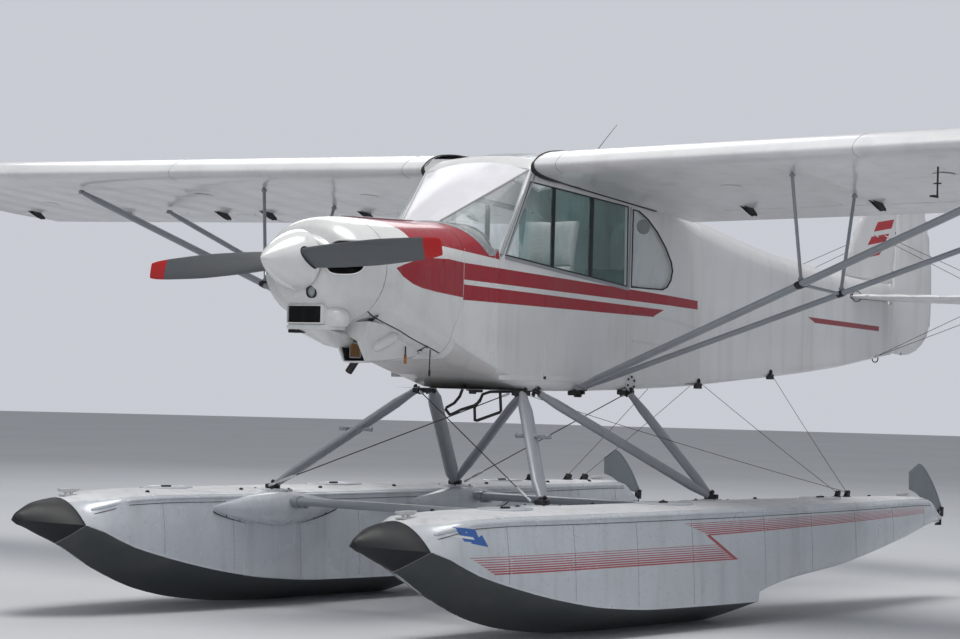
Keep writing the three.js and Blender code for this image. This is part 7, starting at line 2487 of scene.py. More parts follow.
@dataclass
class FloatStruts:
    """Struts and crossed wires between fuselage and floats, with fittings, steps and turnbuckles."""

    front_belly: Point = (0.352, -1.452, 1.200)
    rear_belly: Point = (0.352, -0.468, 1.216)
    front_deck: Point = (0.925, -2.018, 0.640)
    rear_deck: Point = (0.911, -0.422, 0.640)
    front_size: Pair = (0.092, 0.040)
    rear_size: Pair = (0.084, 0.040)
    step_share: float = 0.42
    wire: float = 0.004
    shift: float = 0.060
    apart: float = 0.009
    bolt_dy: tuple[float, ...] = (-0.045, 0.0, 0.045)
    step_ends: tuple[tuple[float, ...], ...] = ((-0.090, -1), (0.108, 1))

    def build(self) -> None:
        """Builds struts, fittings, steps and wires."""
        forward = Vector((0, -1, 0))
        lift = Vector((0, 0, 0.008))
        bars = {
            "front": [(Vector(self.front_belly) + lift, Vector(self.front_deck), self.front_size)],
            "rear": [(Vector(self.front_belly) + Vector((0, 0.096, 0.012)), Vector(self.rear_deck), self.rear_size),
                     (Vector(self.rear_belly) + lift, Vector(self.rear_deck), self.rear_size)]}
        nodes = {"front": "front_strut", "rear": "rear_struts"}
        for name, members in bars.items():
            bm = bmesh.new()
            for start, end, (chord, thick) in members:
                axis = (end - start).normalized()
                fairing_bar(bm, start + axis * 0.040, end - axis * 0.030, chord, thick, forward, count=28)
            add_pair(f"{name}_float_strut", bm, STRUT_GREY, Body.AIRFRAME, Slot.STRUT, [nodes[name]])
        self.fittings([bar for members in bars.values() for bar in members])
        self.step()
        self.wires()

    def fittings(self, bars: Sequence[tuple]) -> None:
        """Builds the forks, bolts and blocks at both ends of the struts."""
        forks, bolts = bmesh.new(), bmesh.new()
        for start, end, _ in bars:
            axis = (end - start).normalized()
            across = axis.cross(Vector((0, 1, 0))).normalized()
            for at, sign in ((start, 1), (end, -1)):
                near = at + axis * sign * 0.004
                rod(forks, near, at + axis * sign * 0.060, 0.0125, 14)
                rod(bolts, near + axis * sign * 0.016 - across * 0.030, near + axis * sign * 0.016 + across * 0.030,
                    0.0075, 8)
                for side in (-1, 1):
                    spun(bolts, [(0.0, -0.004), (0.012, -0.004), (0.012, 0.004), (0.0, 0.004)],
                         near + axis * sign * 0.016 + across * side * 0.026, across, 6)
        for x, y, z in (self.front_deck, self.rear_deck):
            block(forks, (x - 0.030, y - 0.036, 0.6325), (x + 0.022, y + 0.036, 0.657), 0.005)
            rod(bolts, Vector((x - 0.038, y, 0.650)), Vector((x + 0.030, y, 0.650)), 0.008, 10)
        for x, y, z in (self.front_belly, self.rear_belly):
            block(forks, (x - 0.030, y - 0.060, z - 0.022), (x + 0.012, y + 0.060, z + 0.006), 0.005)
            for dy in self.bolt_dy:
                dome(bolts, Vector((x - 0.010, y + dy, z - 0.021)), Vector((0, 0, -1)), 0.010, 0.008, 6)
        add_pair("strut_forks", forks, DARK_METAL, Body.AIRFRAME, Slot.STRUT)
        add_pair("strut_bolts", bolts, DARK_METAL, Body.AIRFRAME, Slot.STRUT)

    def step(self) -> None:
        """Builds the round step through the front strut with its end cap and outer tread."""
        bm = bmesh.new()
        lift = Vector((0, 0, 0.008))
        tread = (Vector(self.front_belly) + lift).lerp(Vector(self.front_deck), self.step_share)
        rod(bm, tread - Vector((0.090, 0, 0)), tread + Vector((0.108, 0, 0)), 0.0115, 18)
        for x, side in self.step_ends:
            dome(bm, tread + Vector((x, 0, 0)), Vector((side, 0, 0)), 0.0135, 0.008, 14)
        block(bm, (tread.x + 0.065, tread.y - 0.036, tread.z - 0.012),
              (tread.x + 0.112, tread.y + 0.036, tread.z + 0.011),
              0.004)
        add_pair("strut_step", bm, STRUT_GREY, Body.AIRFRAME, Slot.STRUT)

    def wires(self) -> None:
        """Builds the crossed brace wires with turnbuckles at their lower ends."""
        barrels = bmesh.new()
        for name, belly, deck, sign in (("front", self.front_belly, self.front_deck, -1),
                                        ("rear", self.rear_belly, self.rear_deck, 1)):
            for side, lean, turn in (("left", self.apart, 1), ("right", -self.apart, -1)):
                bm = bmesh.new()
                start = Vector((-(belly[0] - 0.034) * turn, belly[1] + sign * self.shift + lean, belly[2] - 0.012))
                end = Vector(((deck[0] - 0.034) * turn, deck[1] + sign * self.shift + lean, 0.648))
                rod(bm, start, end, self.wire * 0.72, 10)
                axis = (end - start).normalized()
                barrel = bmesh.new()
                tube(barrel, [end - axis * d for d in (0.17, 0.155, 0.145, 0.075, 0.065, 0.04)],
                     [0.0036, 0.0042, 0.0072, 0.0072, 0.0042, 0.0036], 10)
                rod(barrel, end - axis * 0.042, end - axis * 0.004, 0.0065, 10)
                rod(barrel, start + axis * 0.004, start + axis * 0.042, 0.0065, 10)
                absorb(barrels, barrel)
                add_piece(f"{name}_brace_{side}", bm, DARK_METAL, Body.AIRFRAME.value, Slot.WIRE,
                          [f"brace_wire_{name}_{side}"])
        add_piece("turnbuckles", barrels, PALE_METAL, Body.AIRFRAME.value, Slot.WIRE)


# Tail


EMBLEM = (0.50, 0.010, 0.018)
TAIL_MARKS = (Mark(DEEP_CRIMSON, ((Plane.SIDE, ((1.900, 1.676), (2.916, 1.652), (2.916, 1.684), (1.790, 1.712))),)),)
FIN_MARKS = (
    Mark(EMBLEM, ((Plane.SIDE, ((2.730, 2.130), (2.960, 2.168), (3.020, 2.226), (2.775, 2.190))),)),
    Mark(EMBLEM, ((Plane.SIDE, ((2.800, 2.225), (3.040, 2.262), (3.095, 2.320), (2.850, 2.285))),)),
    Mark(EMBLEM, ((Plane.SIDE, ((2.880, 2.320), (3.120, 2.356), (3.150, 2.420), (2.930, 2.388))),)),
)
TAIL_WHITE = Finish("tail_white", (0.79, 0.79, 0.80), roughness=0.30, coat=0.4, dirt=0.17, dirt_scale=0.6, grain=0.05,
                    grain_scale=10.0, marks=TAIL_MARKS)
TAIL_SURFACE_WHITE = Finish("tail_surface_white", (0.79, 0.79, 0.80), roughness=0.32, coat=0.35, dirt=0.16,
                            grain=0.05,
                            grain_scale=12.0)
FIN_WHITE = Finish("fin_white", (0.79, 0.79, 0.80), roughness=0.32, coat=0.35, dirt=0.15, grain=0.05,
                   grain_scale=12.0,
                   marks=FIN_MARKS)


def arc_points(centre: Pair, reach: Pair, first: float, last: float, count: int) -> list[Pair]:
    """Returns points of an elliptic arc, its angles in degrees."""
    return [(centre[0] + reach[0] * math.cos(a), centre[1] + reach[1] * math.sin(a))
            for a in steps(math.radians(first), math.radians(last), count)]


def rudder_line(z: float, shift: float = 0.0) -> Pair:
    """Returns y and z of the rudder's hinge line at a height, moved along y by shift."""
    (y0, z0), (y1, z1) = RUDDER_HINGE
    return (y0 + (y1 - y0) * (z - z0) / (z1 - z0) + shift, z)


RUDDER_HINGE = ((3.149, 1.613), (3.218, 2.478))


@dataclass(frozen=True)
class Leaf:
    """A thin tail surface: a tube frame under fabric, drawn as a flat outline with rounded edges."""

    name: str
    outline: tuple[Pair, ...]
    half: float
    edge: float
    upright: bool
    level: float = 0.0
    pace: float = 0.035

    def spot(self, u: float, v: float, w: float) -> Vector:
        """Returns the place of a point of the outline's plane at a height over it."""
        return Vector((w, u, v)) if self.upright else Vector((u, v, self.level + w))

    def mesh(self, ribs: Sequence[tuple[Pair, Pair]]) -> BMesh:
        """Makes the closed surface, its fabric sunk between the frame's edge and ribs.

        Args:
            ribs: Ends of the ribs that hold the fabric up.
        """
        flat = bmesh.new()
        verts = [flat.verts.new((u, v, 0)) for u, v in self.outline]
        flat.faces.new(verts)
        low = [min(p[k] for p in self.outline) for k in (0, 1)]
        high = [max(p[k] for p in self.outline) for k in (0, 1)]
        for k in (0, 1):
            normal = Vector((1, 0, 0)) if k == 0 else Vector((0, 1, 0))
            count = int((high[k] - low[k]) / self.pace)
            for value in steps(low[k], high[k], count)[1:-1]:
                bmesh.ops.bisect_plane(flat, geom=[*flat.verts, *flat.edges, *flat.faces], dist=1e-6,
                                       plane_co=normal * value, plane_no=normal)
        rim = [Vector((*p, 0)) for p in self.outline]

        def away(point: Vector, a: Vector, b: Vector) -> float:
            """Returns the distance of a point from a line between two others."""
            span = b - a
            t = max(0.0, min(1.0, (point - a).dot(span) / max(1e-12, span.length_squared)))
            return (point - a - span * t).length
        for vert in flat.verts:
            from_edge = min(away(vert.co, a, b) for a, b in zip(rim, [*rim[1:], rim[0]]))
            from_rib = min((away(vert.co, Vector((*a, 0)), Vector((*b, 0))) for a, b in ribs), default=1.0)
            rise = math.sqrt(max(0.0, 1 - (1 - min(1.0, from_edge / self.edge)) ** 2))
            sunk = min(1.0, max(0.0, from_edge - self.edge) / 0.05) * min(1.0, from_rib / 0.06)
            vert.co.z = self.half * rise * (1 - 0.20 * sunk)
        bm = bmesh.new()
        for side in (1, -1):
            copy = flat.copy()
            for vert in copy.verts:
                vert.co = self.spot(vert.co.x, vert.co.y, vert.co.z * side)
            absorb(bm, copy)
        flat.free()
        bmesh.ops.remove_doubles(bm, verts=bm.verts, dist=1e-5)
        bmesh.ops.recalc_face_normals(bm, faces=bm.faces)
        return bm


@dataclass
class Tail:
    """Rear fuselage, stabilizer, elevator, fin and rudder, with hinges, tapes, stay wires and tail lamp."""

    thick: float = 0.030
    gap: float = 0.006
    stab_z: float = 1.870
    elevator_y: float = 3.092
    horn_z: float = 2.590
    stations: tuple[float, ...] = (0.150, 0.560, 0.960, 1.340)
    low_hinges: tuple[float, ...] = (1.590, 1.760)
    high_hinges: tuple[float, ...] = (2.060, 2.330, 2.540)
    # y, half width, belly z, side top z, crown z, lower corner
    rows: tuple[tuple[float, ...], ...] = (
        (0.300, 0.335, 1.256, 2.120, 2.286, 0.040), (0.780, 0.282, 1.288, 2.040, 2.213, 0.035),
        (1.470, 0.206, 1.333, 1.962, 2.105, 0.030), (2.210, 0.124, 1.392, 1.925, 2.033, 0.024),
        (2.700, 0.070, 1.448, 1.915, 1.995, 0.018), (3.180, 0.026, 1.505, 1.905, 1.965, 0.010))
    stay_rows: tuple[tuple[float, ...], ...] = ((2.72, 1.00), (3.040, 1.02))
    guide_places: tuple[tuple[float, ...], ...] = ((0.287, 1.284), (1.255, 1.352))

    def __post_init__(self) -> None:
        """Works out a curve for each measure of the fuselage."""
        self.courses = [Course(tuple((row[0], row[k]) for row in self.rows)) for k in range(1, 6)]

    def build(self) -> None:
        """Builds the tail."""
        self.fuselage()
        self.level_surfaces()
        self.upright_surfaces()
        self.hinges()
        self.stays()
        self.fittings()

    def skin(self, y: float, v: float) -> Vector:
        """Returns a point of the rear fuselage, v once round from the belly's middle.

        The fabric lies on longerons at the corners and stringers on the sides and back, and sinks between them.
        """
        half, low, side, top, foot = (course.at(y) for course in self.courses)
        s = v * 2 if v <= 0.5 else (1 - v) * 2
        sign = 1 if v <= 0.5 else -1
        if s < 0.16:
            x, z = (half - foot) * s / 0.16, low
        elif s < 0.26:
            a = (s - 0.16) / 0.10 * math.pi / 2
            x, z = half - foot + foot * math.sin(a), low + foot - foot * math.cos(a)
        elif s < 0.66:
            share = (s - 0.26) / 0.40
            x, z = half, blend_values(low + foot, side, share)
            sag = 0.004 * math.sin(math.pi * share * 2) ** 2 * min(1.0, half / 0.15)
            x -= sag
        else:
            a = (s - 0.66) / 0.34 * math.pi / 2
            x, z = half * max(0.0, math.cos(a)) ** 0.86, side + (top - side) * math.sin(a)
            x -= 0.002 * math.sin(a * 6) ** 2 * min(1.0, half / 0.15)
        return Vector((sign * x, y, z))

    def fuselage(self) -> None:
        """Builds the rear fuselage with the slots for the stabilizer and the rudder's hinge line."""
        bm = bmesh.new()
        places = [*steps(self.rows[0][0], 3.0, 54), *steps(3.0, self.rows[-1][0], 8)[1:]]
        loft(bm, [[self.skin(y, v / 84) for v in range(84)] for y in places])
        face_out(bm)
        radius = self.thick / 2
        cutters = bmesh.new()
        rear = [rudder_line(z, -(radius + self.gap)) for z in (1.40, 2.10)]
        plate(cutters, [Vector((-0.1, y, z)) for y, z in (rear[0], (3.4, 1.40), (3.4, 2.10), rear[1])],
              Vector((0.2, 0, 0)))
        edge = self.elevator_y - radius - self.gap
        block(cutters, (-0.4, 2.440, self.stab_z - radius - 0.0004),
              (0.4, edge + 0.001, self.stab_z + radius + 0.0004))
        horn_front = self.elevator_y - radius - 2 * self.gap - 0.010
        block(cutters, (-0.06, horn_front, self.stab_z - 0.032), (0.06, 3.3, self.stab_z + 0.032))
        bm = carved(bm, cutters)
        add_piece("rear_fuselage_skin", bm, TAIL_WHITE, Body.AIRFRAME.value, Slot.FABRIC, ["tail_fuselage"])

    def level_surfaces(self) -> None:
        """Builds the stabilizer and both halves of the elevator."""
        radius = self.thick / 2
        rear = self.elevator_y - radius - self.gap
        half = [(0.0, 2.452), (0.200, 2.468), (0.450, 2.514), (0.700, 2.560), (1.120, 2.650), (1.300, 2.695),
                (1.380, 2.738), (1.392, 2.790), (1.392, rear)]
        outline = (*half, *[(-x, y) for x, y in reversed(half[1:])])
        stab = Leaf("stabilizer", outline, radius, 0.020, upright=False, level=self.stab_z)
        ribs = [((x, 2.4), (x, rear)) for x in (-1.10, -0.72, -0.36, 0.0, 0.36, 0.72, 1.10)]
        bm = stab.mesh(ribs)
        add_piece("stabilizer_skin", bm, TAIL_SURFACE_WHITE, Body.AIRFRAME.value, Slot.FABRIC, ["stabilizer"])
        y = self.elevator_y
        leaf = ((0.062, y), (0.082, y + 0.060), (0.180, y + 0.235), (0.300, y + 0.400), (0.355, y + 0.424),
                (0.420, y + 0.430), (1.000, y + 0.425), *arc_points((1.180, 2.990), (0.420, 0.520), 80, -28, 22),
                (1.480, 2.748), (1.404, 2.752), (1.400, y))
        elevator = Leaf("elevator", leaf, radius, 0.018, upright=False, level=self.stab_z)
        bm = elevator.mesh([((x, y), (x, y + 0.5)) for x in (0.36, 0.72, 1.10)])
        rod(bm, Vector((0.062, y, self.stab_z)), Vector((1.400, y, self.stab_z)), radius, 20)
        twin = mirrored(bm)
        absorb(bm, twin)
        rod(bm, Vector((-0.080, y, self.stab_z)), Vector((0.080, y, self.stab_z)), 0.012, 14)
        bmesh.ops.recalc_face_normals(bm, faces=bm.faces)
        add_piece("elevator_skin", bm, TAIL_SURFACE_WHITE, Body.ELEVATOR.value, Slot.FABRIC, ["elevator"], turn=False)

    def upright_surfaces(self) -> None:
        """Builds the fin and the rudder with its horn balance."""
        radius = self.thick / 2
        top = self.horn_z - self.gap - 0.002
        back = -(radius + self.gap) * 1.004
        fin = Leaf("fin",
                   (rudder_line(1.986, back), rudder_line(top, back), (2.866, top), (2.830, 2.540), (2.765, 2.462),
                           (2.700, 2.380), (2.560, 2.176), (2.475, 2.025), (2.500, 2.012), (2.720, 1.996),
                           (3.100, 1.974)), radius, 0.018, upright=True)
        bm = fin.mesh([((2.52, 2.17), (3.2, 2.17)), ((2.6, 2.40), (3.2, 2.40)), ((2.85, 2.0), (2.85, 2.6))])
        add_piece("fin_skin", bm, FIN_WHITE, Body.AIRFRAME.value, Slot.FABRIC, ["fin"])
        outline = (rudder_line(1.512), (3.300, 1.500), *arc_points((3.330, 1.800), (0.389, 0.300), -88, 0, 18),
                   (3.722, 1.930), (3.716, 2.080), (3.668, 2.300), (3.588, 2.513),
                   *arc_points((3.300, 2.480), (0.250, 0.307), 30, 110, 18), (3.100, 2.764), (2.990, 2.722),
                   (2.880, 2.638), (2.869, 2.612), (2.872, self.horn_z), rudder_line(self.horn_z))
        rudder = Leaf("rudder", outline, radius, 0.018, upright=True)
        bm = rudder.mesh([((3.1, z), (3.8, z)) for z in (1.70, 1.98, 2.26, 2.53)])
        ends = [Vector((0, *rudder_line(z))) for z in (1.520, self.horn_z + 0.010)]
        rod(bm, *ends, radius, 20)
        add_piece("rudder_skin", bm, FIN_WHITE, Body.RUDDER.value, Slot.FABRIC, ["rudder"])

    def hinges(self) -> None:
        """Builds the hinge eyes of the elevator and rudder."""
        eyes = bmesh.new()
        for x in self.stations:
            for side in (1, -1):
                block(eyes, (side * x - 0.006, self.elevator_y - 0.026, self.stab_z - 0.009),
                      (side * x + 0.006, self.elevator_y - 0.014, self.stab_z + 0.009), 0.002)
        for z in (*self.low_hinges, *self.high_hinges):
            y, _ = rudder_line(z)
            block(eyes, (-0.009, y - 0.026, z - 0.006), (0.009, y - 0.014, z + 0.006), 0.002)
        add_piece("tail_hinges", eyes, DARK_METAL, Body.AIRFRAME.value, Slot.STRUT)

    def stays(self) -> None:
        """Builds the stay wires between fin, stabilizer and fuselage with their small terminals."""
        wires, ends = bmesh.new(), bmesh.new()
        radius = self.thick / 2
        for side in (1, -1):
            low = Vector((side * 0.048, 2.860, 1.475))
            for y, far in self.stay_rows:
                spot = Vector((side * far, y, self.stab_z))
                high = Vector((side * radius, y - 0.01 if y > 3 else 2.88, 2.30))
                for start, end in ((high, spot + Vector((0, 0, radius))), (spot - Vector((0, 0, radius)), low)):
                    rod(wires, start, end, 0.0018, 8)
                    axis = (end - start).normalized()
                    for at, way in ((start, 1), (end, -1)):
                        rod(ends, at - axis * way * 0.004, at + axis * way * 0.045, 0.0042, 8)
                dome(ends, spot + Vector((0, 0, radius - 0.001)), Vector((0, 0, 1)), 0.014, 0.004, 10)
                dome(ends, spot - Vector((0, 0, radius - 0.001)), Vector((0, 0, -1)), 0.014, 0.004, 10)
        add_piece("tail_stays", wires, DARK_METAL, Body.AIRFRAME.value, Slot.WIRE)
        add_piece("tail_stay_ends", ends, PALE_METAL, Body.AIRFRAME.value, Slot.WIRE)

    def fittings(self) -> None:
        """Builds the trim slot's cover, cabin seam, stern lamp, lashing ring and cable guides."""
        dark, pale = bmesh.new(), bmesh.new()
        for side in (1, -1):
            edge = [Vector((side * (self.courses[0].at(y) + 0.0006), y, z)) for y, z in arc_points(
                (2.545, 1.872), (0.075, 0.034), 0, 340, 20)]
            tube(dark, edge, 0.003, 6, closed=True)
            ring = [self.skin(0.302, v) for v in steps(0.10 if side > 0 else 0.52, 0.48 if side > 0 else 0.90, 40)]
            tube(pale, ring, 0.0012, 5)
            for y, z in self.guide_places:
                spot = Vector((side * (self.courses[0].at(y) if y > 0.3 else 0.334), y, z))
                rod(dark, spot - Vector((side * 0.02, 0, 0)), spot + Vector((side * 0.012, 0, 0)), 0.007, 12)
                block(dark, (spot.x - 0.012, y - 0.030, z - 0.046), (spot.x + 0.012, y + 0.030, z - 0.014), 0.004)
        spun(dark, [(0.0, -0.004), (0.018, -0.004), (0.020, 0.014), (0.014, 0.024), (0.0, 0.028)],
             Vector((0, 3.692, 1.90)), Vector((0, 1, 0)), 18)
        ring = arc_points((0.0, 1.478), (0.022, 0.022), 0, 345, 23)
        tube(dark, [Vector((x, 2.96, z - 0.012)) for x, z in ring], 0.004, 8, closed=True)
        add_piece("tail_fittings", dark, DARK_METAL, Body.AIRFRAME.value, Slot.STRUT)
        add_piece("fabric_tapes", pale, TAIL_SURFACE_WHITE, Body.AIRFRAME.value, Slot.FABRIC)


# Cables, aerial and belly fittings


@dataclass
class Rigging:
    """Water rudder cables with their guides, whip aerial, pitot head, belly step and the lift struts' feet."""

    cable: float = 0.0016
    # guide on the fuselage, then pulley on the deck
    port_lines: tuple[tuple[Point, Point], ...] = (
        ((0.334, 0.287, 1.284), (1.115, 0.590, 0.658)), ((0.230, 1.255, 1.352), (1.115, 0.700, 0.658)))
    starboard_lines: tuple[tuple[Point, Point], ...] = (
        ((-0.334, 0.900, 1.330), (-1.115, 1.000, 0.655)), ((-0.230, 1.255, 1.352), (-1.115, 1.180, 0.652)))
    low_line: tuple[Point, Point] = ((0.330, -1.452, 1.196), (1.115, 0.700, 0.660))
    sag: float = 0.012
    aerial: tuple[Point, Point] = ((0.0, -0.520, 2.430), (0.0, -0.150, 2.770))
    pitot: Point = (2.79, -1.39, 2.352)
    belly_step: tuple[tuple[Point, ...], ...] = (
        ((0.000, -1.52, 1.215), (-0.022, -1.52, 1.165), (-0.058, -1.52, 1.128), (-0.110, -1.52, 1.103),
         (-0.118, -1.52, 1.092), (-0.090, -1.52, 1.064), (-0.070, -1.52, 1.068), (-0.010, -1.52, 1.093),
         (0.080, -1.52, 1.118), (0.115, -1.52, 1.140), (0.135, -1.52, 1.180), (0.180, -1.51, 1.195),
         (0.300, -1.47, 1.200)),
        ((0.118, -1.52, 1.150), (0.082, -1.52, 1.106), (0.087, -1.52, 1.036), (0.100, -1.52, 1.037),
         (0.255, -1.52, 1.086),
         (0.262, -1.52, 1.096), (0.252, -1.52, 1.210)))
    lift_foot: Point = (0.351, -0.960, 1.215)
    rear_plate: Point = (0.368, -0.462, 1.262)
    foot_bolts: tuple[tuple[float, ...], ...] = ((-0.032, -0.012), (-0.005, -0.030), (0.026, -0.014), (0.046, 0.004))

    def build(self) -> None:
        """Builds every piece of the rigging."""
        self.cables()
        self.whip()
        self.step()
        self.feet()

    def hung(self, start: Vector, end: Vector, sag: float) -> list[Vector]:
        """Returns the points of a line that hangs a little between two ends."""
        return [start.lerp(end, share) - Vector((0, 0, 4 * sag * share * (1 - share))) for share in steps(0, 1, 14)]

    def cables(self) -> None:
        """Builds the cables, their guides on the fuselage and the extra pulleys to starboard."""
        lines, guides, pulleys = bmesh.new(), bmesh.new(), bmesh.new()
        for start, end in (*self.port_lines, *self.starboard_lines):
            tube(lines, self.hung(Vector(start), Vector(end), self.sag / 2), self.cable, 6)
            side = math.copysign(1, start[0])
            spot = Vector(start)
            rod(guides, spot + Vector((side * 0.012, 0, 0)), spot - Vector((side * 0.035, 0, 0)), 0.008, 12)
            tube(guides, [spot + Vector((side * 0.006, 0.012 * math.cos(a), 0.012 * math.sin(a)))
                          for a in steps(0, math.tau, 12)[:-1]], 0.004, 8, closed=True)
        tube(lines, self.hung(Vector(self.low_line[0]), Vector(self.low_line[1]), self.sag), self.cable, 6)
        for _, (x, y, z) in self.starboard_lines:
            foot = z - 0.030
            block(pulleys, (x - 0.016, y - 0.040, foot), (x + 0.016, y + 0.040, foot + 0.008), 0.002)
            for dx in (-0.011, 0.008):
                plate(pulleys, [Vector((x + dx, y + dy, foot + dz)) for dy, dz in
                                ((-0.034, 0.004), (0.030, 0.004), (0.040, 0.036), (0.004, 0.046))],
                      Vector((0.003, 0, 0)))
            spun(pulleys, [(0.0, -0.007), (0.017, -0.007), (0.012, 0.0), (0.017, 0.007), (0.0, 0.007)],
                 Vector((x, y + 0.004, foot + 0.024)), Vector((1, 0, 0)), 20)
        add_piece("rudder_cables", lines, DARK_METAL, Body.AIRFRAME.value, Slot.WIRE)
        add_piece("cable_guides", guides, BLACK_RUBBER, Body.AIRFRAME.value, Slot.BUMPER)
        add_piece("starboard_pulleys", pulleys, DARK_METAL, Body.AIRFRAME.value, Slot.STRUT)

    def whip(self) -> None:
        """Builds the whip aerial on the cabin roof and the pitot head under the port wing."""
        thin = bmesh.new()
        foot, tip = (Vector(p) for p in self.aerial)
        tube(thin, [foot.lerp(tip, share) + Vector((0, 0.018 * share * share, 0)) for share in steps(0, 1, 10)],
             [blend_values(0.0032, 0.0014, share) for share in steps(0, 1, 10)], 8)
        spun(thin, [(0.0, -0.012), (0.016, -0.012), (0.015, 0.004), (0.006, 0.014), (0.0, 0.016)], foot,
             Vector((0, 0, 1)), 20)
        head = Vector(self.pitot)
        rod(thin, head, head - Vector((0, 0, 0.150)), 0.0048, 10)
        rod(thin, head - Vector((0, 0.012, 0.145)), head - Vector((0, 0.145, 0.145)) + Vector((0, 0.10, 0)), 0.0055,
            10)
        rod(thin, head - Vector((0, 0.070, 0.148)), head + Vector((0, 0.006, -0.148)), 0.0050, 10)
        rod(thin, head + Vector((-0.020, 0, -0.082)), head + Vector((0.020, 0, -0.082)), 0.0036, 8)
        add_piece("aerial_and_pitot", thin, BLACK_RUBBER, Body.AIRFRAME.value, Slot.BUMPER)

    def step(self) -> None:
        """Builds the bent black tubes under the belly."""
        bm = bmesh.new()
        for path in self.belly_step:
            tube(bm, [Vector(p) for p in path], 0.0082, 10)
        spun(bm, [(0.0, -0.012), (0.018, -0.010), (0.020, 0.004), (0.0, 0.008)], Vector(self.belly_step[0][0]),
             Vector((0, 0, -1)), 16)
        add_piece("belly_step", bm, BLACK_RUBBER, Body.AIRFRAME.value, Slot.BUMPER)

    def feet(self) -> None:
        """Builds the fittings where the lift struts and the rear float struts meet the fuselage."""
        dark, pale = bmesh.new(), bmesh.new()
        x, y, z = self.lift_foot
        bmesh.ops.create_uvsphere(dark, u_segments=20, v_segments=14, radius=0.017,
                                  matrix=Matrix.Translation((x + 0.030, y - 0.010, z + 0.012)))
        block(dark, (x - 0.030, y - 0.040, z - 0.030), (x + 0.022, y + 0.034, z - 0.004), 0.006)
        for dy, dz in self.foot_bolts:
            rod(dark, Vector((x - 0.004, y + dy, z + dz)), Vector((x + 0.038, y + dy, z + dz)), 0.0095, 8)
        x, y, z = self.rear_plate
        spun(pale, [(0.0, -0.004), (0.048, -0.004), (0.048, 0.004), (0.044, 0.006), (0.0, 0.006)], Vector((x, y, z)),
             Vector((1, 0, 0)), 24)
        for a in steps(0.4, 0.4 + math.tau, 6)[:-1]:
            dome(dark, Vector((x + 0.005, y + 0.034 * math.cos(a), z + 0.034 * math.sin(a))), Vector((1, 0, 0)),
                 0.0085,
                 0.008, 6)
        rod(dark, Vector((x - 0.02, y, z - 0.040)), Vector((x + 0.016, y, z - 0.040)), 0.011, 12)
        add_pair("strut_foot_bolts", dark, BLACK_RUBBER, Body.AIRFRAME, Slot.BUMPER)
        add_pair("strut_foot_plates", pale, PALE_METAL, Body.AIRFRAME, Slot.STRUT)


# Floor, light and camera


@dataclass(frozen=True)
class Lamp:
    """One soft area light aimed at the aircraft's middle."""

    name: str
    place: Point
    size: float
    power: float
    colour: Colour = (1.0, 1.0, 1.0)

    def build(self) -> None:
        """Adds the light."""
        light = bpy.data.lights.new(self.name, "AREA")
        light.shape = "DISK"
        light.size = self.size
        light.energy = self.power
        light.color = self.colour
        obj = bpy.data.objects.new(self.name, light)
        place = Vector(self.place)
        obj.matrix_world = (Vector((0, 0, 1.2)) - place).to_track_quat("-Z", "Y").to_matrix().to_4x4()
        obj.matrix_world.translation = place
        bpy.context.scene.collection.objects.link(obj)


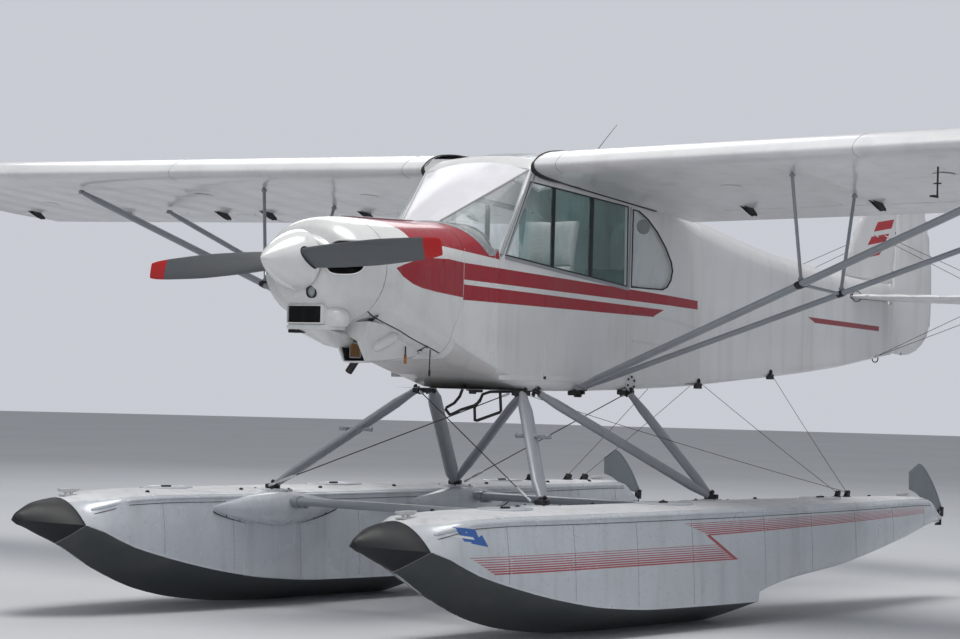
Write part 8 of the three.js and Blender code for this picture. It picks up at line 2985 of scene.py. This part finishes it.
@dataclass(frozen=True)
class Studio:
    """Plain pale floor, soft light and the camera of the photograph's view."""

    place: Point = (9.10225646, -13.08250168, 1.27249987)
    right: Point = (0.78921733, 0.61353182, 0.02673411)
    up: Point = (-0.00804557, -0.03319926, 0.99941637)
    back: Point = (0.6140613, -0.78897181, -0.02126522)
    focal_pixels: float = 2706.4
    frame_pixels: float = 960.0
    sensor: float = 36.0
    floor_radius: float = 60.0
    sky_strength: float = 0.40
    backdrop: Colour = (0.58, 0.60, 0.65)
    lamps: tuple[Lamp, ...] = (
        Lamp("overhead_light", (1.0, -3.0, 14.0), 9.0, 1200.0, (1.0, 0.99, 0.97)),
        Lamp("front_light", (13.0, -14.0, 6.0), 8.0, 260.0, (0.86, 0.92, 1.0)),
        Lamp("back_light", (-11.0, 9.0, 11.0), 10.0, 450.0, (0.96, 0.98, 1.0)),
    )

    def build(self) -> None:
        """Builds the floor, world, lights and camera."""
        self.floor()
        self.world()
        for lamp in self.lamps:
            lamp.build()
        self.camera()

    def floor(self) -> None:
        """Builds the plain floor."""
        bm = bmesh.new()
        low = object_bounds()[0][2]
        bmesh.ops.create_circle(bm, cap_ends=True, segments=96, radius=self.floor_radius,
                                matrix=Matrix.Translation((0, 0, low - 0.001)))
        mesh = bpy.data.meshes.new("floor")
        bm.to_mesh(mesh)
        bm.free()
        made = bpy.data.materials.new("floor_pale")
        made.use_nodes = True
        kit = Nodes(made.node_tree)
        shader = made.node_tree.nodes["Principled BSDF"]
        cloud = kit.remap(kit.noise(kit.place(), 0.4, 3.0), 0.3, 0.7)
        kit.feed(shader.inputs["Base Color"], kit.mix(cloud, (0.60, 0.61, 0.635), (0.64, 0.65, 0.67)))
        shader.inputs["Roughness"].default_value = 0.75
        mesh.materials.append(made)
        obj = bpy.data.objects.new("floor", mesh)
        bpy.context.scene.collection.objects.link(obj)
        obj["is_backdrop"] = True

    def world(self) -> None:
        """Sets a soft sky that lights the aircraft, and a plain pale background behind it."""
        world = bpy.data.worlds.new("studio")
        world.use_nodes = True
        kit = Nodes(world.node_tree)
        sky = world.node_tree.nodes["Background"]
        height = kit.parts(kit.add("ShaderNodeTexCoord").outputs["Generated"])["Z"]
        kit.feed(sky.inputs["Color"], kit.mix(kit.remap(height, -0.1, 0.6), (0.72, 0.76, 0.84), (0.92, 0.95, 1.0)))
        sky.inputs["Strength"].default_value = self.sky_strength
        plain = kit.add("ShaderNodeBackground")
        kit.feed(plain.inputs["Color"], (*self.backdrop, 1.0))
        seen = kit.add("ShaderNodeMixShader")
        for socket, value in zip(seen.inputs, (kit.add("ShaderNodeLightPath").outputs["Is Camera Ray"],
                                               sky.outputs["Background"], plain.outputs["Background"])):
            kit.feed(socket, value)
        kit.feed(world.node_tree.nodes["World Output"].inputs["Surface"], seen.outputs["Shader"])
        bpy.context.scene.world = world
        bpy.context.scene.view_settings.view_transform = "Standard"

    def camera(self) -> None:
        """Adds the camera."""
        data = bpy.data.cameras.new("camera")
        data.sensor_width = self.sensor
        data.lens = self.focal_pixels / self.frame_pixels * self.sensor
        data.clip_end = 200.0
        obj = bpy.data.objects.new("camera", data)
        turn = Matrix((self.right, self.up, self.back)).transposed().to_4x4()
        turn.translation = self.place
        obj.matrix_world = turn
        bpy.context.scene.collection.objects.link(obj)
        bpy.context.scene.camera = obj


SUB_ASSEMBLIES = (Nose, Propeller, Windshield, Cabin, Wing, Struts, Floats, WaterRudders, FloatStruts, Tail,
                  Rigging)


def main() -> None:
    """Builds the sub-assemblies in order, then the studio."""
    logging.basicConfig(level=logging.INFO, format="%(name)s: %(message)s")
    for kind in SUB_ASSEMBLIES:
        kind().build()
    Studio().build()
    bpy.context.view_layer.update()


if __name__ == "__main__":
    main()
